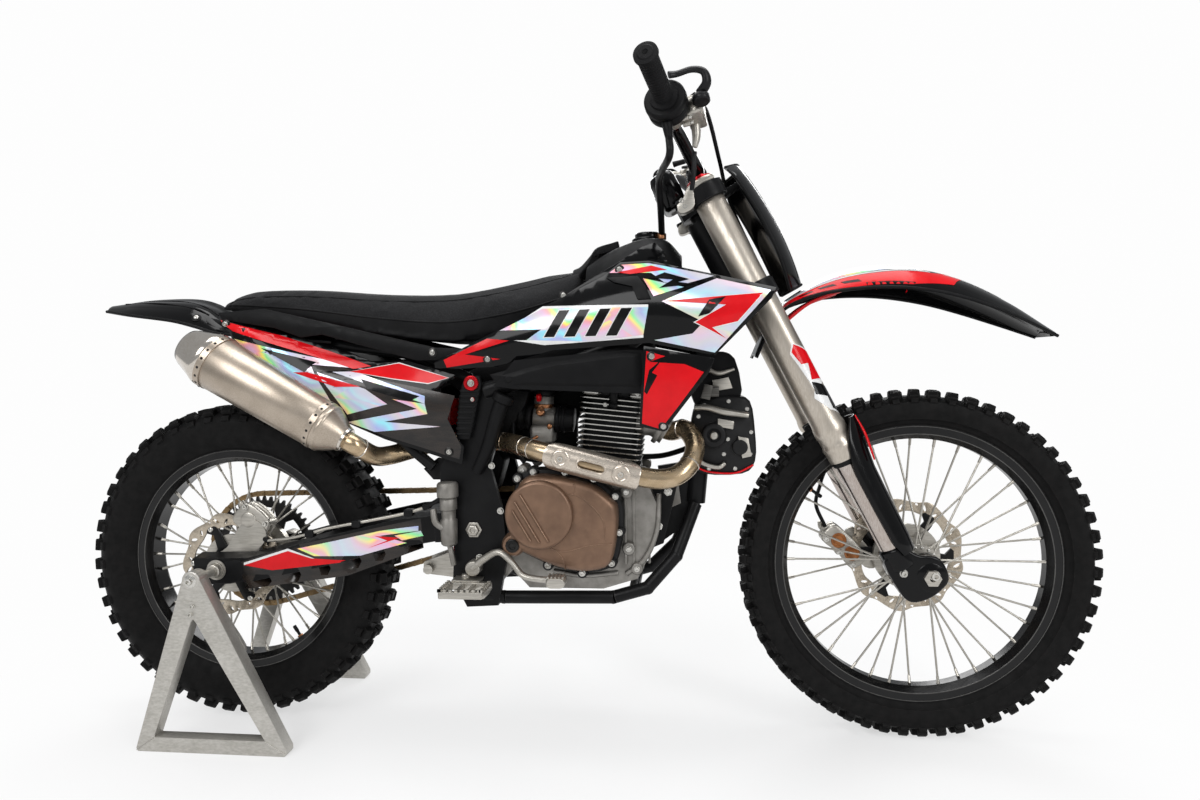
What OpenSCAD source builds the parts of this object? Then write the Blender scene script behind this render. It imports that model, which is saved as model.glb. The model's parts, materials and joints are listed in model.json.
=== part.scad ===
// Dirt bike on a pair of paddock stand frames.
// Millimetres, +X forward, +Y to the rider's left, +Z up, floor at z = 0.

/* [Wheels] */
// Distance between the wheel axles
wheelbase = 1420; // [1380:5:1500]
// Outer diameter of the front tyre
front_tyre_d = 700; // [660:2:720]
// Width of the front tyre
front_tyre_w = 85; // [76:1:100]
// Outer diameter of the rear tyre
rear_tyre_d = 677; // [650:1:700]
// Width of the rear tyre
rear_tyre_w = 115; // [100:1:125]
// Bead diameter of the front rim
front_bead_d = 533; // [480:1:560]
// Bead diameter of the rear rim
rear_bead_d = 457; // [430:1:483]
// Depth of the rim well under the bead
rim_depth = 12; // [8:1:18]
// Height of the rim flange over the bead
rim_flange = 11; // [8:1:14]
// Spokes in each wheel
spoke_count = 36; // [28:4:40]
// Diameter of a spoke
spoke_d = 4; // [3:0.5:5]
// Height of the rear tyre over the floor on the stand
rear_lift = 6; // [2:1:30]

/* [Axles and brakes] */
// Diameter of the front axle
front_axle_d = 20; // [16:1:25]
// Diameter of the rear axle
rear_axle_d = 20; // [16:1:25]
// Bore through both hollow axles
axle_bore_d = 12; // [8:1:14]
// Outer diameter of the front brake disc
front_disc_d = 240; // [220:5:270]
// Outer diameter of the rear brake disc
rear_disc_d = 220; // [200:5:240]
// Thickness of the brake discs
disc_t = 4; // [3:0.5:5]
// Tip diameter of the rear sprocket
sprocket_d = 230; // [200:5:250]

/* [Steering] */
// Rake of the steering axis from the vertical, in degrees
rake = 27; // [24:0.5:29]
// Front axle ahead of the steering axis
axle_offset = 60; // [45:1:70]
// Fork legs ahead of the steering axis
clamp_offset = 24; // [18:1:30]
// Distance between the fork leg centres
fork_spacing = 200; // [186:2:220]
// Diameter of the fork outer tubes
fork_tube_d = 58; // [52:1:62]
// Diameter of the fork inner legs
fork_leg_d = 46; // [40:1:48]
// Diameter of the steering stem
stem_d = 30; // [25:1:35]
// Length of the head tube
head_tube_l = 165; // [140:5:190]
// Width of the handlebar over its grips
bar_w = 810; // [740:10:840]
// Diameter of the handlebar
bar_d = 22; // [20:1:28]

/* [Frame and engine] */
// Diameter of the frame tubes
frame_tube_d = 34; // [28:1:40]
// Diameter of the subframe tubes
subframe_tube_d = 22; // [18:1:26]
// Distance between the insides of the frame side plates
plate_gap = 200; // [190:2:220]
// Thickness of the frame side plates
plate_t = 14; // [8:1:20]
// Diameter of the swingarm's pivot shaft
pivot_d = 18; // [16:1:22]
// Bore through the pivot shaft
pivot_bore_d = 10; // [6:1:12]
// Width of the crankcases
case_w = 170; // [150:2:180]
// Diameter of the exhaust header
header_d = 38; // [32:1:45]
// Diameter of the muffler
muffler_d = 110; // [90:2:125]

/* [Paddock stand] */
// Side of the stand's square tube
stand_tube = 30; // [25:1:40]
// Distance from the bike's middle to the outside of a stand frame
stand_half_w = 205; // [180:5:230]
// Length of a stand frame along the floor
stand_l = 316; // [280:2:360]
// Diameter of the stand's pins
stand_pin_d = 11.9; // [7.9:1:13.9]

/* [Hidden] */
$fn = 64;

front_axle_z = front_tyre_d / 2;
rear_axle_z = rear_tyre_d / 2 + rear_lift;
middle_x = (wheelbase + front_tyre_d / 2 - rear_tyre_d / 2) / 2;
fit = 0.05;      // radial clearance of a shaft in its bore
seat_gap = 0.3;  // clearance of pieces that rest on each other
eps = 0.5;       // how far a cutter runs past what it cuts

// ---------- points, paths and lofts ----------

function unit(v) = v / norm(v);
function flip(p) = [p[0], -p[1], p[2]];
function bend(a, b, c, d, t) = 0.5 * (2 * b + (c - a) * t + (2 * a - 5 * b + 4 * c - d) * t * t
    + (3 * b - a - 3 * c + d) * t * t * t);
// a smooth path through the points p, with n steps between two of them
function smooth(p, n) = [
    for (i = [0:len(p) - 2])
        let (a = p[max(i - 1, 0)], d = p[min(i + 2, len(p) - 1)])
        for (k = [0:n - 1]) bend(a, p[i], p[i + 1], d, k / n),
    p[len(p) - 1]
];
function at(v, i) = is_list(v) ? v[i] : v;

// the triangles of a closed tube of rings, each with the given number of points
function tube_faces(rings, sides) = [
    [for (k = [sides - 1:-1:0]) k],
    [for (k = [0:sides - 1]) (rings - 1) * sides + k],
    for (i = [0:rings - 2]) for (k = [0:sides - 1])
        let (a = i * sides + k, b = i * sides + (k + 1) % sides)
        each [[a, b, b + sides], [a, b + sides, a + sides]]
];

// a solid with the given loops of points as its rings
module loft(loops) {
    sides = len(loops[0]);
    polyhedron([for (l = loops) each l], tube_faces(len(loops), sides), convexity = 6);
}

// a round tube along a path; d is one diameter or one for each point
module sweep(path, d, sides = 12, up = [0, 0, 1]) {
    last = len(path) - 1;
    loft([
        for (i = [0:last])
            let (t = unit(path[min(i + 1, last)] - path[max(i - 1, 0)]), u = unit(cross(t, up)), w = cross(u, t))
            [for (k = [0:sides - 1]) path[i] + at(d, i) / 2 * (cos(-k * 360 / sides) * u + sin(-k * 360 / sides) * w)]
    ]);
}

// a straight rod between two points, which may taper from diameter d to d2
module rod(a, b, d, d2 = 0) {
    v = b - a;
    translate(a) rotate([0, acos(v[2] / norm(v)), atan2(v[1], v[0])])
        cylinder(d1 = d, d2 = d2 > 0 ? d2 : d, h = norm(v));
}

// straight rods with a welded ball at each bend
module bent_rod(points, d) {
    for (i = [0:len(points) - 2]) rod(points[i], points[i + 1], d);
    if (len(points) > 2) for (i = [1:len(points) - 2]) translate(points[i]) sphere(d = d + 1.2);
}

// a cylinder along Y, from y0 to y1
module bar_y(d, y0, y1) {
    translate([0, y0, 0]) rotate([-90, 0, 0]) cylinder(d = d, h = y1 - y0);
}

// a flat plate with an outline in X and Z, from y0 to y1
module plate_y(outline, y0, y1) {
    translate([0, y1, 0]) rotate([90, 0, 0]) linear_extrude(y1 - y0) polygon(outline);
}

// a ring round the Y axis from a section of [radius, y] points
module ring_y(section) {
    rotate([-90, 0, 0]) rotate_extrude($fn = 128) polygon(section);
}

// children on both sides of the bike
module both_sides() {
    children();
    mirror([0, 1, 0]) children();
}

// a curved panel: rows of points on its outside, and its thickness t towards +Y
module skin(rows, t) {
    nu = len(rows);
    nv = len(rows[0]);
    outer = [for (r = rows) each r];
    inner = [
        for (i = [0:nu - 1]) for (j = [0:nv - 1])
            let (a = rows[min(i + 1, nu - 1)][j] - rows[max(i - 1, 0)][j],
                 b = rows[i][min(j + 1, nv - 1)] - rows[i][max(j - 1, 0)],
                 n = unit(cross(a, b)))
            rows[i][j] - t * n
    ];
    m = nu * nv;
    edge = [
        for (j = [0:nv - 1]) j,
        for (i = [1:nu - 1]) i * nv + nv - 1,
        for (j = [nv - 2:-1:0]) (nu - 1) * nv + j,
        for (i = [nu - 2:-1:1]) i * nv
    ];
    e = len(edge);
    polyhedron(concat(outer, inner), [
        for (i = [0:nu - 2]) for (j = [0:nv - 2])
            let (a = i * nv + j, b = a + 1, c = a + nv, d = c + 1)
            each [[a, b, d], [a, d, c], [m + a, m + d, m + b], [m + a, m + c, m + d]],
        for (k = [0:e - 1])
            let (p = edge[k], q = edge[(k + 1) % e])
            each [[q, p, m + p], [q, m + p, m + q]]
    ], convexity = 6);
}

// ---------- frames of reference ----------

axis_dir = [-sin(rake), 0, cos(rake)];
forward_dir = [cos(rake), 0, sin(rake)];
axis_foot = [wheelbase - axle_offset * cos(rake), 0, front_axle_z - axle_offset * sin(rake)];

// the bike's own frame has x = 0 at the rear axle
module bike() { translate([-middle_x, 0, 0]) children(); }
module at_rear_axle() { bike() translate([0, 0, rear_axle_z]) children(); }
module at_front_axle() { bike() translate([wheelbase, 0, front_axle_z]) children(); }
// in the steering frame z runs up the steering axis and x points forward, square to it
module steered() { bike() translate(axis_foot) rotate([0, -rake, 0]) children(); }

// ---------- wheels ----------

flange_t = 4;            // thickness of a rim's flange
well_t = 6;              // thickness of a rim's well
rim_gap = 12;            // how much narrower than its tyre a rim's bead seat is, per side
hub_d = 54;
hub_flange_d = 86;
front_hub_half = 46;     // half width of the front hub
rear_hub_half = 56;
spacer_gap = 1;          // running gap between a hub and its axle spacers
spacer_wall = 10;        // how much wider a spacer is than its axle
disc_y_front = 58;       // middle of the front disc, on the left
disc_y_rear = 66;        // middle of the rear disc, on the right
sprocket_y = 72;         // middle of the sprocket and chain, on the left
sprocket_t = 6;

// a round tyre of radius r and half width w, with its bead at radius b and half width s
module tyre(r, w, b, s) {
    inner = b + seat_gap;
    flange = b + rim_flange + 2;
    ring_y([
        [inner, -s], [flange, -s], [flange + 4, -s - 8], [r - 0.55 * (r - b), -w], [r - 0.3 * (r - b), -w],
        [r - 0.09 * (r - b), -0.82 * w], [r, -0.45 * w], [r, 0.45 * w], [r - 0.09 * (r - b), 0.82 * w],
        [r - 0.3 * (r - b), w], [r - 0.55 * (r - b), w], [flange + 4, s + 8], [flange, s], [inner, s]
    ]);
}

// a rim with bead radius b and half width s between its flanges
module rim(b, s) {
    flange = b + rim_flange;
    ring_y([
        [b - well_t, -s - flange_t], [flange, -s - flange_t], [flange, -s - seat_gap], [b, -s - seat_gap],
        [b, -s + 8], [b - rim_depth + 3, -s + 12], [b - rim_depth + 3, s - 12], [b, s - 8],
        [b, s + seat_gap], [flange, s + seat_gap], [flange, s + flange_t], [b - well_t, s + flange_t],
        [b - rim_depth - well_t + 2, s - 10], [b - rim_depth - well_t + 2, -s + 10]
    ]);
}

// spokes from two hub flanges at half width w to the rim well at radius r
module spokes(w, r) {
    step = 720 / spoke_count;
    for (side = [-1, 1]) for (i = [0:spoke_count / 2 - 1]) {
        start = i * step + (side > 0 ? step / 2 : 0);
        lean = i % 2 == 0 ? 38 : -38;
        a = hub_flange_d / 2 - 5;
        rod([a * cos(start), side * (w - 2), a * sin(start)],
            [r * cos(start + lean / 2), side * 6, r * sin(start + lean / 2)], spoke_d);
    }
}

// a spool hub with two flanges and a bore for its axle
module hub(half, axle_d) {
    difference() {
        union() {
            bar_y(hub_d, -half, half);
            for (side = [-1, 1]) bar_y(hub_flange_d, side * (half - 10) - 2.5, side * (half - 10) + 2.5);
            children();
        }
        bar_y(axle_d + 2 * fit, -half - 20, half + 20);
    }
}

// a wavy disc with slots, spread over the given number of waves
module wave_disc(d, y, waves) {
    difference() {
        bar_y(d, y - disc_t / 2, y + disc_t / 2);
        bar_y(0.5 * d, y - disc_t, y + disc_t);
        for (i = [0:waves - 1]) rotate([0, i * 360 / waves, 0]) {
            translate([0.545 * d, 0, 0]) bar_y(0.16 * d, y - disc_t, y + disc_t);
            rotate([0, 180 / waves, 0]) translate([0.4 * d, 0, 0]) bar_y(10, y - disc_t, y + disc_t);
        }
    }
}

front_bead_half = front_tyre_w / 2 - rim_gap - 10;
rear_bead_half = rear_tyre_w / 2 - rim_gap - 16;
front_spoke_r = front_bead_d / 2 - rim_depth - 2;
rear_spoke_r = rear_bead_d / 2 - rim_depth - 2;

module front_tyre() {
    color("#151515") at_front_axle()
        tyre(front_tyre_d / 2, front_tyre_w / 2, front_bead_d / 2, front_bead_half);
}

module front_rim() {
    color("#1a1a1a") at_front_axle() rim(front_bead_d / 2, front_bead_half);
}

module front_hub() {
    color("silver") at_front_axle() hub(front_hub_half, front_axle_d) {
        spokes(front_hub_half - 8, front_spoke_r);
        bar_y(0.56 * front_disc_d, front_hub_half - 2, disc_y_front - disc_t / 2);
    }
}

module front_disc() {
    color("#9a938c") at_front_axle() wave_disc(front_disc_d, disc_y_front, 9);
}

module rear_tyre() {
    color("#151515") at_rear_axle()
        tyre(rear_tyre_d / 2, rear_tyre_w / 2, rear_bead_d / 2, rear_bead_half);
}

module rear_rim() {
    color("#1a1a1a") at_rear_axle() rim(rear_bead_d / 2, rear_bead_half);
}

module rear_hub() {
    color("silver") at_rear_axle() hub(rear_hub_half, rear_axle_d) {
        spokes(rear_hub_half - 8, rear_spoke_r);
        bar_y(0.56 * rear_disc_d, -disc_y_rear + disc_t / 2, -rear_hub_half + 2);
        bar_y(0.56 * sprocket_d, rear_hub_half - 2, sprocket_y - sprocket_t / 2);
    }
}

module rear_disc() {
    color("#9a938c") at_rear_axle() mirror([0, 1, 0]) wave_disc(rear_disc_d, disc_y_rear, 9);
}

module rear_sprocket() {
    color("#202020") at_rear_axle() difference() {
        bar_y(sprocket_d, sprocket_y - sprocket_t / 2, sprocket_y + sprocket_t / 2);
        bar_y(0.5 * sprocket_d, sprocket_y - sprocket_t, sprocket_y + sprocket_t);
        for (i = [0:5]) rotate([0, i * 60 + 30, 0]) translate([0.36 * sprocket_d, 0, 0])
            bar_y(0.17 * sprocket_d, sprocket_y - sprocket_t, sprocket_y + sprocket_t);
    }
}

// ---------- axles ----------

fork_foot_half = 21;                        // half the width of a fork foot along the axle
front_axle_half = fork_spacing / 2 + fork_foot_half + 8;
swingarm_gap = 176;                         // between the insides of the swingarm's axle blocks
swingarm_t = 30;                            // thickness of an axle block
rear_axle_half = swingarm_gap / 2 + swingarm_t + 9;

// a hollow axle with its head on the left, its nut on the right and two wheel spacers,
// which reach from the hub's ends at -hub_right and hub_left to the inside of the legs or arms
module axle(d, half, hub_right, hub_left, inside) {
    difference() {
        union() {
            bar_y(d, -half, half);
            bar_y(d + 14, half - 7, half);
            bar_y(d + 12, -half, -half + 8, $fn = 6);
            bar_y(d + spacer_wall, hub_left + spacer_gap, inside);
            bar_y(d + spacer_wall, -inside, -hub_right - spacer_gap);
        }
        bar_y(axle_bore_d, -half - eps, half + eps);
    }
}

module front_axle() {
    inside = fork_spacing / 2 - fork_foot_half - seat_gap;
    color("#b8b8b8") at_front_axle()
        axle(front_axle_d, front_axle_half, front_hub_half, disc_y_front - disc_t / 2, inside);
}

module rear_axle() {
    inside = swingarm_gap / 2 - seat_gap;
    color("#c8c8c8") at_rear_axle()
        axle(rear_axle_d, rear_axle_half, disc_y_rear - disc_t / 2, sprocket_y - sprocket_t / 2, inside);
}

// ---------- frame ----------

head_tube_d = 56;
head_low = 644;                              // lower end of the head tube along the steering axis
head_high = head_low + head_tube_l;
plate_in = plate_gap / 2;
plate_out = plate_in + plate_t;
plate_mid = (plate_in + plate_out) / 2;
pivot = [545, 0, 432];                       // swingarm pivot
shock_top = [520, 0, 686];
airbox_top = 774;
frame_half = 84;                             // from the middle to a cradle tube
skid_z = 292;                                // middle of the cradle tubes
head_point = axis_foot + (head_low + 30) * axis_dir;

module frame_side() {
    top = [572, -plate_mid, 708];
    bent_rod([head_point + [-18, -14, -4], [930, -60, 849], [850, -96, 794], [700, -plate_mid, 742], top],
        frame_tube_d);
    bent_rod([[985, -24, 470], [945, -62, 372], [888, -frame_half, 312], [820, -frame_half, skid_z],
        [600, -frame_half - 12, skid_z], [560, -plate_mid, 300]], frame_tube_d - 8);
    plate_y([
        [552, 730], [600, 705], [606, 640], [580, 560], [604, 470], [612, 380], [592, 280],
        [528, 276], [500, 330], [506, 420], [476, 476], [480, 560], [520, 610]
    ], -plate_out, -plate_in);
}

module main_frame() {
    color("#1b1b1b") difference() {
        union() {
            bike() translate(axis_foot) rotate([0, -rake, 0]) translate([0, 0, head_low])
                cylinder(d = head_tube_d, h = head_tube_l);
            bike() {
                bent_rod([head_point - 42 * forward_dir, [1002, 0, 640], [985, 0, 470]], frame_tube_d + 6);
                both_sides() frame_side();
                // cross tubes behind the engine and under it
                translate([572, 0, 690]) bar_y(frame_tube_d - 4, -plate_mid, plate_mid);
                translate([560, 0, 300]) bar_y(frame_tube_d - 8, -plate_mid, plate_mid);
                translate([860, 0, 302]) bar_y(frame_tube_d - 12, -frame_half, frame_half);
                // cross tube under the tank
                translate([865, 0, tank_rest_z - 10]) bar_y(20, -88, 88);
                // ears for the top of the shock
                both_sides() plate_y([[508, 674], [508, 700], [560, 704], [572, 690], [560, 676]], -27, -18.5);
                // gusset plates at the front of the engine
                plate_y([[1002, 560], [908, 545], [918, 470], [912, 385], [975, 430]], -6, 6);
            }
        }
        bike() translate(axis_foot) rotate([0, -rake, 0]) translate([0, 0, head_low - eps])
            cylinder(d = stem_d + 2 * fit, h = head_tube_l + 2 * eps);
        bike() translate(pivot) bar_y(pivot_d + 2 * fit, -plate_out - eps, plate_out + eps);
    }
}

module subframe() {
    half = 76;
    rail_y = plate_in + 8;
    color("#1b1b1b") bike() {
        both_sides() {
            bent_rod([[556, -half, 722], [420, -half, 782], [60, -half + 18, 828]], subframe_tube_d);
            bent_rod([[464, -rail_y, 556], [330, -rail_y, 668], [150, -half + 8, 806]], subframe_tube_d);
            // lug inside the frame plate, strut cover, and boss for the side panel
            plate_y([[440, 552], [460, 530], [520, 530], [520, 566], [470, 574]], -plate_in + seat_gap, -plate_in + 9);
            translate([262, 0, 722]) bar_y(18, -135.6, -rail_y + 4);
            // post under the rear fender
            translate([120, -40, 820]) cylinder(d = 14, h = 20.2);
        }
        translate([120, 0, 820]) bar_y(subframe_tube_d, -half + 14, half - 14);
        translate([400, 0, airbox_top + subframe_tube_d / 2 + seat_gap]) bar_y(subframe_tube_d, -half, half);
    }
}

// one arm, as sections of [x, bottom, top, inside, outside]
arm_sections = [
    [-50, 312, 374, 88, 118], [70, 314, 376, 88, 118], [250, 352, 424, 84, 114],
    [380, 384, 454, 70, 98], [470, 400, 462, 66, 96]
];

module swingarm() {
    inside = swingarm_gap / 2;
    drop = rear_axle_z - 344.5;
    color("#1a1a1a") difference() {
        bike() {
            both_sides() {
                loft([for (s = arm_sections) [
                    [s[0], -s[3], s[1] + drop], [s[0], -s[4], s[1] + drop + 6],
                    [s[0], -s[4], s[2] + drop - 6], [s[0], -s[3], s[2] + drop]
                ]]);
                plate_y([[460, 402], [460, 462], [575, 460], [575, 404]], -plate_in + 1, -66);
            }
            // cross member in front of the tyre, and the hollow pivot shaft
            plate_y([[400, 392], [400, 452], [462, 456], [462, 404]], -72, 72);
            translate(pivot) bar_y(pivot_d, -plate_out, plate_out);
        }
        at_rear_axle() bar_y(rear_axle_d + 2 * fit, -inside - swingarm_t - eps, inside + swingarm_t + eps);
        bike() translate(pivot) bar_y(pivot_bore_d, -plate_out, plate_out);
    }
}

module rear_shock() {
    low = [478, 0, 352];
    high = shock_top;
    along = unit(high - low);
    color("#8a2a2a") bike() difference() {
        union() {
            rod(low, high, 26);
            rod(low + 190 * along, high - 22 * along, 44);
            for (i = [0:5]) rod(low + (110 + i * 26) * along, low + (122 + i * 26) * along, 66);
            translate(high) bar_y(24, -18, 18);
            translate(low) bar_y(24, -14, 14);
            rod([462, 0, 636], [468, 0, 690], 46);
            rod([465, 0, 664], high - 30 * along, 20);
        }
        translate(low) bar_y(link_pin_d + 2 * fit, -20, 20);
    }
}

link_pin_d = 12;

module shock_linkage() {
    color("#b5b1aa") bike() {
        both_sides() plate_y([[410, 322], [430, 318], [540, 306], [546, 324], [490, 366], [470, 366], [412, 344]], -32, -20);
        translate([424, 0, 331]) bar_y(20, -44, 44);
        translate([478, 0, 352]) bar_y(link_pin_d, -34, 34);
    }
}

// ---------- engine ----------

case_half = case_w / 2;
bottom_z = skid_z + (frame_tube_d - 8) / 2 + 4;
cylinder_x = 805;
cylinder_z = 526;
cylinder_lean = 4;                           // in degrees, forward
cylinder_foot = 14;                          // height of the cylinder's foot over cylinder_z
port_l = 84;                                 // from the cylinder's axis to the end of its exhaust port
port_dir = [cos(cylinder_lean), 0, -sin(cylinder_lean)];
port = [cylinder_x, -24, cylinder_z] + port_l * port_dir + 118 * [sin(cylinder_lean), 0, cos(cylinder_lean)];
cylinder_half = 68;
front_sprocket = [625, 0, 440];
front_sprocket_r = 38;

// height of the crankcases' deck, which the cylinder stands on
function deck_z(x) = cylinder_z + cylinder_foot / cos(cylinder_lean) - (x - cylinder_x) * tan(cylinder_lean)
    - seat_gap;

module engine_cases() {
    color("#4a4a4c") bike() {
        plate_y([
            [700, 534], [735, deck_z(735)], [885, deck_z(885)], [912, 470], [905, 400], [868, 330],
            [800, bottom_z], [700, bottom_z]
        ], -case_half, case_half);
        plate_y([[622, 470], [650, 522], [702, 530], [702, bottom_z], [650, bottom_z], [612, 350]],
            -case_half, sprocket_y - 18);
        translate(front_sprocket) {
            bar_y(24, sprocket_y - 20, sprocket_y + 8);
            bar_y(2 * (front_sprocket_r - seat_gap), sprocket_y - 3, sprocket_y + 3);
        }
        // front and rear mounting lugs
        translate([600, 0, 352]) bar_y(34, seat_gap - plate_in, plate_in - seat_gap);
        both_sides() plate_y([[880, 500], [950, 512], [955, 470], [890, 440]], -18, -6 - seat_gap);
    }
}

module cylinder_fins() {
    for (i = [0:9]) translate([-72, -cylinder_half, 16 + i * 13]) cube([144, 2 * cylinder_half, 4]);
}

module engine_cylinder() {
    color("#2a2a2a") bike() translate([cylinder_x, 0, cylinder_z]) rotate([0, cylinder_lean, 0]) {
        translate([-62, -54, cylinder_foot]) cube([124, 108, 164 - cylinder_foot]);
        cylinder_fins();
        translate([-66, -cylinder_half, 150]) cube([132, 2 * cylinder_half, 56]);
        translate([-50, -50, 200]) cube([100, 100, 26]);
        // exhaust port
        translate([60, -24, 118]) rotate([0, 90, 0]) cylinder(d = header_d + 16, h = port_l - 60);
    }
}

clutch = [684, 0, 479];

module engine_covers() {
    color("#735846") bike() {
        // right: clutch cover
        plate_y([
            [640, 400], [622, 470], [650, 530], [720, 545], [800, 520], [846, 470], [850, 410],
            [815, 362], [700, 352]
        ], -150, -case_half - seat_gap);
        translate(clutch) bar_y(124, -166, -149);
        translate([640, 0, 411]) bar_y(34, -158, -120);
        // left: ignition and sprocket covers
        translate([770, 0, 430]) bar_y(150, case_half + seat_gap, 126);
        plate_y([[618, 392], [618, 490], [650, 506], [700, 500], [700, 380], [640, 376]], case_half + 1, 98);
    }
}

module carburettor() {
    color("#8c8880") bike() {
        rod([739.2, -18, 640], [640, -18, 652], 46);
        translate([660, -18, 600]) cylinder(d = 52, h = 54);
        translate([672, -18, 640]) cylinder(d = 40, h = 56);
        rod([644, -18, 651], [600, -10, 652], 62);
    }
}

module airbox() {
    color("#161616") bike() plate_y([
        [376, 610], [414, 570], [432, 600], [432, 710], [470, 724], [470, 752], [424, airbox_top],
        [380, airbox_top], [300, airbox_top - 4], [300, 720]
    ], -50, 50);
}

muffler_rear = [34, -166, 778];
muffler_front = [271, -166, 639];
muffler_dir = unit(muffler_front - muffler_rear);
inlet = 29.6;            // from muffler_front to the bottom of the socket that takes the header
header_path = [
    port + 4 * port_dir, port + 36 * port_dir, [966, -52, 624], [984, -92, 594], [966, -128, 556],
    [920, -144, 538], [830, -148, 554], [730, -148, 580], [680, -136, 592], [640, -106, 599], [600, -77, 603],
    [540, -72, 604], [450, -72, 600], [405, -79, 588], [372, -104, 580], [350, -130, 582],
    muffler_front + 68 * muffler_dir, muffler_front + 48 * muffler_dir,
    muffler_front + (inlet + seat_gap) * muffler_dir
];

module exhaust_header() {
    color("#8d6f4c") bike() {
        sweep(smooth(header_path, 4), header_d, 12, [0, 1, 0.4]);
        rod(port + seat_gap * port_dir, port + 8 * port_dir, header_d + 16);
    }
}

module heat_shield() {
    a = [726, -148, 581];
    b = [836, -148, 552.5];
    color("#c9c2b8") bike() difference() {
        rod(a, b, header_d + 10);
        rod(a - (b - a), b + (b - a), header_d + 3);
        translate([600, -152, 400]) cube([400, 100, 300]);
    }
}

module muffler() {
    along = muffler_dir;
    color("#b3a490") bike() difference() {
        union() {
            rod(muffler_rear, muffler_front, muffler_d, muffler_d - 14);
            rod(muffler_rear - 52 * along, muffler_rear + eps * along, 0.66 * muffler_d, muffler_d);
            rod(muffler_front - eps * along, muffler_front + 40 * along, muffler_d - 14, header_d + 18);
        }
        rod(muffler_rear - 60 * along, muffler_rear - 10 * along, 44);
        rod(muffler_front + inlet * along, muffler_front + 60 * along, header_d + 11);
    }
}

// ---------- bodywork ----------

// a rounded section across the bike at x, from bottom z0 to top z1, half width w0 low and w1 high
function cross_section(x, z0, z1, w0, w1) =
    let (m = (z1 - z0), r = min(0.35 * m, 0.5 * w1))
    [
        [x, -w0 + r * 0.4, z0], [x, -w0, z0 + 0.25 * m], [x, -(w0 + w1) / 2, z0 + 0.55 * m],
        [x, -w1, z1 - r], [x, -w1 + 0.35 * r, z1 - 0.3 * r], [x, -w1 + r, z1 - 0.06 * r], [x, 0, z1],
        [x, w1 - r, z1 - 0.06 * r], [x, w1 - 0.35 * r, z1 - 0.3 * r], [x, w1, z1 - r],
        [x, (w0 + w1) / 2, z0 + 0.55 * m], [x, w0, z0 + 0.25 * m], [x, w0 - r * 0.4, z0]
    ];

module body_loft(sections) {
    loft([for (s = smooth(sections, 3)) cross_section(s[0], s[1], s[2], s[3], s[4])]);
}

// sections of [x, bottom, top, half width low, half width high]
seat_sections = [
    [-12, 884, 906, 60, 52], [60, 868, 921, 84, 78], [200, 846, 920, 104, 92], [360, 818, 907, 112, 92],
    [500, 802, 905, 112, 86], [620, 816, 924, 96, 74], [700, 838, 943, 84, 64], [756, 858, 958, 76, 58]
];
tank_sections = [
    [772, 850, 964, 92, 66], [820, 840, 990, 118, 84], [880, 848, 1008, 128, 92],
    [930, 878, 1006, 118, 84], [960, 900, 976, 92, 60]
];
tank_rest_z = 812;       // where the tank's foot stands on the frame
fuel_cap_at = [893, 0, 1010.4];
shroud_boss_y = 149.6;   // outer end of the tank's bosses

module seat() {
    color("#2a2a2b") bike() {
        body_loft(seat_sections);
        // tongue over the back of the tank
        loft([for (s = smooth([[750, 930, 960, 60, 52], [790, 988, 996, 40, 34], [832, 1003, 1008, 26, 20]], 3))
            cross_section(s[0], s[1], s[2], s[3], s[4])]);
    }
}

module fuel_tank() {
    color("#161616") bike() {
        body_loft(tank_sections);
        translate([850, -20, tank_rest_z + seat_gap]) cube([30, 40, 48]);
        // bosses that carry the shrouds
        both_sides() translate([852, 0, 900]) bar_y(22, -shroud_boss_y, -92);
    }
}

module fuel_cap() {
    color("#101010") bike() translate(fuel_cap_at) {
        cylinder(d = 62, h = 20);
        translate([0, 0, 18]) cylinder(d = 30, h = 8);
    }
}

// the right shroud's outside, as columns of [x, z, y] from its top edge down
shroud_columns = [
    [[470, 770, -122], [476, 768, -124], [482, 765, -124], [490, 758, -122]],
    [[590, 828, -126], [596, 808, -136], [600, 788, -138], [604, 768, -132]],
    [[700, 878, -128], [704, 845, -146], [707, 812, -152], [708, 784, -142]],
    [[812, 926, -134], [812, 884, -160], [810, 838, -168], [808, 790, -156]],
    [[920, 940, -150], [916, 894, -178], [912, 842, -184], [900, 792, -168]],
    [[1024, 914, -172], [1022, 872, -198], [1018, 828, -202], [1008, 780, -184]],
    [[1112, 888, -190], [1110, 872, -204], [1104, 858, -206], [1096, 840, -200]]
];
// the lower wing of the shroud, in the same form
wing_columns = [
    [[890, 794, -166], [884, 740, -168], [880, 690, -166], [880, 640, -160]],
    [[945, 788, -178], [935, 736, -178], [925, 684, -174], [912, 634, -166]],
    [[1006, 784, -184], [990, 736, -184], [968, 690, -180], [934, 640, -168]]
];
panel_t = 4;

function outside(columns) = [for (c = columns) [for (p = c) [p[0], p[2], p[1]]]];
function finer_rows(columns, n) = [for (r = smooth(columns, n)) smooth(r, n)];

module shrouds() {
    color("#181818") bike() both_sides() {
        skin(finer_rows(outside(shroud_columns), 3), -panel_t);
        skin(finer_rows(outside(wing_columns), 3), -panel_t);
    }
}

side_panel_columns = [
    [[70, 852, -100], [72, 842, -118], [74, 832, -124], [76, 818, -124]],
    [[170, 818, -104], [172, 796, -128], [174, 774, -138], [176, 752, -138]],
    [[270, 780, -106], [276, 752, -132], [282, 724, -142], [288, 700, -140]],
    [[370, 772, -110], [378, 732, -136], [388, 690, -144], [400, 648, -138]],
    [[466, 752, -118], [470, 708, -138], [478, 664, -142], [486, 622, -136]]
];

module side_panels() {
    color("#181818") bike() both_sides() skin(finer_rows(outside(side_panel_columns), 3), -panel_t);
}

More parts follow.
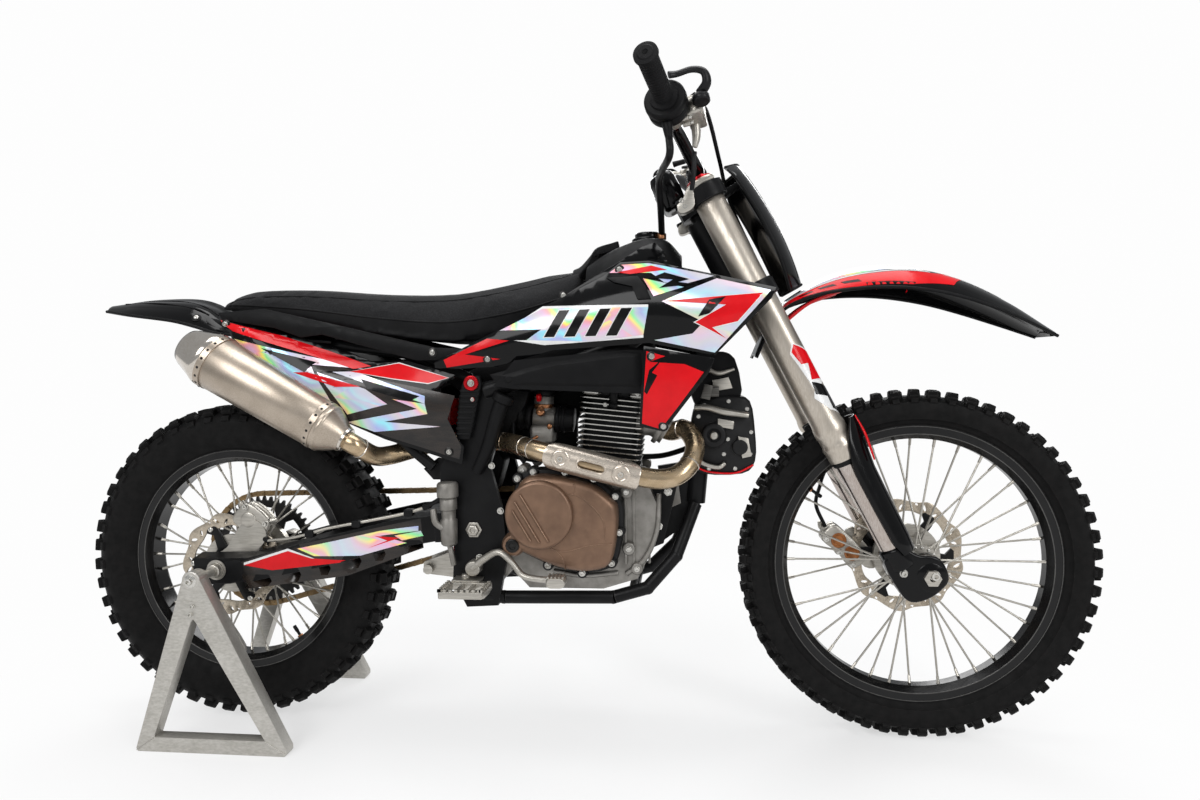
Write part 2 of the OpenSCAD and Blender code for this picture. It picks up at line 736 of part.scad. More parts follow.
// the rear fender as rows across the bike of [x, height, half width, drop of its sides]
fender_rows = [
    [-283, 902, 40, 14], [-200, 908, 72, 34], [-100, 906, 88, 46], [-44, 892, 92, 46],
    [6, 866, 92, 34], [120, 846, 92, 26], [250, 830, 92, 20]
];

module rear_fender() {
    rows = [for (r = fender_rows) [for (u = [-1, -0.9, -0.5, 0, 0.5, 0.9, 1])
        [r[0], u * r[2], r[1] - r[3] * pow(abs(u), 4)]]];
    color("#141414") bike() skin([for (r = smooth(rows, 2)) r], 3.5);
}

module air_ducts() {
    duct = [[598, 718], [640, 712], [885, 700], [896, 712], [892, 782], [860, 784], [640, 767]];
    duct_in = plate_mid + frame_tube_d / 2 + 2 * seat_gap;
    color("#1c1c1c") bike() both_sides() plate_y(duct, -duct_in - 20, -duct_in);
}

module oil_cooler() {
    color("#3a3a3c") bike() {
        plate_y([[1000, 520], [1024, 520], [1036, 640], [1012, 640]], 60, 150);
        rod([1004, 64, 528], [989.7, 23, 506], 12);
    }
}

// ---------- small parts on the frame ----------

module footpegs() {
    color("#b9b6b0") bike() both_sides() {
        plate_y([[505, 318], [560, 318], [566, 340], [505, 340]], -150, -plate_out - seat_gap);
        plate_y([[500, 322], [590, 322], [590, 342], [500, 342]], -222, -148);
    }
}

module brake_pedal() {
    color("#bdb9b2") bike() {
        bent_rod([[548, -134, 360], [600, -146, 396], [650, -156, 352], [720, -178, 350]], 14);
        translate([720, 0, 350]) bar_y(34, -205, -168);
        translate([548, 0, 360]) bar_y(28, -144, -plate_out - seat_gap);
    }
}

module shift_lever() {
    color("#bdb9b2") bike() {
        rod([600, 130, 371], [734, 157, 366], 13);
        translate([738, 0, 366]) bar_y(19, 148, 190);
        translate([600, 0, 371]) bar_y(26, plate_out + seat_gap, 143);
    }
}

module rear_master_cylinder() {
    seat_y = -plate_out - seat_gap;
    color("#5c5c5e") bike() {
        rod([500, seat_y - 17, 404], [500, seat_y - 17, 500], 34);
        rod([500, seat_y - 22, 498], [500, seat_y - 22, 530], 42);
        rod([500, seat_y - 17, 406], [508, seat_y - 17, 362], 12);
    }
}

module rear_caliper() {
    color("#b9b5ae") at_rear_axle() difference() {
        union() {
            translate([56, 0, 92]) rotate([0, 40, 0]) translate([-38, -84, -24]) cube([76, 36, 52]);
            plate_y([[-22, -16], [22, -16], [90, 60], [70, 96], [40, 96], [-22, 26]], -86, -80);
        }
        bar_y(rear_axle_d + spacer_wall + 2 * seat_gap, -100, -40);
        bar_y(rear_disc_d + 6, -disc_y_rear - disc_t / 2 - 3, -disc_y_rear + disc_t / 2 + 3);
    }
}

chain_gap = 5;
chain_h = 15;
chain_w = 17;

// the outline of a belt round two circles, of radius r0 at the origin and r1 at [x, z]
function belt(r0, r1, x, z) =
    let (l = norm([x, z]), a = atan2(z, x), b = acos((r0 - r1) / l))
    concat(
        [for (t = [b:6:360 - b]) [r0 * cos(a + t), r0 * sin(a + t)]],
        [for (t = [-b:6:b]) [x + r1 * cos(a + t), z + r1 * sin(a + t)]]
    );

module drive_chain() {
    inner = sprocket_d / 2 + chain_gap;
    front = front_sprocket - [0, 0, rear_axle_z];
    color("#8a7444") at_rear_axle() translate([0, sprocket_y, 0]) difference() {
        plate_y(belt(inner + chain_h, front_sprocket_r + chain_h, front[0], front[2]), -chain_w / 2, chain_w / 2);
        plate_y(belt(inner, front_sprocket_r, front[0], front[2]), -chain_w, chain_w);
    }
}

// ---------- paddock stand ----------

module stand_frame() {
    y0 = -stand_half_w;
    y1 = y0 + stand_tube;
    t = stand_tube;
    foot = [-stand_l * 0.41, stand_l * 0.59];
    apex = rear_axle_z;
    difference() {
        union() {
            plate_y([
                [foot[0], 0], [foot[1] - 12, 0], [foot[1], 12], [t * 0.5, apex + 0.5 * t],
                [-t * 0.5, apex + 0.5 * t]
            ], y0, y1);
            translate([0, 0, apex]) bar_y(stand_tube + 8, y0, y1);
            // pin into the hollow axle, with its shoulder against the axle nut
            translate([0, 0, apex]) bar_y(stand_pin_d, y0 - 14, -rear_axle_half + 30);
            translate([0, 0, apex]) bar_y(stand_pin_d + 12, y1 - 2, -rear_axle_half - seat_gap);
        }
        plate_y([
            [foot[0] + t * 1.35, t], [foot[1] - t * 1.5, t], [t * 0.25, apex - 2.6 * t]
        ], y0 - 1, y1 + 1);
    }
    // drilled tab on the inside of the front leg
    difference() {
        plate_y([[16, 300], [36, 292], [88, 206], [84, 190], [60, 190]], y1 - 1, y1 + 8);
        for (i = [0:3]) translate([40 + i * 11, 0, 274 - i * 20]) bar_y(6, y1 - 5, y1 + 12);
    }
}

module paddock_stand() {
    color("#c2bfb9") bike() both_sides() stand_frame();
}

// ---------- steering head and fork ----------

lower_clamp_z = head_low - 34;
upper_clamp_z = head_high + 12;
clamp_h = 28;
tube_low = 275;
tube_high = upper_clamp_z + clamp_h + 14;
bar_z = upper_clamp_z + clamp_h + 36;

module at_legs() {
    for (side = [-1, 1]) translate([clamp_offset, side * fork_spacing / 2, 0]) children();
}

module clamp_plate(z) {
    translate([0, 0, z]) difference() {
        union() {
            linear_extrude(clamp_h) polygon([
                [-30, -24], [-30, 24], [0, 50], [-6, fork_spacing / 2], [54, fork_spacing / 2],
                [54, -fork_spacing / 2], [-6, -fork_spacing / 2], [0, -50]
            ]);
            at_legs() cylinder(d = fork_tube_d + 18, h = clamp_h);
            cylinder(d = 64, h = clamp_h);
        }
        at_legs() translate([0, 0, -eps]) cylinder(d = fork_tube_d + 2 * fit, h = clamp_h + 2 * eps);
    }
}

module triple_clamps() {
    color("#151515") steered() {
        clamp_plate(lower_clamp_z);
        clamp_plate(upper_clamp_z);
        translate([0, 0, lower_clamp_z + 1]) cylinder(d = stem_d, h = upper_clamp_z - lower_clamp_z + clamp_h + 8);
        // bar mounts
        for (side = [-1, 1]) translate([clamp_offset + 8, side * 42, upper_clamp_z + clamp_h - 1])
            difference() {
                translate([-16, -13, 0]) cube([32, 26, 54]);
                translate([0, 0, 37]) bar_y(bar_d + 6 + 2 * fit, -20, 20);
            }
    }
}

module fork_tubes() {
    color("#b3a797") steered() at_legs() difference() {
        union() {
            translate([0, 0, tube_low]) cylinder(d = fork_tube_d, h = tube_high - tube_low);
            translate([0, 0, tube_low - 8]) cylinder(d = fork_tube_d - 4, h = 20);
            translate([0, 0, tube_high - 1]) cylinder(d = 34, h = 9);
        }
        translate([0, 0, tube_low - 9]) cylinder(d = fork_leg_d + 2 * fit, h = 120);
    }
}

module fork_legs() {
    lead = axle_offset - clamp_offset;
    color("#a9a39b") steered() {
        for (side = [-1, 1]) translate([clamp_offset, side * fork_spacing / 2, 0]) difference() {
            union() {
                cylinder(d = fork_leg_d, h = tube_low + 110);
                translate([0, 0, -34]) cylinder(d = fork_leg_d + 10, h = 84);
                translate([lead, 0, 0]) bar_y(58, -fork_foot_half, fork_foot_half);
                plate_y([[0, -32], [lead, -29], [lead, 29], [0, 48]], -fork_foot_half, fork_foot_half);
            }
            translate([lead, 0, 0]) bar_y(front_axle_d + 2 * fit, -40, 40);
        }
    }
}

module fork_guards() {
    inside = fork_leg_d + 10 + 2 * seat_gap;
    color("#141414") steered() at_legs() difference() {
        translate([0, 0, 39]) cylinder(d = inside + 7, h = tube_low - 55);
        translate([0, 0, 30]) cylinder(d = inside, h = tube_low);
        translate([-60, -60, 20]) cube([54, 120, tube_low]);
    }
}

// half of the handlebar: points in the steering frame, from the middle to its right end
bar_bend = [18, -235, 74];
bar_tip = [6, -bar_w / 2 + 10, 134];
bar_path = [[32, 0, 0], [32, -82, 0], [31, -98, 4], [29, -116, 16], [23, -168, 52], [19, -198, 66], bar_bend, bar_tip];
bar_dir = unit(bar_tip - bar_bend);

module handlebar() {
    color("#202020") steered() translate([0, 0, bar_z]) {
        both_sides() bent_rod(bar_path, bar_d);
        translate([bar_path[0][0], 0, 0]) bar_y(bar_d + 6, -70, 70);
    }
}

// children on each side, at the given distance inside the end of the handlebar, with z along it
module along_bar(inset) {
    v = bar_dir;
    steered() both_sides() translate([0, 0, bar_z] + bar_tip - inset * bar_dir)
        rotate([0, acos(v[2]), atan2(v[1], v[0])]) children();
}

grip_l = 118;

module hand_grips() {
    color("#232323") along_bar(grip_l) difference() {
        union() {
            cylinder(d = 33, h = grip_l + 8);
            cylinder(d = 52, h = 6);
            translate([0, 0, grip_l]) cylinder(d = 42, h = 8);
        }
        translate([0, 0, -eps]) cylinder(d = bar_d + 2 * seat_gap, h = grip_l + 1);
    }
}

module hand_levers() {
    reach = -110;    // turn about the bar that brings the levers ahead of it and a little below
    color("#222222") along_bar(grip_l + 22) rotate([0, 0, reach]) {
        difference() {
            union() {
                translate([0, 0, -6]) cylinder(d = bar_d + 14, h = 24);
                // perch and reservoir ahead of the bar
                translate([-44, -12, -10]) cube([34, 26, 30]);
            }
            translate([0, 0, -20]) cylinder(d = bar_d + 2, h = 60);
        }
        bent_rod([[-34, 0, 6], [-62, -4, 24], [-62, -6, 74], [-46, -6, grip_l + 10]], 9);
    }
}

module number_plate() {
    rows = [for (r = [[600, 70], [640, 92], [700, 104], [790, 106], [850, 98], [870, 84]])
        [for (u = [-1, -0.85, -0.5, 0, 0.5, 0.85, 1])
            [128 - 34 * pow(abs(u), 3) - 0.0006 * pow(r[0] - 730, 2), u * r[1], r[0]]]];
    color("#161616") steered() {
        skin(smooth(rows, 2), 3.5);
        translate([54 + seat_gap, -18, upper_clamp_z + 6]) cube([64, 36, 14]);
    }
}

// the front fender as rows across it of [x, z, half width, drop of its sides]
front_fender_rows = [
    [-30, 520, 56, 6], [40, 574, 62, 8], [105, 588, 66, 16], [190, 582, 88, 34], [280, 548, 102, 44],
    [360, 488, 100, 44], [430, 400, 82, 32], [492, 296, 46, 10]
];

module front_fender() {
    rows = [for (r = front_fender_rows) [for (u = [-1, -0.9, -0.5, 0, 0.5, 0.9, 1])
        [r[0] - 0.4 * r[3] * pow(abs(u), 4), u * r[2], r[1] - r[3] * pow(abs(u), 4)]]];
    color("#161616") steered() {
        skin([for (r = smooth(rows, 2)) r], 3.5);
        for (side = [-1, 1]) translate([30, side * 44, 556]) cylinder(d = 16, h = lower_clamp_z - 556 - seat_gap);
    }
}

module front_caliper() {
    y = disc_y_front;
    color("#c0bbb2") steered() translate([axle_offset, 0, 0]) difference() {
        union() {
            translate([-110, y - 18, 20]) rotate([0, -18, 0]) cube([46, 42, 100]);
            plate_y([[-84, 10], [-62, 2], [-60, 40], [-66, 96], [-90, 90]], y + 8, y + 30);
        }
        bar_y(front_disc_d + 6, y - disc_t / 2 - 3, y + disc_t / 2 + 3);
        translate([-axle_offset, 0, -50]) at_legs() cylinder(d = fork_leg_d + 10 + 2 * seat_gap, h = 200);
    }
}

brake_hose_route = [
    [60, -214, bar_z + 92], [92, -130, bar_z + 84], [86, -40, bar_z + 10], [84, 40, bar_z - 30],
    [80, 84, 790], [78, 122, 640], [60, 148, 420], [36, 148, 260], [-18, 122, 200], [-52, 80, 172], [-58, 64, 124]
];

module brake_hose() {
    color("#101010") steered() sweep(smooth(brake_hose_route, 5), 8, 8, [0, 0.3, 1]);
}

// ---------- assembly ----------

main_frame();
subframe();
engine_cases();
engine_cylinder();
engine_covers();
carburettor();
airbox();
rear_shock();
shock_linkage();
swingarm();
drive_chain();
rear_axle();
rear_caliper();
rear_master_cylinder();
brake_pedal();
shift_lever();
footpegs();
exhaust_header();
heat_shield();
muffler();
fuel_tank();
fuel_cap();
seat();
shrouds();
side_panels();
rear_fender();
air_ducts();
oil_cooler();
paddock_stand();
triple_clamps();
fork_tubes();
fork_legs();
fork_guards();
handlebar();
hand_grips();
hand_levers();
number_plate();
front_fender();
front_caliper();
front_axle();
brake_hose();
front_tyre();
front_rim();
front_hub();
front_disc();
rear_tyre();
rear_rim();
rear_hub();
rear_disc();
rear_sprocket();
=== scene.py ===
"""Looks of a dirt bike on its two paddock stand frames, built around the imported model.

Sizes are in millimetres. bike() and fork() turn them into the scene's metres.
"""
import json
import math
from random import Random

import bmesh
import bpy
from mathutils import Matrix, Vector
from mathutils.bvhtree import BVHTree
from mathutils.geometry import delaunay_2d_cdt


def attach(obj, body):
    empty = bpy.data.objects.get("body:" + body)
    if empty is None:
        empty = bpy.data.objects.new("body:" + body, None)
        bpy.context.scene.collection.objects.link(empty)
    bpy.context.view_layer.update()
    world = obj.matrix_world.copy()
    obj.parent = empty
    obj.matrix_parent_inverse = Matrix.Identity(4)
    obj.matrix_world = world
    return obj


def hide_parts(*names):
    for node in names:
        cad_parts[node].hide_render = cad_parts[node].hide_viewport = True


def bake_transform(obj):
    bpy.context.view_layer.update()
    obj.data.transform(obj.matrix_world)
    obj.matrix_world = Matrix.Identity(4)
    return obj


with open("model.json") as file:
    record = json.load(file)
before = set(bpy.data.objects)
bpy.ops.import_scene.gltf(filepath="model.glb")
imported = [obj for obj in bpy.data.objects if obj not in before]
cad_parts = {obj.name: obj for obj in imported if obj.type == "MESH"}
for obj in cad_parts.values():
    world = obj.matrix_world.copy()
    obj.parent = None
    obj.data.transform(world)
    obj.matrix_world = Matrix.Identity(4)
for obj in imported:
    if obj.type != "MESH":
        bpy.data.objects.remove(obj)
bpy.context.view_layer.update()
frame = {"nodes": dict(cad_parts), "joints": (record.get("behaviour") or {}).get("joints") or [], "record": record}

# ---------------------------------------------------------------- places

MM = 0.001
SIDE = Vector((0, 1, 0))                     # to the rider's left
UP = Vector((0, 0, 1))
FORWARD = Vector((1, 0, 0))
joint = {j["name"]: j for j in frame["joints"]}
rear_axle = Vector(joint["rear_wheel_spin"]["pos_m"])
front_axle = Vector(joint["front_wheel_spin"]["pos_m"])
steer_up = Vector(joint["steering_turn"]["axis"]).normalized()
steer_forward = Vector((steer_up.z, 0, -steer_up.x))
AXLE_OFFSET = 60                             # front axle ahead of the steering axis
LEG_X, LEG_Y = 24, 100                       # fork leg in the steering frame
BAR_Z = 885                                  # middle of the handlebar up the steering axis
steer_foot = front_axle - AXLE_OFFSET * MM * steer_forward


def bike(x, y, z):
    """A point ahead of the rear axle, to the left of the middle and above the floor."""
    return Vector((rear_axle.x + x * MM, y * MM, z * MM))


def fork(x, y, z):
    """A point ahead of the steering axis, to its left and up it from the axle's height."""
    return steer_foot + (steer_forward * x + SIDE * y + steer_up * z) * MM


def flip(p):
    return Vector((p.x, -p.y, p.z))


def between(a, b, t):
    return a + (b - a) * t


def bend(a, b, c, d, t):
    return 0.5 * (2 * b + (c - a) * t + (2 * a - 5 * b + 4 * c - d) * t * t
                  + (3 * b - a - 3 * c + d) * t ** 3)


def smooth(points, steps):
    """Points along a smooth curve through the given ones, which may be numbers or vectors."""
    last = len(points) - 1
    out = []
    for i in range(last):
        before = points[i - 1] if i else 2 * points[0] - points[1]
        after = points[i + 2] if i + 2 <= last else 2 * points[last] - points[last - 1]
        out += [bend(before, points[i], points[i + 1], after, k / steps) for k in range(steps)]
    return out + [points[last]]


# ---------------------------------------------------------------- shapes

class Shape:
    """Points and faces that grow into one piece. slot numbers each face's finish."""

    def __init__(self):
        self.points = []
        self.faces = []
        self.slots = []

    def add(self, points, faces, slot=0):
        first = len(self.points)
        self.points += points
        self.faces += [[first + i for i in face] for face in faces]
        self.slots += [slot] * len(faces)
        return self

    def rings(self, loops, slot=0, ends=True, loop=False):
        """A skin over closed loops of the same number of points."""
        n = len(loops[0])
        count = len(loops)
        faces = []
        for i in range(count if loop else count - 1):
            a, b = i * n, (i + 1) % count * n
            faces += [[a + j, a + (j + 1) % n, b + (j + 1) % n, b + j] for j in range(n)]
        if ends and not loop:
            faces += [list(range(n)), list(range((count - 1) * n, count * n))]
        return self.add([p for ring in loops for p in ring], faces, slot)

    def prism(self, outline, y0, y1, place=bike, slot=0):
        """An outline of (x, z) drawn out from y0 to y1."""
        return self.rings([[place(x, y, z) for x, z in outline] for y in (y0, y1)], slot)

    def lathe(self, profile, start, axis, sides=40, slot=0, loop=False):
        """A profile of (distance along, radius) turned round an axis."""
        axis = axis.normalized()
        across = (UP if abs(axis.z) < 0.9 else FORWARD).cross(axis).normalized()
        other = axis.cross(across)
        rings = [[start + axis * (d * MM) + (across * math.cos(a) + other * math.sin(a)) * (max(r,
                0.05) * MM)
                  for a in (2 * math.pi * k / sides for k in range(sides))] for d, r in profile]
        return self.rings(rings, slot, ends=not loop, loop=loop)

    def rod(self, a, b, d, sides=16, slot=0, edge=0.0):
        """A straight rod with its edges cut back."""
        length = (b - a).length / MM
        r = d / 2
        profile = [(0, r), (length, r)] if not edge else [
            (0, r - edge), (edge, r), (length - edge, r), (length, r - edge)]
        return self.lathe(profile, a, b - a, sides, slot)

    def tube(self, path, d, sides=12, steps=6, slot=0, flat=1.0, up=UP):
        """A round bar along a smooth path, of one diameter or one for each point given."""
        dias = d if isinstance(d, (list, tuple)) else [d] * len(path)
        centres = smooth(list(path), steps) if steps > 1 else list(path)
        dias = smooth([float(v) for v in dias], steps) if steps > 1 else dias
        loops = []
        side = None
        for i, centre in enumerate(centres):
            along = (centres[min(i + 1, len(centres) - 1)] - centres[max(i - 1, 0)]).normalized()
            if side is None:
                side = along.cross(up if abs(along.dot(up)) < 0.95 else FORWARD).normalized()
            side = (side - along * side.dot(along)).normalized()
            other = side.cross(along)
            loops.append([centre + (side * math.cos(a) + other * (flat * math.sin(a))) * (dias[i] / 2 * MM)
                          for a in (2 * math.pi * k / sides for k in range(sides))])
        return self.rings(loops, slot)

    def block(self, low, high, place=bike, slot=0):
        (x0, y0, z0), (x1, y1, z1) = low, high
        return self.prism([(x0, z0), (x1, z0), (x1, z1), (x0, z1)], y0, y1, place, slot)

    def both(self, draw):
        """What draw adds, on both sides of the bike."""
        first, first_face = len(self.points), len(self.faces)
        draw(self)
        mirrored = [flip(p) for p in self.points[first:]]
        faces = [[i - first for i in reversed(f)] for f in self.faces[first_face:]]
        slots = self.slots[first_face:]
        self.add(mirrored, faces)
        self.slots[-len(slots):] = slots
        return self

    def mesh(self, name):
        data = bpy.data.meshes.new(name)
        data.from_pydata(self.points, [], self.faces)
        data.polygons.foreach_set("material_index", self.slots)
        return data

    def piece(self, name, body, finishes, slot, bevel=0.0, thick=0.0, levels=0, sharp=35, hides=(),
              closed=True):
        """Makes the piece, with rounded edges, a wall's thickness or subdivision where they are given."""
        data = self.mesh(name)
        obj = bpy.data.objects.new(name, data)
        bpy.context.collection.objects.link(obj)
        for f in finishes if isinstance(finishes, (list, tuple)) else [finishes]:
            data.materials.append(f)
        tidy(obj, closed and not thick)
        if thick:
            wall = obj.modifiers.new("wall", "SOLIDIFY")
            wall.thickness = thick * MM
            wall.offset = 0
        if levels:
            soft = obj.modifiers.new("soft", "SUBSURF")
            soft.levels = soft.render_levels = levels
        if bevel:
            edge = obj.modifiers.new("edge", "BEVEL")
            edge.width = bevel * MM
            edge.segments = 2
            edge.limit_method = "ANGLE"
            edge.angle_limit = math.radians(sharp)
        settle(obj)
        tidy(obj, True)
        return finish_piece(obj, body, sharp, hides)


def tidy(obj, outwards):
    """Merges doubled points and turns the faces outwards."""
    work = bmesh.new()
    work.from_mesh(obj.data)
    bmesh.ops.remove_doubles(work, verts=work.verts, dist=1e-6)
    bmesh.ops.dissolve_degenerate(work, dist=1e-7, edges=work.edges)
    if outwards:
        bmesh.ops.recalc_face_normals(work, faces=work.faces)
    work.to_mesh(obj.data)
    work.free()


def settle(obj):
    """Turns an object with modifiers into a plain mesh."""
    if not obj.modifiers:
        return
    graph = bpy.context.evaluated_depsgraph_get()
    data = bpy.data.meshes.new_from_object(obj.evaluated_get(graph), preserve_all_data_layers=True,
                                           depsgraph=graph)
    obj.modifiers.clear()
    obj.data = data


def finish_piece(obj, body, sharp, hides=()):
    obj.data.shade_smooth()
    obj.data.set_sharp_from_angle(angle=math.radians(sharp))
    if body:
        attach(obj, body)
    if hides:
        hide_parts(*hides)
    return obj


# ---------------------------------------------------------------- what repeats

def grower(name, sockets):
    tree = bpy.data.node_groups.new(name, "GeometryNodeTree")
    tree.interface.new_socket("Geometry", in_out="INPUT", socket_type="NodeSocketGeometry")
    for label, kind in sockets:
        tree.interface.new_socket(label, in_out="INPUT", socket_type=kind)
    tree.interface.new_socket("Geometry", in_out="OUTPUT", socket_type="NodeSocketGeometry")
    return tree, tree.nodes.new("NodeGroupInput"), tree.nodes.new("NodeGroupOutput")


def ending(tree, source, given, out):
    """Realizes the copies and gives them their finish."""
    real = tree.nodes.new("GeometryNodeRealizeInstances")
    dress = tree.nodes.new("GeometryNodeSetMaterial")
    tree.links.new(source, real.inputs["Geometry"])
    tree.links.new(real.outputs["Geometry"], dress.inputs["Geometry"])
    tree.links.new(given.outputs["Material"], dress.inputs["Material"])
    tree.links.new(dress.outputs["Geometry"], out.inputs["Geometry"])


def wheel_tree():
    """Copies of a shape, modelled round the origin, turned about a wheel's axle."""
    tree, given, out = grower("round a wheel", [
        ("Count", "NodeSocketInt"), ("Centre", "NodeSocketVector"), ("Material", "NodeSocketMaterial")])
    marks = tree.nodes.new("GeometryNodePoints")
    index = tree.nodes.new("GeometryNodeInputIndex")
    share = tree.nodes.new("ShaderNodeMath")
    share.operation = "DIVIDE"
    turn = tree.nodes.new("ShaderNodeMath")
    turn.operation = "MULTIPLY"
    turn.inputs[1].default_value = 2 * math.pi
    about = tree.nodes.new("ShaderNodeCombineXYZ")
    rotation = tree.nodes.new("FunctionNodeEulerToRotation")
    copies = tree.nodes.new("GeometryNodeInstanceOnPoints")
    moved = tree.nodes.new("GeometryNodeTransform")
    link = tree.links.new
    link(given.outputs["Count"], marks.inputs["Count"])
    link(index.outputs[0], share.inputs[0])
    link(given.outputs["Count"], share.inputs[1])
    link(share.outputs[0], turn.inputs[0])
    link(turn.outputs[0], about.inputs["Y"])
    link(about.outputs[0], rotation.inputs[0])
    link(marks.outputs[0], copies.inputs["Points"])
    link(given.outputs["Geometry"], copies.inputs["Instance"])
    link(rotation.outputs[0], copies.inputs["Rotation"])
    link(copies.outputs[0], moved.inputs["Geometry"])
    link(given.outputs["Centre"], moved.inputs["Translation"])
    ending(tree, moved.outputs[0], given, out)
    return tree


def marks_tree():
    """A part set on marks, each with the way it faces, the way it runs and its size."""
    tree, given, out = grower("set on marks", [("Part", "NodeSocketObject"),
            ("Material", "NodeSocketMaterial")])
    part = tree.nodes.new("GeometryNodeObjectInfo")
    copies = tree.nodes.new("GeometryNodeInstanceOnPoints")
    link = tree.links.new

    def named(label):
        node = tree.nodes.new("GeometryNodeInputNamedAttribute")
        node.data_type = "FLOAT_VECTOR"
        node.inputs["Name"].default_value = label
        return node.outputs["Attribute"]

    facing = tree.nodes.new("FunctionNodeAlignRotationToVector")
    facing.axis = "Z"
    running = tree.nodes.new("FunctionNodeAlignRotationToVector")
    running.axis = "X"
    running.pivot_axis = "Z"
    link(named("facing"), facing.inputs["Vector"])
    link(facing.outputs[0], running.inputs["Rotation"])
    link(named("running"), running.inputs["Vector"])
    link(given.outputs["Geometry"], copies.inputs["Points"])
    link(given.outputs["Part"], part.inputs["Object"])
    link(part.outputs["Geometry"], copies.inputs["Instance"])
    link(running.outputs[0], copies.inputs["Rotation"])
    link(named("size"), copies.inputs["Scale"])
    ending(tree, copies.outputs[0], given, out)
    return tree


def row_tree():
    """Copies of a shape in a row."""
    tree, given, out = grower("in a row", [
        ("Count", "NodeSocketInt"), ("Step", "NodeSocketVector"), ("Material", "NodeSocketMaterial")])
    marks = tree.nodes.new("GeometryNodePoints")
    index = tree.nodes.new("GeometryNodeInputIndex")
    place = tree.nodes.new("ShaderNodeVectorMath")
    place.operation = "SCALE"
    copies = tree.nodes.new("GeometryNodeInstanceOnPoints")
    link = tree.links.new
    link(given.outputs["Count"], marks.inputs["Count"])
    link(given.outputs["Step"], place.inputs[0])
    link(index.outputs[0], place.inputs["Scale"])
    link(place.outputs[0], marks.inputs["Position"])
    link(marks.outputs[0], copies.inputs["Points"])
    link(given.outputs["Geometry"], copies.inputs["Instance"])
    ending(tree, copies.outputs[0], given, out)
    return tree


TREES = {"wheel": wheel_tree(), "marks": marks_tree(), "row": row_tree()}


def grow(obj, kind, **inputs):
    """Runs one of the trees on an object and keeps the result as its mesh."""
    tree = TREES[kind]
    mod = obj.modifiers.new(kind, "NODES")
    mod.node_group = tree
    for item in tree.interface.items_tree:
        if item.in_out == "INPUT" and item.name in inputs:
            mod[item.identifier] = inputs[item.name]
    settle(obj)
    return obj


def loose(shape, name):
    """An object of a shape that is only copied."""
    obj = bpy.data.objects.new(name, shape.mesh(name))
    bpy.context.collection.objects.link(obj)
    tidy(obj, True)
    return obj


def round_wheel(name, shape, count, centre, body, finish, sharp=35, hides=()):
    obj = loose(shape, name)
    grow(obj, "wheel", Count=count, Centre=tuple(centre), Material=finish)
    return finish_piece(obj, body, sharp, hides)


def in_row(name, shape, count, step, body, finish, sharp=35, hides=()):
    obj = loose(shape, name)
    grow(obj, "row", Count=count, Step=tuple(step), Material=finish)
    return finish_piece(obj, body, sharp, hides)


def on_marks(name, part, marks, body, finish, sharp=35, hides=()):
    """marks are (place, facing, size) or (place, facing, size, running)."""
    data = bpy.data.meshes.new(name)
    data.from_pydata([m[0] for m in marks], [], [])
    for label, values in (("facing", [m[1] for m in marks]),
                          ("size", [m[2] if isinstance(m[2], Vector) else Vector((m[2],) * 3)
                                    for m in marks]),
                          ("running", [m[3] if len(m) > 3 else m[1].orthogonal() for m in marks])):
        layer = data.attributes.new(label, "FLOAT_VECTOR", "POINT")
        layer.data.foreach_set("vector", [c for v in values for c in v])
    obj = bpy.data.objects.new(name, data)
    bpy.context.collection.objects.link(obj)
    grow(obj, "marks", Part=part, Material=finish)
    return finish_piece(obj, body, sharp, hides)

# ---------------------------------------------------------------- camera, floor and light

def look(yaw, pitch, roll):
    """The camera's turn: yaw to the left of straight across the bike, pitch down, roll."""
    a, p, r = (math.radians(v) for v in (yaw, pitch, roll))
    ahead = Vector((-math.sin(a) * math.cos(p), math.cos(a) * math.cos(p), -math.sin(p)))
    right = Vector((math.cos(a), math.sin(a), 0))
    up = right.cross(ahead)
    across = right * math.cos(r) + up * math.sin(r)
    top = up * math.cos(r) - right * math.sin(r)
    return Matrix((across, top, -ahead)).transposed().to_4x4()


camera = bpy.data.objects.new("camera", bpy.data.cameras.new("camera"))
bpy.context.collection.objects.link(camera)
bpy.context.scene.camera = camera
camera.data.sensor_width = 36
camera.data.lens = 23.145
camera.matrix_world = Matrix.Translation((0.24775, -1.6012, 0.7525)) @ look(6.22, 2.475, -0.825)
bpy.context.scene.view_settings.view_transform = "Standard"


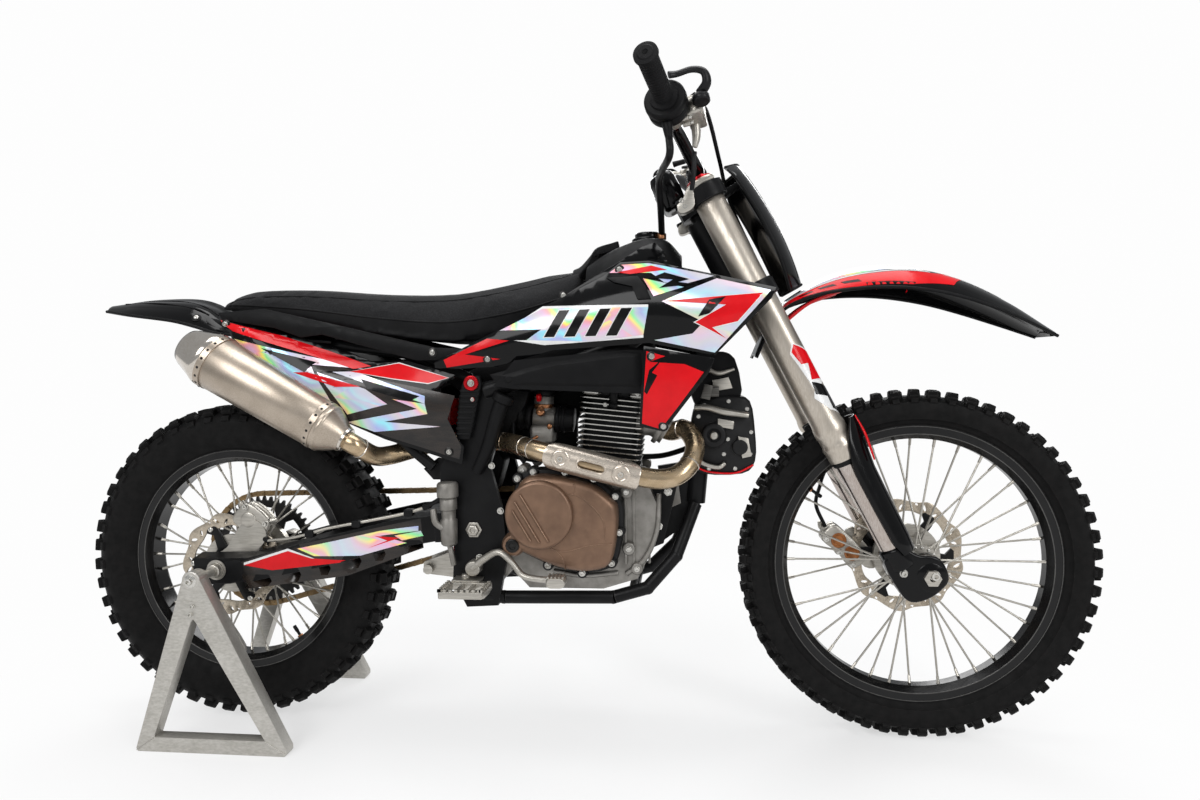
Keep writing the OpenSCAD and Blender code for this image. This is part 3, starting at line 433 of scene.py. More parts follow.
def floor_finish():
    """White to the camera and in reflections, apart from the soft shadow of the bike."""
    made = bpy.data.materials.new("floor")
    made.use_nodes = True
    nodes, link = made.node_tree.nodes, made.node_tree.links.new
    nodes.clear()
    out = nodes.new("ShaderNodeOutputMaterial")
    paper = nodes.new("ShaderNodeBsdfDiffuse")
    paper.inputs["Color"].default_value = (0.8, 0.8, 0.8, 1)
    glow = nodes.new("ShaderNodeEmission")
    glow.inputs["Color"].default_value = (0.985, 0.985, 0.985, 1)
    glow.inputs["Strength"].default_value = 1
    both = nodes.new("ShaderNodeMixShader")
    path = nodes.new("ShaderNodeLightPath")
    near = nodes.new("ShaderNodeTexCoord")
    length = nodes.new("ShaderNodeVectorMath")
    length.operation = "LENGTH"
    fade = nodes.new("ShaderNodeMapRange")
    fade.interpolation_type = "SMOOTHSTEP"
    fade.inputs["From Min"].default_value = 0.3
    fade.inputs["From Max"].default_value = 1.45
    fade.inputs["To Min"].default_value = 0.5
    fade.inputs["To Max"].default_value = 1.0
    seen = nodes.new("ShaderNodeMath")
    seen.operation = "ADD"
    seen.use_clamp = True
    share = nodes.new("ShaderNodeMath")
    share.operation = "MULTIPLY"
    link(near.outputs["Object"], length.inputs[0])
    link(length.outputs["Value"], fade.inputs["Value"])
    link(path.outputs["Is Camera Ray"], seen.inputs[0])
    link(path.outputs["Is Glossy Ray"], seen.inputs[1])
    link(seen.outputs[0], share.inputs[0])
    link(fade.outputs[0], share.inputs[1])
    link(share.outputs[0], both.inputs["Fac"])
    link(paper.outputs[0], both.inputs[1])
    link(glow.outputs[0], both.inputs[2])
    link(both.outputs[0], out.inputs["Surface"])
    return made


def studio():
    edge = 12.0
    data = bpy.data.meshes.new("floor")
    data.from_pydata([(-edge, -edge, 0), (edge, -edge, 0), (edge, edge, 0), (-edge, edge, 0)], [],
                     [(0, 1, 2, 3)])
    floor = bpy.data.objects.new("floor", data)
    bpy.context.collection.objects.link(floor)
    data.materials.append(floor_finish())

    world = bpy.data.worlds.new("studio")
    bpy.context.scene.world = world
    world.use_nodes = True
    nodes, link = world.node_tree.nodes, world.node_tree.links.new
    nodes.clear()
    out = nodes.new("ShaderNodeOutputWorld")
    plain = nodes.new("ShaderNodeBackground")
    plain.inputs["Color"].default_value = (0.96, 0.98, 1.0, 1)
    plain.inputs["Strength"].default_value = 0.42
    white = nodes.new("ShaderNodeBackground")
    white.inputs["Color"].default_value = (0.985, 0.985, 0.985, 1)
    white.inputs["Strength"].default_value = 1
    both = nodes.new("ShaderNodeMixShader")
    path = nodes.new("ShaderNodeLightPath")
    link(path.outputs["Is Camera Ray"], both.inputs["Fac"])
    link(plain.outputs[0], both.inputs[1])
    link(white.outputs[0], both.inputs[2])
    link(both.outputs[0], out.inputs["Surface"])

    for name, place, aim, size, power in (
            ("key", (-1.6, -3.2, 3.0), (0.0, 0.0, 0.5), (2.6, 1.8), 85),
            ("strip", (2.6, -2.6, 2.2), (0.3, 0.0, 0.6), (0.9, 2.6), 55),
            ("top", (0.0, 0.2, 3.6), (0.0, 0.0, 0.6), (3.4, 1.6), 75),
            ("back", (0.4, 3.4, 2.4), (0.0, 0.0, 0.6), (3.0, 1.4), 70)):
        lamp = bpy.data.lights.new(name, "AREA")
        lamp.shape = "RECTANGLE"
        lamp.size, lamp.size_y = size
        lamp.energy = power
        obj = bpy.data.objects.new(name, lamp)
        bpy.context.collection.objects.link(obj)
        obj.location = place
        obj.rotation_mode = "QUATERNION"
        obj.rotation_quaternion = (Vector(aim) - Vector(place)).to_track_quat("-Z", "Y")


studio()

# ---------------------------------------------------------------- finishes


def tone(r, g, b):
    """A colour from its 0 to 255 values."""
    return tuple(v / 255 / 12.92 if v <= 10 else ((v / 255 + 0.055) / 1.055) ** 2.4
                 for v in (r, g, b)) + (1,)


class Effect:
    """A shader node group while it is drawn up."""

    def __init__(self, name, sockets, results):
        self.tree = bpy.data.node_groups.new(name, "ShaderNodeTree")
        for label, kind, value in sockets:
            made = self.tree.interface.new_socket(label, in_out="INPUT", socket_type="NodeSocket" + kind)
            made.default_value = value
        for label, kind in results:
            self.tree.interface.new_socket(label, in_out="OUTPUT", socket_type="NodeSocket" + kind)
        self.given = self.tree.nodes.new("NodeGroupInput")
        self.out = self.tree.nodes.new("NodeGroupOutput")
        self.where = self.tree.nodes.new("ShaderNodeTexCoord").outputs["Object"]

    def link(self, a, b):
        self.tree.links.new(a, b)

    def feed(self, socket, value):
        if isinstance(value, (int, float, tuple)):
            socket.default_value = value
        else:
            self.link(value, socket)

    def noise(self, scale, detail=3.0, where=None, rough=0.55):
        node = self.tree.nodes.new("ShaderNodeTexNoise")
        self.link(where or self.where, node.inputs["Vector"])
        self.feed(node.inputs["Scale"], scale)
        node.inputs["Detail"].default_value = detail
        node.inputs["Roughness"].default_value = rough
        return node.outputs["Fac"]

    def spread(self, value, low, high, to_low=0.0, to_high=1.0):
        node = self.tree.nodes.new("ShaderNodeMapRange")
        self.link(value, node.inputs["Value"])
        for label, v in (("From Min", low), ("From Max", high), ("To Min", to_low), ("To Max", to_high)):
            self.feed(node.inputs[label], v)
        return node.outputs[0]

    def math(self, kind, a, b=0.0):
        node = self.tree.nodes.new("ShaderNodeMath")
        node.operation = kind
        self.feed(node.inputs[0], a)
        self.feed(node.inputs[1], b)
        return node.outputs[0]

    def mix(self, fac, a, b):
        node = self.tree.nodes.new("ShaderNodeMix")
        node.data_type = "RGBA"
        self.feed(node.inputs[0], fac)
        self.feed(node.inputs[6], a)
        self.feed(node.inputs[7], b)
        return node.outputs[2]

    def stretched(self, scale):
        node = self.tree.nodes.new("ShaderNodeVectorMath")
        node.operation = "MULTIPLY"
        self.link(self.where, node.inputs[0])
        self.feed(node.inputs[1], scale)
        return node.outputs[0]

    def bump(self, height, strength, reach=0.0004, under=None):
        node = self.tree.nodes.new("ShaderNodeBump")
        node.inputs["Distance"].default_value = reach
        self.feed(node.inputs["Strength"], strength)
        self.link(height, node.inputs["Height"])
        if under:
            self.link(under, node.inputs["Normal"])
        return node.outputs[0]

    def ramp(self, value, stops):
        node = self.tree.nodes.new("ShaderNodeValToRGB")
        self.link(value, node.inputs[0])
        parts = node.color_ramp.elements
        while len(parts) < len(stops):
            parts.new(0.5)
        for part, (at, colour) in zip(parts, stops):
            part.position = at
            part.color = colour
        return node.outputs[0]

    def give(self, **values):
        for label, value in values.items():
            self.link(value, self.out.inputs[label])
        return self.tree


RESULTS = [("Colour", "Color"), ("Roughness", "Float"), ("Normal", "Vector")]
BASICS = [("Colour", "Color", (0.5, 0.5, 0.5, 1)), ("Other", "Color", (0.4, 0.4, 0.4, 1)),
          ("Rough low", "Float", 0.3), ("Rough high", "Float", 0.5)]


def moulded_effect(worn_edges):
    """Paint, rubber and cast metal: soft patches of tone and a fine grain, with or without worn edges."""
    e = Effect("worn" if worn_edges else "moulded", BASICS + [
        ("Patches", "Float", 30.0), ("Grain", "Float", 2500.0), ("Depth", "Float", 0.15)] + worn_edges * [
        ("Edge", "Color", (0.5, 0.5, 0.5, 1)), ("Wear", "Float", 0.3)], RESULTS)
    given = e.given.outputs
    patches = e.noise(given["Patches"], 4)
    grain = e.noise(given["Grain"], 2)
    colour = e.mix(e.spread(patches, 0.35, 0.65), given["Colour"], given["Other"])
    rough = e.spread(e.noise(45.0, 3), 0.35, 0.68, given["Rough low"], given["Rough high"])
    if worn_edges:
        round_off = e.tree.nodes.new("ShaderNodeBevel")
        round_off.samples = 3
        round_off.inputs["Radius"].default_value = 0.0012
        shape = e.tree.nodes.new("ShaderNodeNewGeometry")
        bent = e.tree.nodes.new("ShaderNodeVectorMath")
        bent.operation = "DOT_PRODUCT"
        e.link(round_off.outputs[0], bent.inputs[0])
        e.link(shape.outputs["Normal"], bent.inputs[1])
        worn = e.spread(bent.outputs["Value"], 0.985, 0.9)
        broken = e.spread(e.noise(160.0, 3), 0.38, 0.62)
        worn = e.math("MULTIPLY", e.math("MULTIPLY", worn, broken), given["Wear"])
        colour = e.mix(worn, colour, given["Edge"])
    return e.give(Colour=colour, Roughness=rough, Normal=e.bump(grain, given["Depth"]))


def brushed_effect():
    """Metal with fine lines along the direction in which the stretch is smallest."""
    e = Effect("brushed", BASICS + [("Stretch", "Vector", (40.0, 600.0, 600.0)),
                                    ("Depth", "Float", 0.1)], RESULTS)
    given = e.given.outputs
    place = e.stretched(given["Stretch"])
    lines = e.noise(1.0, 3, place)
    soft = e.noise(22.0, 3)
    both = e.math("ADD", e.math("MULTIPLY", lines, 0.6), e.math("MULTIPLY", soft, 0.4))
    colour = e.mix(e.spread(both, 0.36, 0.64), given["Colour"], given["Other"])
    rough = e.spread(lines, 0.3, 0.7, given["Rough low"], given["Rough high"])
    return e.give(Colour=colour, Roughness=rough, Normal=e.bump(lines, given["Depth"], 0.0002))


def gripper_effect():
    """Seat cloth: fine ribbed bumps in rows over a charcoal weave."""
    e = Effect("gripper", BASICS, RESULTS)
    given = e.given.outputs
    cells = e.tree.nodes.new("ShaderNodeTexVoronoi")
    cells.inputs["Scale"].default_value = 420.0
    e.link(e.where, cells.inputs["Vector"])
    weave = e.noise(900.0, 3, e.stretched((1.0, 0.35, 1.0)))
    dust = e.spread(e.noise(9.0, 4), 0.35, 0.7)
    raised = e.spread(cells.outputs["Distance"], 0.0, 0.55, 1.0, 0.0)
    colour = e.mix(e.math("MULTIPLY", raised, e.spread(dust, 0.0, 1.0, 0.5, 1.0)), given["Colour"],
                   given["Other"])
    rough = e.spread(weave, 0.3, 0.7, given["Rough low"], given["Rough high"])
    under = e.bump(weave, 0.25, 0.0003)
    return e.give(Colour=colour, Roughness=rough, Normal=e.bump(raised, 0.5, 0.0006, under))


def rainbow_effect():
    """Holographic film: facets that turn slowly through pale cyan, lilac, pink, yellow and green."""
    e = Effect("rainbow", BASICS, RESULTS)
    given = e.given.outputs
    warp = e.noise(5.0, 2, e.stretched((1.0, 0.2, 1.0)))
    facets = e.tree.nodes.new("ShaderNodeTexVoronoi")
    facets.inputs["Scale"].default_value = 11.0
    e.link(e.stretched((0.7, 0.1, 1.8)), facets.inputs["Vector"])
    shade = e.tree.nodes.new("ShaderNodeSeparateColor")
    e.link(facets.outputs["Color"], shade.inputs[0])
    split = e.tree.nodes.new("ShaderNodeSeparateXYZ")
    e.link(e.where, split.inputs[0])
    run = e.math("ADD", e.math("MULTIPLY", split.outputs["X"], 5.2),
                 e.math("MULTIPLY", split.outputs["Z"], 9.0))
    run = e.math("ADD", run, e.math("MULTIPLY", warp, 3.0))
    run = e.math("ADD", run, e.math("MULTIPLY", shade.outputs["Red"], 0.35))
    turn = e.math("FRACT", run)
    film = e.ramp(turn, [(0.0, tone(150, 226, 240)), (0.14, tone(186, 190, 226)),
                         (0.28, tone(205, 200, 205)),
                         (0.40, tone(226, 178, 214)), (0.50, tone(244, 168, 168)),
                         (0.58, tone(250, 232, 110)),
                         (0.68, tone(140, 236, 160)), (0.78, tone(190, 204, 214)),
                         (0.90, tone(168, 176, 226)), (1.0, tone(150, 226, 240))])
    calm = e.spread(e.noise(8.0, 2, e.stretched((1.0, 0.2, 1.0))), 0.4, 0.62, 0.0, 0.8)
    colour = e.mix(calm, film, given["Colour"])
    rough = e.spread(e.noise(30.0, 2), 0.3, 0.7, given["Rough low"], given["Rough high"])
    return e.give(Colour=colour, Roughness=rough, Normal=e.bump(e.noise(60.0, 2), 0.03))


EFFECTS = {"moulded": moulded_effect(False), "worn": moulded_effect(True), "brushed": brushed_effect(),
           "gripper": gripper_effect(), "rainbow": rainbow_effect()}


def finish(name, effect, colour, other=None, rough=(0.3, 0.5), metal=0.0, coat=0.0, sheen=0.0,
           bright=0.5, **inputs):
    """A finish made of one effect. colour and other are its two tones."""
    made = bpy.data.materials.new(name)
    made.use_nodes = True
    nodes, link = made.node_tree.nodes, made.node_tree.links.new
    skin = nodes["Principled BSDF"]
    look_of = nodes.new("ShaderNodeGroup")
    look_of.node_tree = EFFECTS[effect]
    look_of.inputs["Colour"].default_value = tone(*colour)
    look_of.inputs["Other"].default_value = tone(*(other or [v * 0.8 for v in colour]))
    look_of.inputs["Rough low"].default_value, look_of.inputs["Rough high"].default_value = rough
    for label, value in inputs.items():
        look_of.inputs[label.replace("_", " ")].default_value = tone(*value) if label == "Edge" else value
    link(look_of.outputs["Colour"], skin.inputs["Base Color"])
    link(look_of.outputs["Roughness"], skin.inputs["Roughness"])
    link(look_of.outputs["Normal"], skin.inputs["Normal"])
    skin.inputs["Metallic"].default_value = metal
    skin.inputs["Specular IOR Level"].default_value = bright
    skin.inputs["Coat Weight"].default_value = coat
    skin.inputs["Coat Roughness"].default_value = 0.05
    skin.inputs["Sheen Weight"].default_value = sheen
    made.diffuse_color = tone(*colour)
    return made


frame_black = finish("frame black", "worn", (19, 19, 20), (14, 14, 15), (0.32, 0.46), bright=0.14,
                     Edge=(120, 120, 118), Wear=0.3, Grain=900.0, Depth=0.08)
gloss_black = finish("gloss black", "moulded", (8, 8, 9), (6, 6, 7), (0.1, 0.17), coat=0.08, bright=0.16,
                     Grain=500.0, Depth=0.015)
plastic_black = finish("moulded black", "moulded", (17, 17, 18), (13, 13, 14), (0.42, 0.56), bright=0.12,
                       Grain=2200.0, Depth=0.3)
engine_black = finish("engine black", "worn", (22, 22, 23), (15, 15, 16), (0.42, 0.6), metal=0.15,
                      bright=0.3, Grain=1500.0, Depth=0.35, Edge=(150, 148, 142), Wear=0.45)
engine_grey = finish("cast grey", "worn", (146, 143, 138), (118, 115, 110), (0.38, 0.58), metal=0.75,
                     Grain=1400.0, Depth=0.45, Edge=(205, 203, 198), Wear=0.5)
bronze = finish("bronze paint", "worn", (124, 97, 78), (106, 82, 66), (0.34, 0.46), metal=0.55,
                Grain=1600.0, Depth=0.12, Edge=(196, 170, 146), Wear=0.4)
spring_red = finish("spring red", "moulded", (196, 22, 24), (176, 16, 20), (0.2, 0.32), coat=0.4,
                    Depth=0.04)
alloy = finish("machined alloy", "brushed", (190, 186, 178), (160, 156, 148), (0.32, 0.48), metal=0.88)
bolt_silver = finish("bolt silver", "brushed", (216, 214, 209), (178, 176, 170), (0.16, 0.34), metal=0.95,
                     Stretch=(700.0, 700.0, 700.0))
dark_bolt = finish("dark bolt", "moulded", (44, 43, 42), (30, 29, 29), (0.25, 0.4), metal=0.8)
chain_gold = finish("chain steel", "worn", (150, 126, 92), (112, 92, 66), (0.3, 0.48), metal=0.9,
                    Depth=0.2, Edge=(210, 190, 150), Wear=0.5)
header_steel = finish("header steel", "brushed", (190, 170, 142), (164, 142, 112), (0.2, 0.34),
                      metal=0.95, Stretch=(30.0, 90.0, 60.0), Depth=0.02)
shield_steel = finish("shield steel", "brushed", (208, 198, 186), (190, 179, 166), (0.24, 0.36),
                      metal=0.9, Stretch=(120.0, 500.0, 500.0), Depth=0.03)
titanium = finish("brushed titanium", "brushed", (186, 174, 160), (160, 148, 134), (0.28, 0.42),
                  metal=0.92, Stretch=(420.0, 60.0, 900.0))
polished = finish("polished steel", "brushed", (214, 208, 200), (190, 182, 172), (0.08, 0.2), metal=0.97,
                  Stretch=(500.0, 500.0, 500.0), Depth=0.04)
seat_cloth = finish("gripper cloth", "gripper", (26, 26, 27), (48, 48, 50), (0.72, 0.9), sheen=0.08,
                    bright=0.1)
seat_side = finish("seat side vinyl", "moulded", (20, 20, 21), (15, 15, 16), (0.5, 0.62), bright=0.12,
                   Grain=1800.0, Depth=0.4)
stand_alloy = finish("stand aluminium", "brushed", (196, 193, 187), (172, 169, 162), (0.36, 0.52),
                     metal=0.75, Stretch=(120.0, 900.0, 300.0), Depth=0.12)
fork_titanium = finish("fork titanium", "brushed", (194, 186, 175), (176, 167, 155), (0.3, 0.42),
                       metal=0.85, Stretch=(500.0, 500.0, 50.0))
fork_leg = finish("stanchion chrome", "brushed", (190, 182, 176), (168, 156, 148), (0.12, 0.22),
                  metal=0.97, Stretch=(600.0, 600.0, 40.0), Depth=0.03)
grip_rubber = finish("grip rubber", "moulded", (16, 16, 17), (22, 22, 23), (0.55, 0.7), bright=0.12,
                     Grain=2600.0, Depth=0.4)
lever_black = finish("lever black", "worn", (20, 20, 22), (14, 14, 16), (0.3, 0.42), bright=0.2,
                     Edge=(150, 150, 150), Wear=0.4)
hose_black = finish("hose rubber", "moulded", (15, 15, 16), (20, 20, 21), (0.4, 0.52), bright=0.15,
                    Grain=1800.0, Depth=0.15)
tyre_black = finish("tyre rubber", "worn", (19, 18, 18), (12, 12, 12), (0.55, 0.75), bright=0.12,
                    Patches=70.0, Grain=1300.0, Depth=0.5, Edge=(64, 62, 60), Wear=0.5)
rim_black = finish("rim black", "worn", (11, 11, 12), (8, 8, 9), (0.14, 0.24), coat=0.08, bright=0.25,
                   Depth=0.03, Edge=(160, 160, 160), Wear=0.3)
# a lighter grey metal for thin rings along the black rims' edges: a painted highlight
rim_highlight_grey = finish("machined rim edge", "brushed", (96, 95, 93), (70, 69, 68), (0.25, 0.4), metal=0.7)
disc_steel = finish("disc steel", "brushed", (192, 182, 166), (166, 154, 138), (0.22, 0.38), metal=0.95,
                    Stretch=(260.0, 900.0, 260.0))
sprocket_black = finish("sprocket black", "worn", (34, 33, 33), (26, 25, 25), (0.36, 0.5), metal=0.5,
                        Edge=(170, 168, 160), Wear=0.6)
hub_black = finish("hub black", "worn", (15, 15, 16), (11, 11, 12), (0.3, 0.42), bright=0.2,
                   Edge=(150, 150, 148), Wear=0.3)
nipple_brass = finish("nipple metal", "brushed", (200, 196, 188), (168, 163, 154), (0.25, 0.4),
                      metal=0.92)
copper = finish("copper fitting", "brushed", (184, 130, 92), (150, 100, 68), (0.25, 0.4), metal=0.92)
red_paint = finish("sticker red", "moulded", (206, 12, 22), (194, 8, 18), (0.16, 0.26), coat=0.08,
                   bright=0.2, Grain=300.0, Depth=0.01)
white_film = finish("sticker white", "moulded", (222, 222, 221), (208, 208, 208), (0.2, 0.3), coat=0.1,
                    Depth=0.01)
black_film = finish("sticker black", "moulded", (8, 8, 9), (11, 11, 12), (0.14, 0.22), coat=0.08,
                    bright=0.16, Depth=0.01)
bronze_film = finish("sticker dark bronze", "brushed", (44, 36, 31), (14, 13, 13), (0.2, 0.32),
                     coat=0.2, bright=0.35, Stretch=(14.0, 4.0, 60.0), Depth=0.01)
holo_film = finish("holographic film", "rainbow", (206, 206, 214), (190, 190, 200), (0.16, 0.26),
                   metal=0.2, coat=0.2, bright=0.35)
red_anodised = finish("red anodised", "brushed", (200, 24, 34), (160, 14, 24), (0.2, 0.32), metal=0.8)
piston_orange = finish("brake piston coating", "moulded", (172, 112, 66), (140, 86, 48), (0.3, 0.45),
                       metal=0.7)
cooler_core = finish("cooler core", "brushed", (92, 90, 86), (58, 56, 54), (0.35, 0.5), metal=0.7,
                     Stretch=(40.0, 900.0, 900.0), Depth=0.3)

LOOK_OF_SLOT = {
    "frame_black": frame_black, "engine_grey": engine_grey, "engine_black": engine_black,
    "bronze": bronze,
    "plastic_black": plastic_black, "spring_red": spring_red, "alloy": alloy, "chain": chain_gold,
    "header": header_steel, "titanium": titanium, "seat_cover": seat_cloth, "gloss_black": gloss_black,
    "stand_alloy": stand_alloy, "fork_titanium": fork_titanium, "fork_leg": fork_leg,
    "grip_rubber": grip_rubber,
    "lever_black": lever_black, "hose_black": hose_black, "tyre_black": tyre_black,
    "rim_black": rim_black, "disc_steel": disc_steel, "sprocket_black": sprocket_black}
slot_of = {part["node"]: part["material_slot"] for part in frame["record"]["subparts"]}


def dress_nodes():
    """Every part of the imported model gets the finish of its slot."""
    for name, obj in frame["nodes"].items():
        for i, held in enumerate(obj.data.materials):
            wanted = LOOK_OF_SLOT.get(slot_of.get(name) or (held.name.split(".")[0] if held else ""))
            obj.data.materials[i] = wanted or frame_black


dress_nodes()

# ---------------------------------------------------------------- flat plates

def dense(outline, step):
    """An outline with points no further apart than step."""
    out = []
    for a, b in zip(outline, outline[1:] + outline[:1]):
        n = max(1, int(math.dist(a, b) / step))
        out += [(a[0] + (b[0] - a[0]) * k / n, a[1] + (b[1] - a[1]) * k / n) for k in range(n)]
    return out


def rounded(outline, steps=4):
    """A closed smooth outline through the given points."""
    n = len(outline)
    points = [Vector(p) for p in outline]
    return [tuple(bend(points[i - 1], points[i], points[(i + 1) % n], points[(i + 2) % n], k / steps))
            for i in range(n) for k in range(steps)]


def inside(p, outline):
    """True if a point lies within an outline."""
    odd = False
    for a, b in zip(outline, outline[1:] + outline[:1]):
        if (a[1] > p[1]) != (b[1] > p[1]) and p[0] < a[0] + (p[1] - a[1]) * (b[0] - a[0]) / (b[1] - a[1]):
            odd = not odd
    return odd


def cut_flat(outlines, grid=0.0):
    """Triangles over an outline with holes: points, faces and the loops of its edges."""
    points, edges, loops = [], [], []
    for outline in outlines:
        first, n = len(points), len(outline)
        points += [Vector(p) for p in outline]
        edges += [(first + i, first + (i + 1) % n) for i in range(n)]
        loops.append(list(range(first, first + n)))
    if grid:
        xs, zs = [p[0] for p in outlines[0]], [p[1] for p in outlines[0]]
        for i in range(int(min(xs) // grid), int(max(xs) // grid) + 1):
            for j in range(int(min(zs) // grid), int(max(zs) // grid) + 1):
                points.append(Vector(((i + 0.5 * (j % 2)) * grid, j * grid)))
    made = delaunay_2d_cdt(points, edges, [], 2, 1e-5)
    place_of = {}
    for new, old in enumerate(made[3]):
        for i in old:
            place_of[i] = new
    spans = [(min(p[0] for p in o), max(p[0] for p in o), min(p[1] for p in o), max(p[1] for p in o))
             for o in outlines]
    kept = []
    for face in made[2]:
        mid = sum((made[0][i] for i in face), Vector((0, 0))) / len(face)
        cuts = [inside(mid, o) for o, (x0, x1, z0, z1) in zip(outlines,
                spans) if x0 < mid[0] < x1 and z0 < mid[1] < z1]
        if cuts.count(True) == 1:
            kept.append(face)
    return made[0], kept, [[place_of[i] for i in loop] for loop in loops]


def plate_shape(shape, outlines, back, front, slot=0, grid=0.0):
    """A plate with holes between two skins, each a function from (x, z) to a point."""
    points, faces, loops = cut_flat(outlines, grid)
    used = sorted({i for f in faces for i in f})
    new = {old: i for i, old in enumerate(used)}
    n = len(used)
    skin = [back(*points[i]) for i in used] + [front(*points[i]) for i in used]
    sides = [[new[i] for i in f] for f in faces] + [[n + new[i] for i in reversed(f)] for f in faces]
    for loop in loops:
        for a, b in zip(loop, loop[1:] + loop[:1]):
            if a in new and b in new:
                sides.append([new[a], new[b], n + new[b], n + new[a]])
    return shape.add(skin, sides, slot)


def flat_plate(shape, outlines, y0, y1, place=bike, slot=0):
    return plate_shape(shape, outlines, lambda x, z: place(x, y0, z), lambda x, z: place(x, y1, z), slot)


def circle(r, sides=24, x=0.0, z=0.0):
    return [(x + r * math.cos(2 * math.pi * k / sides), z + r * math.sin(2 * math.pi * k / sides))
            for k in range(sides)]


# ---------------------------------------------------------------- small parts that repeat

def bolt_parts():
    """A cap screw, a button head, a rivet, a spoke nipple and a nut, 1 mm across, on the origin."""
    o = Vector()

    def made(name, profile, sides=20):
        return loose(Shape().lathe(profile, o, UP, sides), name)

    cap = made("cap screw", [(0, 0.62), (0.08, 0.62), (0.1, 0.5), (0.52, 0.5), (0.58, 0.45), (0.58, 0.27),
                             (0.26, 0.25), (0.26, 0)], 18)
    dome = made("button head", [(0, 0.5), (0.1, 0.5), (0.24, 0.4), (0.3, 0.25), (0.3, 0.2), (0.14, 0.18),
                                (0.14, 0)], 16)
    rivet = made("rivet", [(0, 0.5), (0.06, 0.5), (0.18, 0.36), (0.24, 0.16), (0.24, 0)], 12)
    nipple = made("nipple", [(-0.2, 0.5), (0.5, 0.5), (0.6, 0.42), (2.4, 0.4), (2.5, 0.3), (2.5, 0)], 8)
    nut = made("nut", [(0, 0.75), (0.08, 0.75), (0.1, 0.55), (0.5, 0.55), (0.56, 0.48), (0.56, 0.26),
                       (0.8, 0.26), (0.84, 0.2), (0.84, 0)], 6)
    return cap, dome, rivet, nipple, nut


CAP, DOME, RIVET, NIPPLE, NUT = bolt_parts()


def bolts(name, part, spots, facing, body, finish_of, hides=()):
    """spots are (place, size)."""
    return on_marks(name, part, [(p, facing, d) for p, d in spots], body, finish_of, 40, hides)


def drop(*parts):
    for part in parts:
        bpy.data.objects.remove(part)


# ---------------------------------------------------------------- wheels

def knob(shape, turn, y, r, tilt, wide, long, tall):
    """A tyre knob at an angle round the wheel, leaning out by tilt towards its side."""
    a, t = math.radians(turn), math.radians(tilt)
    side = 1 if y >= 0 else -1
    outward = Vector((math.sin(a), 0, math.cos(a)))
    along = Vector((math.cos(a), 0, -math.sin(a)))
    up = outward * math.cos(t) + SIDE * (side * math.sin(t))
    across = SIDE * math.cos(t) - outward * (side * math.sin(t))
    base = outward * r + SIDE * y
    rings = []
    for height, grow_by in ((-3, 2.0), (tall - 1.2, 0.3), (tall, -0.9)):
        w, l = wide / 2 + grow_by, long / 2 + grow_by
        rings.append([(base + up * height + along * (l * i) + across * (w * j)) * MM
                      for i, j in ((-1, -1), (1, -1), (1, 1), (-1, 1))])
    shape.rings(rings)


def tyre(name, body, centre, r, w, b, s, count, size):
    """A knobbly tyre of radius r and half width w on a rim of radius b and half width s."""
    deep = r - b
    crown = r - 13.5
    half = [(s - 1, b + 0.5), (s + 2, b + 4), (s + 2, b + 13), (s + 6, b + 17), (s + 7, b + 20),
            (0.82 * w, b + 0.3 * deep), (0.83 * w, b + 0.33 * deep), (0.93 * w, b + 0.44 * deep),
            (0.965 * w, b + 0.58 * deep), (0.93 * w, b + 0.7 * deep), (0.8 * w, crown - 8),
            (0.55 * w, crown - 2), (0.25 * w, crown)]
    inside = [(0.5 * w, crown - 9), (0.8 * w, b + 0.6 * deep), (0.72 * w, b + 0.3 * deep), (s - 4, b + 8),
              (s - 5, b + 1)]
    profile = half + [(-y, q) for y, q in reversed(half)] + [(-y, q)
            for y, q in reversed(inside)] + inside
    Shape().lathe(profile, centre, SIDE, 120, loop=True).piece(
        name + "_casing", body, tyre_black, "tyre_black", sharp=40, hides=[name])

    step = 360 / count
    tread = Shape()
    for half_step in (0, 1):
        turn = half_step * step / 2
        wobble = 0.6 if half_step else 0
        for side in (-1, 1):
            knob(tread, turn + side * step / 8, side * (0.68 * w - wobble), crown - 5, 38, 0.27 * w,
                 size, 13)
            knob(tread, turn + side * step / 8, side * 0.885 * w, b + 0.73 * deep, 66, 0.2 * w,
                 0.8 * size, 4.2)
            if half_step:
                knob(tread, turn, side * 0.4 * w, crown - 1.6, 15, 0.25 * w, 0.85 * size, 12.5)
            else:
                knob(tread, turn, side * 0.2 * w, crown, 2, 0.26 * w, 0.8 * size, 12.3)
        if half_step:
            knob(tread, turn, 0, crown, 0, 0.34 * w, 0.7 * size, 12.6)
    round_wheel(name + "_knobs", tread, count, centre, body, tyre_black, 30)


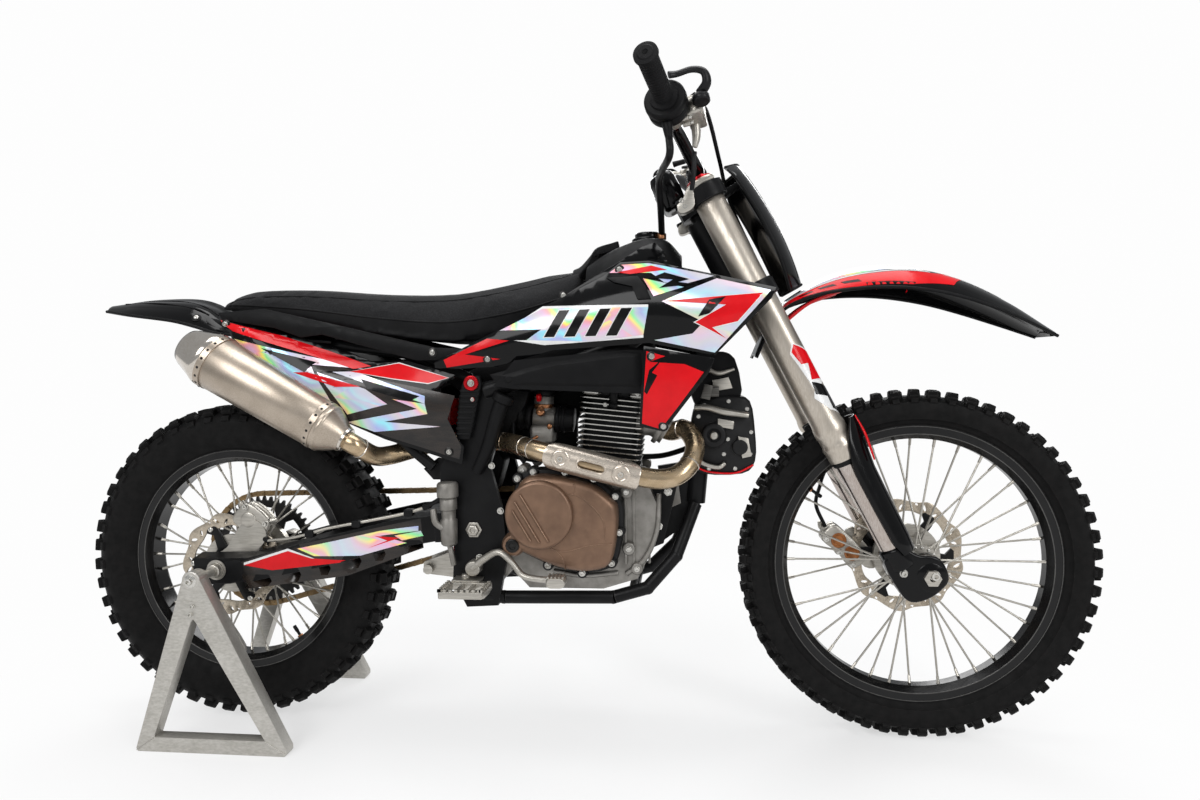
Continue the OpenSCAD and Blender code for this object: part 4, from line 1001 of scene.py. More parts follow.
def wheel_trim(name, body, centre, b, s, flange_half, valve_turn, hub_half):
    """Bright rings painted on the rim edges as a highlight, nipples, dimples and the valve of a wheel whose spokes
    end at radius b - 14.
    """
    for side in (-1, 1):
        y = side * (s + 4)
        # thin grey rings at the outer and inner edge of each rim face: a painted highlight along the edges
        edge = Shape()
        edge.lathe([(y + side * 0.5, b + 8.5), (y + side * 1.0, b + 8.8), (y + side * 1.0, b + 9.8),
                    (y + side * 0.3, b + 10.2)], centre, SIDE, 120, loop=True)
        edge.lathe([(y - side * 0.3, b - 6.6), (y + side * 0.5, b - 6.6), (y + side * 0.6, b - 4.9),
                    (y - side * 0.2, b - 4.6)], centre, SIDE, 120, loop=True)
        edge.piece(f"{name}_rim_edge_{'left' if side > 0 else 'right'}", body, rim_highlight_grey, "rim_black",
                   sharp=50)

    spots = []
    for side in (-1, 1):
        for i in range(18):
            start = math.radians(i * 20 + (10 if side > 0 else 0))
            lean = math.radians(38 if i % 2 == 0 else -38)
            hub_end = centre + Vector((38 * math.cos(start), side * (flange_half - 2),
                                       38 * math.sin(start))) * MM
            end = start + lean / 2
            rim_end = centre + Vector(((b - 14) * math.cos(end), side * 6, (b - 14) * math.sin(end))) * MM
            spots.append((rim_end, (hub_end - rim_end).normalized()))
    on_marks(name + "_nipples", NIPPLE, [(p - f * 0.6 * MM, f, 7.2) for p, f in spots], body,
             nipple_brass, 50)
    on_marks(name + "_nipple_seats", RIVET, [(p - f * 1.2 * MM, f, Vector((15, 15, 13)))
            for p, f in spots], body, rim_black, 40)

    a = math.radians(valve_turn)
    inward = -Vector((math.cos(a), 0, math.sin(a)))
    foot = centre - inward * ((b - 13) * MM)
    Shape().lathe([(-1, 5), (3, 5), (3.5, 3.2), (16, 3.2), (17, 4), (29, 4), (31, 3), (31, 0)], foot,
                  inward, 16).piece(
        name + "_valve", body, hose_black, "hose_black", bevel=0.3)
    Shape().lathe([(3, 6), (6.5, 6), (7, 5.4), (7, 3.4)], foot, inward, 6).piece(
        name + "_valve_nut", body, copper, "alloy", bevel=0.3)

    hub = Shape().lathe([(-hub_half + 16, 30), (-hub_half + 18, 33), (-hub_half + 24, 30.5), (-8, 28.6),
                         (8, 28.6),
                         (hub_half - 24, 30.5), (hub_half - 18, 33), (hub_half - 16, 30)], centre, SIDE,
                        48)
    hub.piece(name + "_hub_sleeve", body, hub_black, "rim_black", bevel=0.6)
    rings = []
    for side in (-1, 1):
        for k in range(18):
            a = 2 * math.pi * (k + 0.5 * (side > 0)) / 18
            place = centre + Vector((37.5 * math.cos(a), side * (hub_half - 7.4),
                                     37.5 * math.sin(a))) * MM
            rings.append((place, SIDE * side, 7.0))
    on_marks(name + "_spoke_heads", DOME, rings, body, bolt_silver, 40)


def wave(turn, count, low, high):
    """A radius that swings between low and high in leaning waves."""
    t = (turn * count / (2 * math.pi)) % 1.0
    rise = t / 0.62 if t < 0.62 else (1 - t) / 0.38
    return low + (high - low) * 0.5 * (1 - math.cos(math.pi * rise))


def ring_outline(count, low, high, sides=180, lag=0.0):
    out = []
    for k in range(sides):
        a = 2 * math.pi * k / sides
        r = wave(a + lag, count, low, high)
        out.append((r * math.cos(a), r * math.sin(a)))
    return out


def oval(r, turn, long, wide, lean):
    """A slot at radius r and angle turn, its length leaning from the radius."""
    out = []
    for k in range(12):
        a = 2 * math.pi * k / 12
        x, z = long / 2 * math.cos(a), wide / 2 * math.sin(a)
        u = r + x * math.cos(lean) - z * math.sin(lean)
        v = x * math.sin(lean) + z * math.cos(lean)
        out.append((u * math.cos(turn) - v * math.sin(turn), u * math.sin(turn) + v * math.cos(turn)))
    return out


def window(r0, r1, a0, a1):
    """A ring sector from radius r0 to r1 with its corners cut."""
    n = 8
    cut = 0.16 * (a1 - a0)
    out = [(r1, a0 + cut + (a1 - a0 - 2 * cut) * k / n) for k in range(n + 1)]
    out += [(0.5 * (r0 + r1), a1)] + [(r0, a1 - cut - (a1 - a0 - 2 * cut) * k / n) for k in range(n + 1)]
    out += [(0.5 * (r0 + r1), a0)]
    return [(r * math.cos(a), r * math.sin(a)) for r, a in out]


def at_axle(centre):
    return lambda x, y, z: centre + Vector((x, y, z)) * MM


def brake_disc(name, body, centre, d, y, side, carrier_r):
    """A wavy slotted disc on a black carrier with bolts. side is where its face looks."""
    r = d / 2
    place = at_axle(centre)
    holes = [ring_outline(9, r - 31, r - 27, 108, 0.3)]
    for k in range(9):
        a = 2 * math.pi * k / 9
        holes.append(oval(r - 14, a + 0.50, 16, 6, 0.75))
        holes.append(oval(r - 19, a + 0.26, 13, 5.5, -0.6))
        holes.append(oval(r - 11, a + 0.66, 7, 4, 1.3))
    rotor = Shape()
    flat_plate(rotor, [ring_outline(9, r - 8, r)] + holes, y - 2, y + 2, place)
    rotor.piece(name, body, disc_steel, "disc_steel", bevel=0.25, sharp=50, hides=[name])

    arms = []
    lugs = []
    for k in range(6):
        a = 2 * math.pi * k / 6
        reach = [(carrier_r - 2, a - 0.30), (r - 40, a - 0.20), (r - 27, a - 0.16), (r - 22, a - 0.1),
                 (r - 22, a + 0.1), (r - 27, a + 0.16), (r - 40, a + 0.02), (carrier_r - 2, a + 0.22)]
        arms += [(q * math.cos(t), q * math.sin(t)) for q, t in reach]
        lugs.append(place((r - 26) * math.cos(a), y + side * 3.2, (r - 26) * math.sin(a)))
    inner = Shape()
    flat_plate(inner, [arms, circle(24, 32)], y - side * 3.4, y + side * 3.2, place)
    inner.piece(name + "_carrier", body, hub_black, "rim_black", bevel=0.5, sharp=50)
    bolts(name + "_rivets", DOME, [(p, 12) for p in lugs], SIDE * side, body, bolt_silver)
    spots = [(place(34 * math.cos(a), y + side * 3.2, 34 * math.sin(a)), 9) for a in
             (math.pi * (k + 0.5) / 3 for k in range(6))]
    bolts(name + "_bolts", CAP, spots, SIDE * side, body, bolt_silver)


def wheels():
    tyre("front_tyre", "front_wheel", front_axle, 350, 42.5, 266.5, 20.5, 29, 17)
    tyre("rear_tyre", "rear_wheel", rear_axle, 338.5, 57.5, 228.5, 29.5, 24, 21)
    wheel_trim("front", "front_wheel", front_axle, 266.5, 20.5, 38, 144, 46)
    wheel_trim("rear", "rear_wheel", rear_axle, 228.5, 29.5, 48, -57, 56)
    brake_disc("front_disc", "front_wheel", front_axle, 240, 58, 1, 44)
    brake_disc("rear_disc", "rear_wheel", rear_axle, 220, -66, -1, 44)


wheels()


def rear_drive():
    """The toothed sprocket and the chain of plates and rollers round it."""
    place = at_axle(rear_axle)
    r = 115
    teeth = []
    for k in range(46):
        for share, q in ((0.0, r - 3.5), (0.18, r - 3.0), (0.34, r + 5.5), (0.5, r + 6.5),
                         (0.66, r + 5.5), (0.84, r - 3.0)):
            a = 2 * math.pi * (k + share) / 46
            teeth.append((q * math.cos(a), q * math.sin(a)))
    holes = [window(60, 96, 2 * math.pi * k / 6 + 0.16, 2 * math.pi * (k + 1) / 6 - 0.16)
             for k in range(6)]
    disc = Shape()
    flat_plate(disc, [teeth] + holes + [circle(24, 32)], 69.5, 74.5, place)
    disc.piece("rear_sprocket_toothed", "rear_wheel", sprocket_black, "sprocket_black", bevel=0.4,
               sharp=50, hides=["rear_sprocket"])
    spots = [(place(48 * math.cos(a), 74.5, 48 * math.sin(a)), 10)
             for a in (2 * math.pi * k / 6 for k in range(6))]
    bolts("sprocket_bolts", NUT, spots, SIDE, "rear_wheel", bolt_silver)

    front = Vector((625, 440 - 344.5))
    r0, r1 = r + 12.5, 38 + 7.5
    length, head = front.length, math.atan2(front.y, front.x)
    lap = math.acos((r0 - r1) / length)
    path = [Vector((r0 * math.cos(head + t), r0 * math.sin(head + t)))
            for t in (lap + (2 * math.pi - 2 * lap) * k / 60 for k in range(61))]
    path += [front + Vector((r1 * math.cos(head + t), r1 * math.sin(head + t)))
             for t in (-lap + 2 * lap * k / 30 for k in range(31))]
    path.append(path[0])
    total = sum((b - a).length for a, b in zip(path, path[1:]))
    count = 2 * round(total / 15.9 / 2)
    pitch = total / count
    spots = []
    walked, i = 0.0, 0
    for k in range(count):
        while walked + (path[i + 1] - path[i]).length < k * pitch:
            walked += (path[i + 1] - path[i]).length
            i += 1
        spots.append(path[i] + (path[i + 1] - path[i]).normalized() * (k * pitch - walked))
    marks = ([], [])
    for k in range(count):
        a, b = spots[k], spots[(k + 1) % count]
        mid, run = (a + b) / 2, (b - a).normalized()
        marks[k % 2].append((place(mid.x, 72, mid.y), SIDE, 1.0, Vector((run.x, 0, run.y))))

    def link(gap, thick, finish_of, name, which):
        outline = []
        for k in range(20):
            a = 2 * math.pi * k / 20
            outline.append(((pitch / 2 if math.cos(a) > 0 else -pitch / 2) + 6.2 * math.cos(a),
                            6.2 * math.sin(a) * (0.84 if abs(math.cos(a)) < 0.2 else 1)))
        part = Shape()
        for side in (-1, 1):
            part.rings([[Vector((x, z, side * y)) * MM for x, z in outline] for y in (gap, gap + thick)])
        for x in (-pitch / 2, pitch / 2):
            part.rod(Vector((x, 0, -gap - thick - 0.8)) * MM, Vector((x, 0, gap + thick + 0.8)) * MM,
                     5.4, 10)
        source = loose(part, name + "_part")
        on_marks(name, source, marks[which], "chassis", finish_of, 40,
                 ["drive_chain"] if which == 0 else ())
        drop(source)

    link(3.9, 1.6, chain_gold, "chain_outer_links", 0)
    link(2.2, 1.5, chain_gold, "chain_inner_links", 1)


rear_drive()

# ---------------------------------------------------------------- curved panels and stickers

class Skin:
    """A panel's smooth outside, from columns of (x, z, half width) from its top edge down."""

    def __init__(self, columns, spare=26.0):
        cols = [[Vector(p) for p in column] for column in columns]
        cols = [[c[0] + (c[0] - c[1]).normalized() * spare] + c
                + [c[-1] + (c[-1] - c[-2]).normalized() * spare]
                for c in cols]
        cols = [[a + (a - b).normalized() * spare for a, b in zip(cols[0], cols[1])]] + cols + [
            [a + (a - b).normalized() * spare for a, b in zip(cols[-1], cols[-2])]]
        rows = [smooth(list(row), 6) for row in zip(*cols)]
        fine = [smooth(list(column), 6) for column in zip(*rows)]
        n = len(fine[0])
        points = [Vector((p.x, p.z, p.y)) for column in fine for p in column]
        faces = [(i * n + j, i * n + j + 1, (i + 1) * n + j + 1, (i + 1) * n + j)
                 for i in range(len(fine) - 1) for j in range(n - 1)]
        self.tree = BVHTree.FromPolygons(points, faces)

    def half(self, x, z):
        hit = self.tree.ray_cast(Vector((x, 600, z)), Vector((0, -1, 0)))[0]
        return hit.y if hit else self.tree.find_nearest(Vector((x, 150, z)))[0].y

    def at(self, lift):
        return lambda x, z: bike(x, -self.half(x, z) - lift, z)


class NodeSkin(Skin):
    """The right-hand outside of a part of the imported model."""

    def __init__(self, *nodes):
        points, faces = [], []
        for node in nodes:
            data = frame["nodes"][node].data
            first = len(points)
            points += [(v.co - rear_axle - UP * -rear_axle.z) / MM for v in data.vertices]
            faces += [[first + i for i in f.vertices] for f in data.polygons]
        points = [Vector((p.x, p.y, p.z)) for p in points]
        self.tree = BVHTree.FromPolygons(points, faces)

    def half(self, x, z):
        hit = self.tree.ray_cast(Vector((x, -600, z)), Vector((0, 1, 0)))[0]
        return -hit.y if hit else -self.tree.find_nearest(Vector((x, -150, z)))[0].y


def panel(name, outlines, skin, thick, finish_of, slot, hides=(), body="chassis", lift=0.0, bevel=0.9,
          grid=15.0):
    """A panel of even thickness on both sides of the bike."""
    def draw(shape):
        for outline in outlines:
            plate_shape(shape, [dense(outline, 12)], skin.at(lift - thick), skin.at(lift), 0, grid)
    Shape().both(draw).piece(name, body, finish_of, slot, bevel=bevel, sharp=40, hides=hides)


def grown(outline, d):
    """An outline moved outwards by d."""
    n = len(outline)
    area = sum(a[0] * b[1] - b[0] * a[1] for a, b in zip(outline, outline[1:] + outline[:1]))
    turn = 1 if area > 0 else -1
    out = []
    for i in range(n):
        a, b, c = (Vector(outline[k % n]) for k in (i - 1, i, i + 1))
        u, v = (b - a).normalized(), (c - b).normalized()
        nu, nv = Vector((u.y, -u.x)) * turn, Vector((v.y, -v.x)) * turn
        mid = nu + nv
        reach = min(2.2, 2 / max(mid.length_squared, 0.2)) if mid.length > 1e-6 else 1
        out.append(tuple(b + mid * (d * reach)))
    return out


STICKER_BACK = 0.05


def stickers(name, finish_of, places, lift, body="chassis", edge=0.0):
    """Film cut to outlines, laid on skins. places are (skin, outlines)."""
    def draw(shape):
        for skin, outlines in places:
            for outline in outlines:
                cut = grown(outline, edge) if edge else outline
                plate_shape(shape, [dense(cut, 10)], skin.at(STICKER_BACK), skin.at(lift), 0, 14.0)
    Shape().both(draw).piece(name, body, finish_of, "gloss_black", sharp=40)


SHROUD = Skin([
    [(470, 770, 122), (476, 768, 124), (482, 765, 124), (490, 758, 122)],
    [(590, 828, 126), (596, 808, 136), (600, 788, 138), (604, 768, 132)],
    [(700, 878, 128), (704, 845, 146), (707, 812, 152), (708, 784, 142)],
    [(812, 926, 134), (812, 884, 160), (810, 838, 168), (808, 790, 156)],
    [(920, 940, 150), (916, 894, 178), (912, 842, 184), (900, 792, 168)],
    [(1024, 914, 172), (1022, 872, 198), (1018, 828, 202), (1008, 780, 184)],
    [(1112, 888, 190), (1110, 872, 204), (1104, 858, 206), (1096, 840, 200)]])
WING = Skin([
    [(890, 794, 166), (884, 740, 168), (880, 690, 166), (880, 640, 160)],
    [(945, 788, 178), (935, 736, 178), (925, 684, 174), (912, 634, 166)],
    [(1006, 784, 184), (990, 736, 184), (968, 690, 180), (934, 640, 168)]])
SIDE_PANEL = Skin([
    [(-11, 866, 92), (-9, 858, 100), (-6, 852, 102), (-2, 846, 100)],
    [(70, 852, 100), (72, 842, 118), (74, 832, 124), (76, 818, 124)],
    [(170, 818, 104), (172, 796, 128), (174, 774, 138), (176, 752, 138)],
    [(270, 780, 106), (276, 752, 132), (282, 724, 142), (288, 700, 140)],
    [(370, 772, 110), (378, 732, 136), (388, 690, 144), (400, 648, 138)],
    [(466, 762, 118), (470, 708, 138), (478, 664, 142), (486, 600, 136)]])
TANK_SIDE = Skin([
    [(700, 920, 96), (702, 900, 112), (704, 884, 120), (706, 860, 122)],
    [(800, 964, 104), (802, 940, 122), (804, 920, 130), (806, 880, 131)],
    [(880, 1000, 98), (882, 970, 118), (884, 945, 131), (886, 910, 132)],
    [(950, 1004, 84), (952, 980, 102), (954, 955, 122), (956, 920, 126)]])
UNDER_SEAT = Skin([
    [(0, 880, 92), (2, 874, 98), (4, 868, 100), (6, 862, 100)],
    [(120, 884, 104), (122, 868, 112), (124, 852, 114), (126, 832, 112)],
    [(240, 852, 108), (240, 844, 115), (240, 836, 116), (240, 826, 114)],
    [(450, 806, 112), (450, 796, 117), (450, 784, 117), (450, 766, 114)]])


def bodywork():
    # outlines are (x, z) on the bike, in steps of 5 mm
    shroud = [(475, 765), (700, 870), (815, 925), (845, 950), (900, 950), (1130, 890), (1120, 870),
              (1020, 770), (900, 795), (715, 785), (600, 755), (475, 750)]
    panel("shroud_panels", [shroud], SHROUD, 4, gloss_black, "gloss_black", ["shrouds"])
    wing = [(890, 790), (940, 780), (1020, 765), (1010, 740), (925, 630), (880, 640)]
    panel("shroud_wings", [wing], WING, 4, gloss_black, "gloss_black")
    side = [(-10, 865), (150, 830), (230, 810), (355, 765), (415, 770), (520, 740), (470, 705),
            (475, 680), (535, 600), (530, 565), (375, 615), (260, 665), (50, 810), (45, 835)]
    panel("side_panel_shells", [side], SIDE_PANEL, 4, gloss_black, "gloss_black", ["side_panels"])
    under = [(10, 875), (115, 880), (245, 850), (475, 795), (560, 790), (520, 770), (435, 770),
             (240, 825), (195, 820), (140, 840), (20, 860)]
    panel("under_seat_panels", [under], UNDER_SEAT, 3, plastic_black, "plastic_black")
    tank = [(700, 870), (840, 950), (885, 980), (910, 990), (925, 975), (935, 950), (900, 945),
            (840, 935), (800, 915)]
    panel("tank_side_panels", [tank], TANK_SIDE, 4, gloss_black, "gloss_black")

    bolt = [(930, 870), (1105, 880), (1060, 830), (1015, 820), (1040, 800), (985, 830), (1040, 860)]
    flash = [(305, 750), (400, 765), (505, 735), (465, 725), (395, 735)]
    slashes = [[(x, 810), (x + 20, 810), (x + 50, 860), (x + 30, 860)] for x in (700, 740, 780, 820)]
    holo = [
        (SHROUD, [
            [(825, 930), (845, 945), (900, 945), (1020, 915), (965, 900), (930, 905), (905, 925)],
            [(890, 915), (965, 895), (1020, 910), (910, 880)],
            [(925, 870), (1025, 910), (1120, 885), (1020, 775), (910, 800), (980, 810), (1000, 830)],
            [(610, 825), (695, 865), (900, 860), (890, 810), (790, 800), (665, 805), (695, 825)]]),
        (SIDE_PANEL, [
            [(55, 820), (330, 755), (225, 765), (285, 660), (260, 665)],
            [(240, 750), (340, 715), (385, 685), (300, 665)],
            [(270, 750), (315, 750), (460, 700), (460, 685)],
            [(395, 695), (460, 685), (465, 665), (375, 650), (490, 640), (355, 630), (300, 650),
             (445, 675)]])]
    red = [
        (SHROUD, [
            [(840, 930), (905, 940), (935, 930), (865, 925)], bolt,
            [(495, 770), (585, 810), (630, 805), (540, 780), (610, 770), (500, 755)]]),
        (WING, [[(895, 780), (930, 770), (900, 760), (965, 755), (1000, 740), (955, 680), (920, 635),
                 (885, 645)]]),
        (SIDE_PANEL, [
            [(15, 860), (150, 825), (345, 760), (310, 755), (55, 835)],
            [(190, 750), (220, 750), (330, 720), (280, 720)], flash])]
    black = [
        (SHROUD, slashes + [
            [(930, 925), (975, 910), (955, 905), (985, 900), (920, 895), (945, 910), (905, 915)],
            [(1010, 870), (1040, 875), (1010, 845), (990, 840)]]),
        (SIDE_PANEL, [[(330, 735), (450, 700), (430, 690), (345, 715)],
                      [(120, 800), (235, 770), (215, 750)]]),
        (WING, [[(895, 700), (915, 735), (905, 740), (925, 765), (900, 745), (890, 705)]])]
    white = [
        (SHROUD, [
            [(630, 830), (695, 870), (900, 865), (900, 860), (695, 865)],
            [(640, 805), (700, 795), (890, 805), (890, 810), (790, 800), (665, 805)]]),
        (SIDE_PANEL, [
            [(380, 750), (500, 735), (445, 730), (390, 740)],
            [(60, 810), (255, 675), (255, 670), (60, 805)]])]
    bronze_field = [(SIDE_PANEL, [[(70, 805), (300, 755), (340, 740), (520, 700), (505, 655), (530, 600),
                                   (525, 575), (380, 620), (260, 670)]])]
    stickers("bodywork_dark_film", bronze_film, bronze_field, 0.3)
    stickers("bodywork_white_film", white_film, white, 0.55)
    stickers("bodywork_white_edges", white_film, [(SHROUD, slashes + [bolt]), (SIDE_PANEL, [flash])],
             0.9, edge=1.7)
    stickers("bodywork_holographic", holo_film, holo, 0.7)
    stickers("bodywork_red", red_paint, red, 1.1)
    stickers("bodywork_black", black_film, black, 1.3)

    vent = Shape()
    vent_line = [(820, 920), (880, 920), (895, 900), (905, 875), (880, 875), (870, 900), (835, 910)]
    vent.both(lambda s: plate_shape(s, [dense(vent_line, 10)], SHROUD.at(0.4), SHROUD.at(3.4), 0, 12))
    vent.piece("shroud_vent_arms", "chassis", plastic_black, "plastic_black", bevel=1.0, sharp=40)

    spots = [SHROUD.at(0.6)(845, 935), TANK_SIDE.at(0.4)(735, 890), WING.at(0.4)(905, 770),
             WING.at(1.2)(925, 640),
             SIDE_PANEL.at(0.4)(35, 850), SIDE_PANEL.at(0.4)(505, 590), UNDER_SEAT.at(0.2)(470, 785),
             SHROUD.at(0.8)(585, 770)]
    for side, label in ((-1, "right"), (1, "left")):
        here = [p if side < 0 else flip(p) for p in spots]
        bolts(f"bodywork_washers_{label}", RIVET, [(p, Vector((19, 19, 9))) for p in here], SIDE * side,
              "chassis", dark_bolt)
        bolts(f"bodywork_bolts_{label}", CAP, [(p + SIDE * (side * 1.6 * MM), 8.5) for p in here],
              SIDE * side, "chassis", bolt_silver)


bodywork()


def air_duct_covers():
    """Faceted covers over the intake ducts, with a ridge along their middle."""
    outer = [(590, 740), (610, 715), (820, 710), (890, 705), (900, 715), (895, 785), (860, 790),
             (715, 770), (650, 755)]
    inner = [(640, 735), (660, 725), (820, 720), (870, 720), (875, 730), (870, 770), (845, 770),
             (715, 755), (670, 745)]

    def draw(s):
        s.rings([[bike(x, -120, z) for x, z in outer], [bike(x, -141, z) for x, z in outer],
                 [bike(x, -149, z) for x, z in inner]])
        s.rod(bike(628, -140, 731), bike(628, -147, 731), 15, 20, edge=1.5)
    Shape().both(draw).piece("air_duct_covers", "chassis", plastic_black, "plastic_black", bevel=1.6,
                             sharp=20)


air_duct_covers()

# ---------------------------------------------------------------- fenders

FRONT_FENDER = [
    (-30, 520, 56, 6), (40, 574, 62, 8), (105, 588, 66, 16), (190, 582, 88, 34), (280, 548, 102, 44),
    (360, 488, 100, 44), (430, 400, 82, 32), (492, 296, 46, 10)]
REAR_FENDER = [
    (-283, 902, 40, 14), (-200, 908, 72, 34), (-100, 906, 88, 46), (-44, 892, 92, 46),
    (6, 866, 92, 34), (120, 846, 92, 26), (250, 830, 92, 20)]


def fender_skin(rows, place, swept):
    """A fender's top as a function of the way along it, across it and above it."""
    fine = smooth([Vector(r) for r in rows], 12)

    def at(s, u, lift=0.0):
        i = min(max(s * 12, 0), len(fine) - 1.001)
        r = between(fine[int(i)], fine[int(i) + 1], i - int(i))
        ahead = (fine[int(i) + 1] - fine[int(i)]).normalized()
        fall = r[3] * abs(u) ** 4
        spine = -0.16 * r[3] * max(0.0, 1 - abs(u) / 0.22) ** 1.5
        slope = min(1.0, 4 * r[3] * abs(u) ** 3 / r[2])
        up_x, up_z = -ahead[1], ahead[0]
        size = math.hypot(up_x, up_z) or 1
        lean = math.cos(math.atan(slope))
        return place(r[0] - swept * fall + up_x / size * lift * lean,
                     u * r[2] + math.copysign(lift * (1 - lean ** 2) ** 0.5, u),
                     r[1] - fall - spine + up_z / size * lift * lean)
    return at


FRONT_TOP = fender_skin(FRONT_FENDER, fork, 0.4)
REAR_TOP = fender_skin(REAR_FENDER, bike, 0.0)


def fender(name, top, length, body, node):
    """A fender shell with a raised spine, rolled edges and a rim along its sides."""
    across = [-1, -0.97, -0.9, -0.8, -0.65, -0.5, -0.35, -0.24, -0.2, -0.1, 0, 0.1, 0.2, 0.24, 0.35, 0.5,
              0.65, 0.8, 0.9, 0.97, 1]
    steps = length * 8
    shell = Shape()
    loops = []
    for i in range(steps + 1):
        s = i / 8
        loops.append([top(s, u, 0.0) for u in across] + [top(s, u, -3.4) for u in reversed(across)])
    shell.rings(loops)
    shell.piece(name, body, gloss_black, "gloss_black", bevel=0.7, sharp=50, hides=[node])
    rim = Shape()
    for side in (-1, 1):
        rim.tube([top(s * length / 14, side * 0.985, -2.0) for s in range(15)], 6.5, 8, 3)
    rim.piece(name + "_rolled_edges", body, plastic_black, "plastic_black", sharp=60)


def fender_film(name, top, outlines, lift, finish_of, body):
    """Film on both halves of a fender, cut to outlines of (along, across)."""
    shape = Shape()
    for side in (-1, 1):
        for outline in outlines:
            fine = dense([(s * 10, u * 10) for s, u in outline], 1.2)
            plate_shape(shape, [fine], lambda a, b: top(a / 10, side * b / 10, 0.05),
                        lambda a, b: top(a / 10, side * b / 10, lift), 0, 1.0)
    shape.piece(name, body, finish_of, "gloss_black", sharp=40)


def fenders():
    fender("front_fender_shell", FRONT_TOP, 7, "steering", "front_fender")
    fender("rear_fender_shell", REAR_TOP, 6, "chassis", "rear_fender")
    red = [(1.0, 0.72), (2.2, 0.78), (3.6, 0.74), (4.7, 0.66), (5.5, 0.30), (5.0, 0.86), (4.2, 0.95),
           (3.2, 0.97), (2.0, 0.95), (1.2, 0.95)]
    holo = [(1.1, 0.68), (1.0, 0.45), (2.2, 0.42), (3.6, 0.40), (4.6, 0.18), (4.4, 0.56), (3.5, 0.68),
            (2.2, 0.72)]
    fender_film("front_fender_red", FRONT_TOP, [red], 0.6, red_paint, "steering")
    fender_film("front_fender_holographic", FRONT_TOP, [holo], 0.5, holo_film, "steering")
    fender_film("front_fender_white", FRONT_TOP, [
        [(4.9, 0.62), (5.9, 0.55), (6.35, 0.2), (5.7, 0.32)],
        [(1.05, 0.715), (2.2, 0.765), (3.6, 0.725), (4.65, 0.64), (4.6, 0.60), (3.55, 0.70),
         (2.2, 0.735), (1.1, 0.69)]],
        0.8, white_film, "steering")
    fender_film("front_fender_dashes", FRONT_TOP, [
        [(s, 0.845), (s + 0.34, 0.85), (s + 0.4, 0.9), (s + 0.06, 0.895)] for s in (1.9, 2.4, 2.9)], 0.9,
        black_film, "steering")

    recess = Shape()
    for side in (-1, 1):
        recess.tube([REAR_TOP(s, side * u, 0.3) for s, u in ((0.5, 0.6), (1.5, 0.66), (2.6, 0.7),
                (3.3, 0.72))], 3.2, 8, 6)
        recess.tube([REAR_TOP(s, side * u, 0.3) for s, u in ((0.9, 0.3), (1.8, 0.42), (2.8, 0.5),
                (3.6, 0.55))], 2.6, 8, 6)
    recess.piece("rear_fender_ribs", "chassis", plastic_black, "plastic_black", sharp=60)
    for side, label in ((-1, "right"), (1, "left")):
        here = [(REAR_TOP(2.9, side * 0.88, 0.4), (REAR_TOP(2.9, side * 0.88, 9) - REAR_TOP(2.9,
                side * 0.88, 0)).normalized())]
        on_marks(f"rear_fender_washer_{label}", RIVET, [(p, f, Vector((20, 20, 10))) for p, f in here],
                 "chassis", plastic_black)
        on_marks(f"rear_fender_bolt_{label}", DOME, [(p + f * 1.8 * MM, f, 11) for p, f in here],
                 "chassis", bolt_silver)
    under = Shape()
    for side in (-1, 1):
        under.tube([fork(20, side * 34, 552), fork(44, side * 44, 548), fork(110, side * 46, 560),
                    fork(180, side * 44, 552)],
                   12, 8, 5, flat=0.6)
    under.piece("front_fender_bracket", "steering", red_paint, "spring_red", bevel=0.4, sharp=50)


fenders()

# ---------------------------------------------------------------- engine

LEAN = math.radians(6)                       # of the cylinder, forward


def barrel(x, y, z):
    """A point in the cylinder's own directions, z up it from the crankcase."""
    return bike(805 + x * math.cos(LEAN) + z * math.sin(LEAN), y,
                526 - x * math.sin(LEAN) + z * math.cos(LEAN))


def rounded_box(wide, deep, corner, n=4):
    out = []
    for cx, cy, start in ((1, 1, 0), (-1, 1, 90), (-1, -1, 180), (1, -1, 270)):
        for k in range(n + 1):
            a = math.radians(start + 90 * k / n)
            out.append((cx * (wide - corner) + corner * math.cos(a),
                        cy * (deep - corner) + corner * math.sin(a)))
    return out


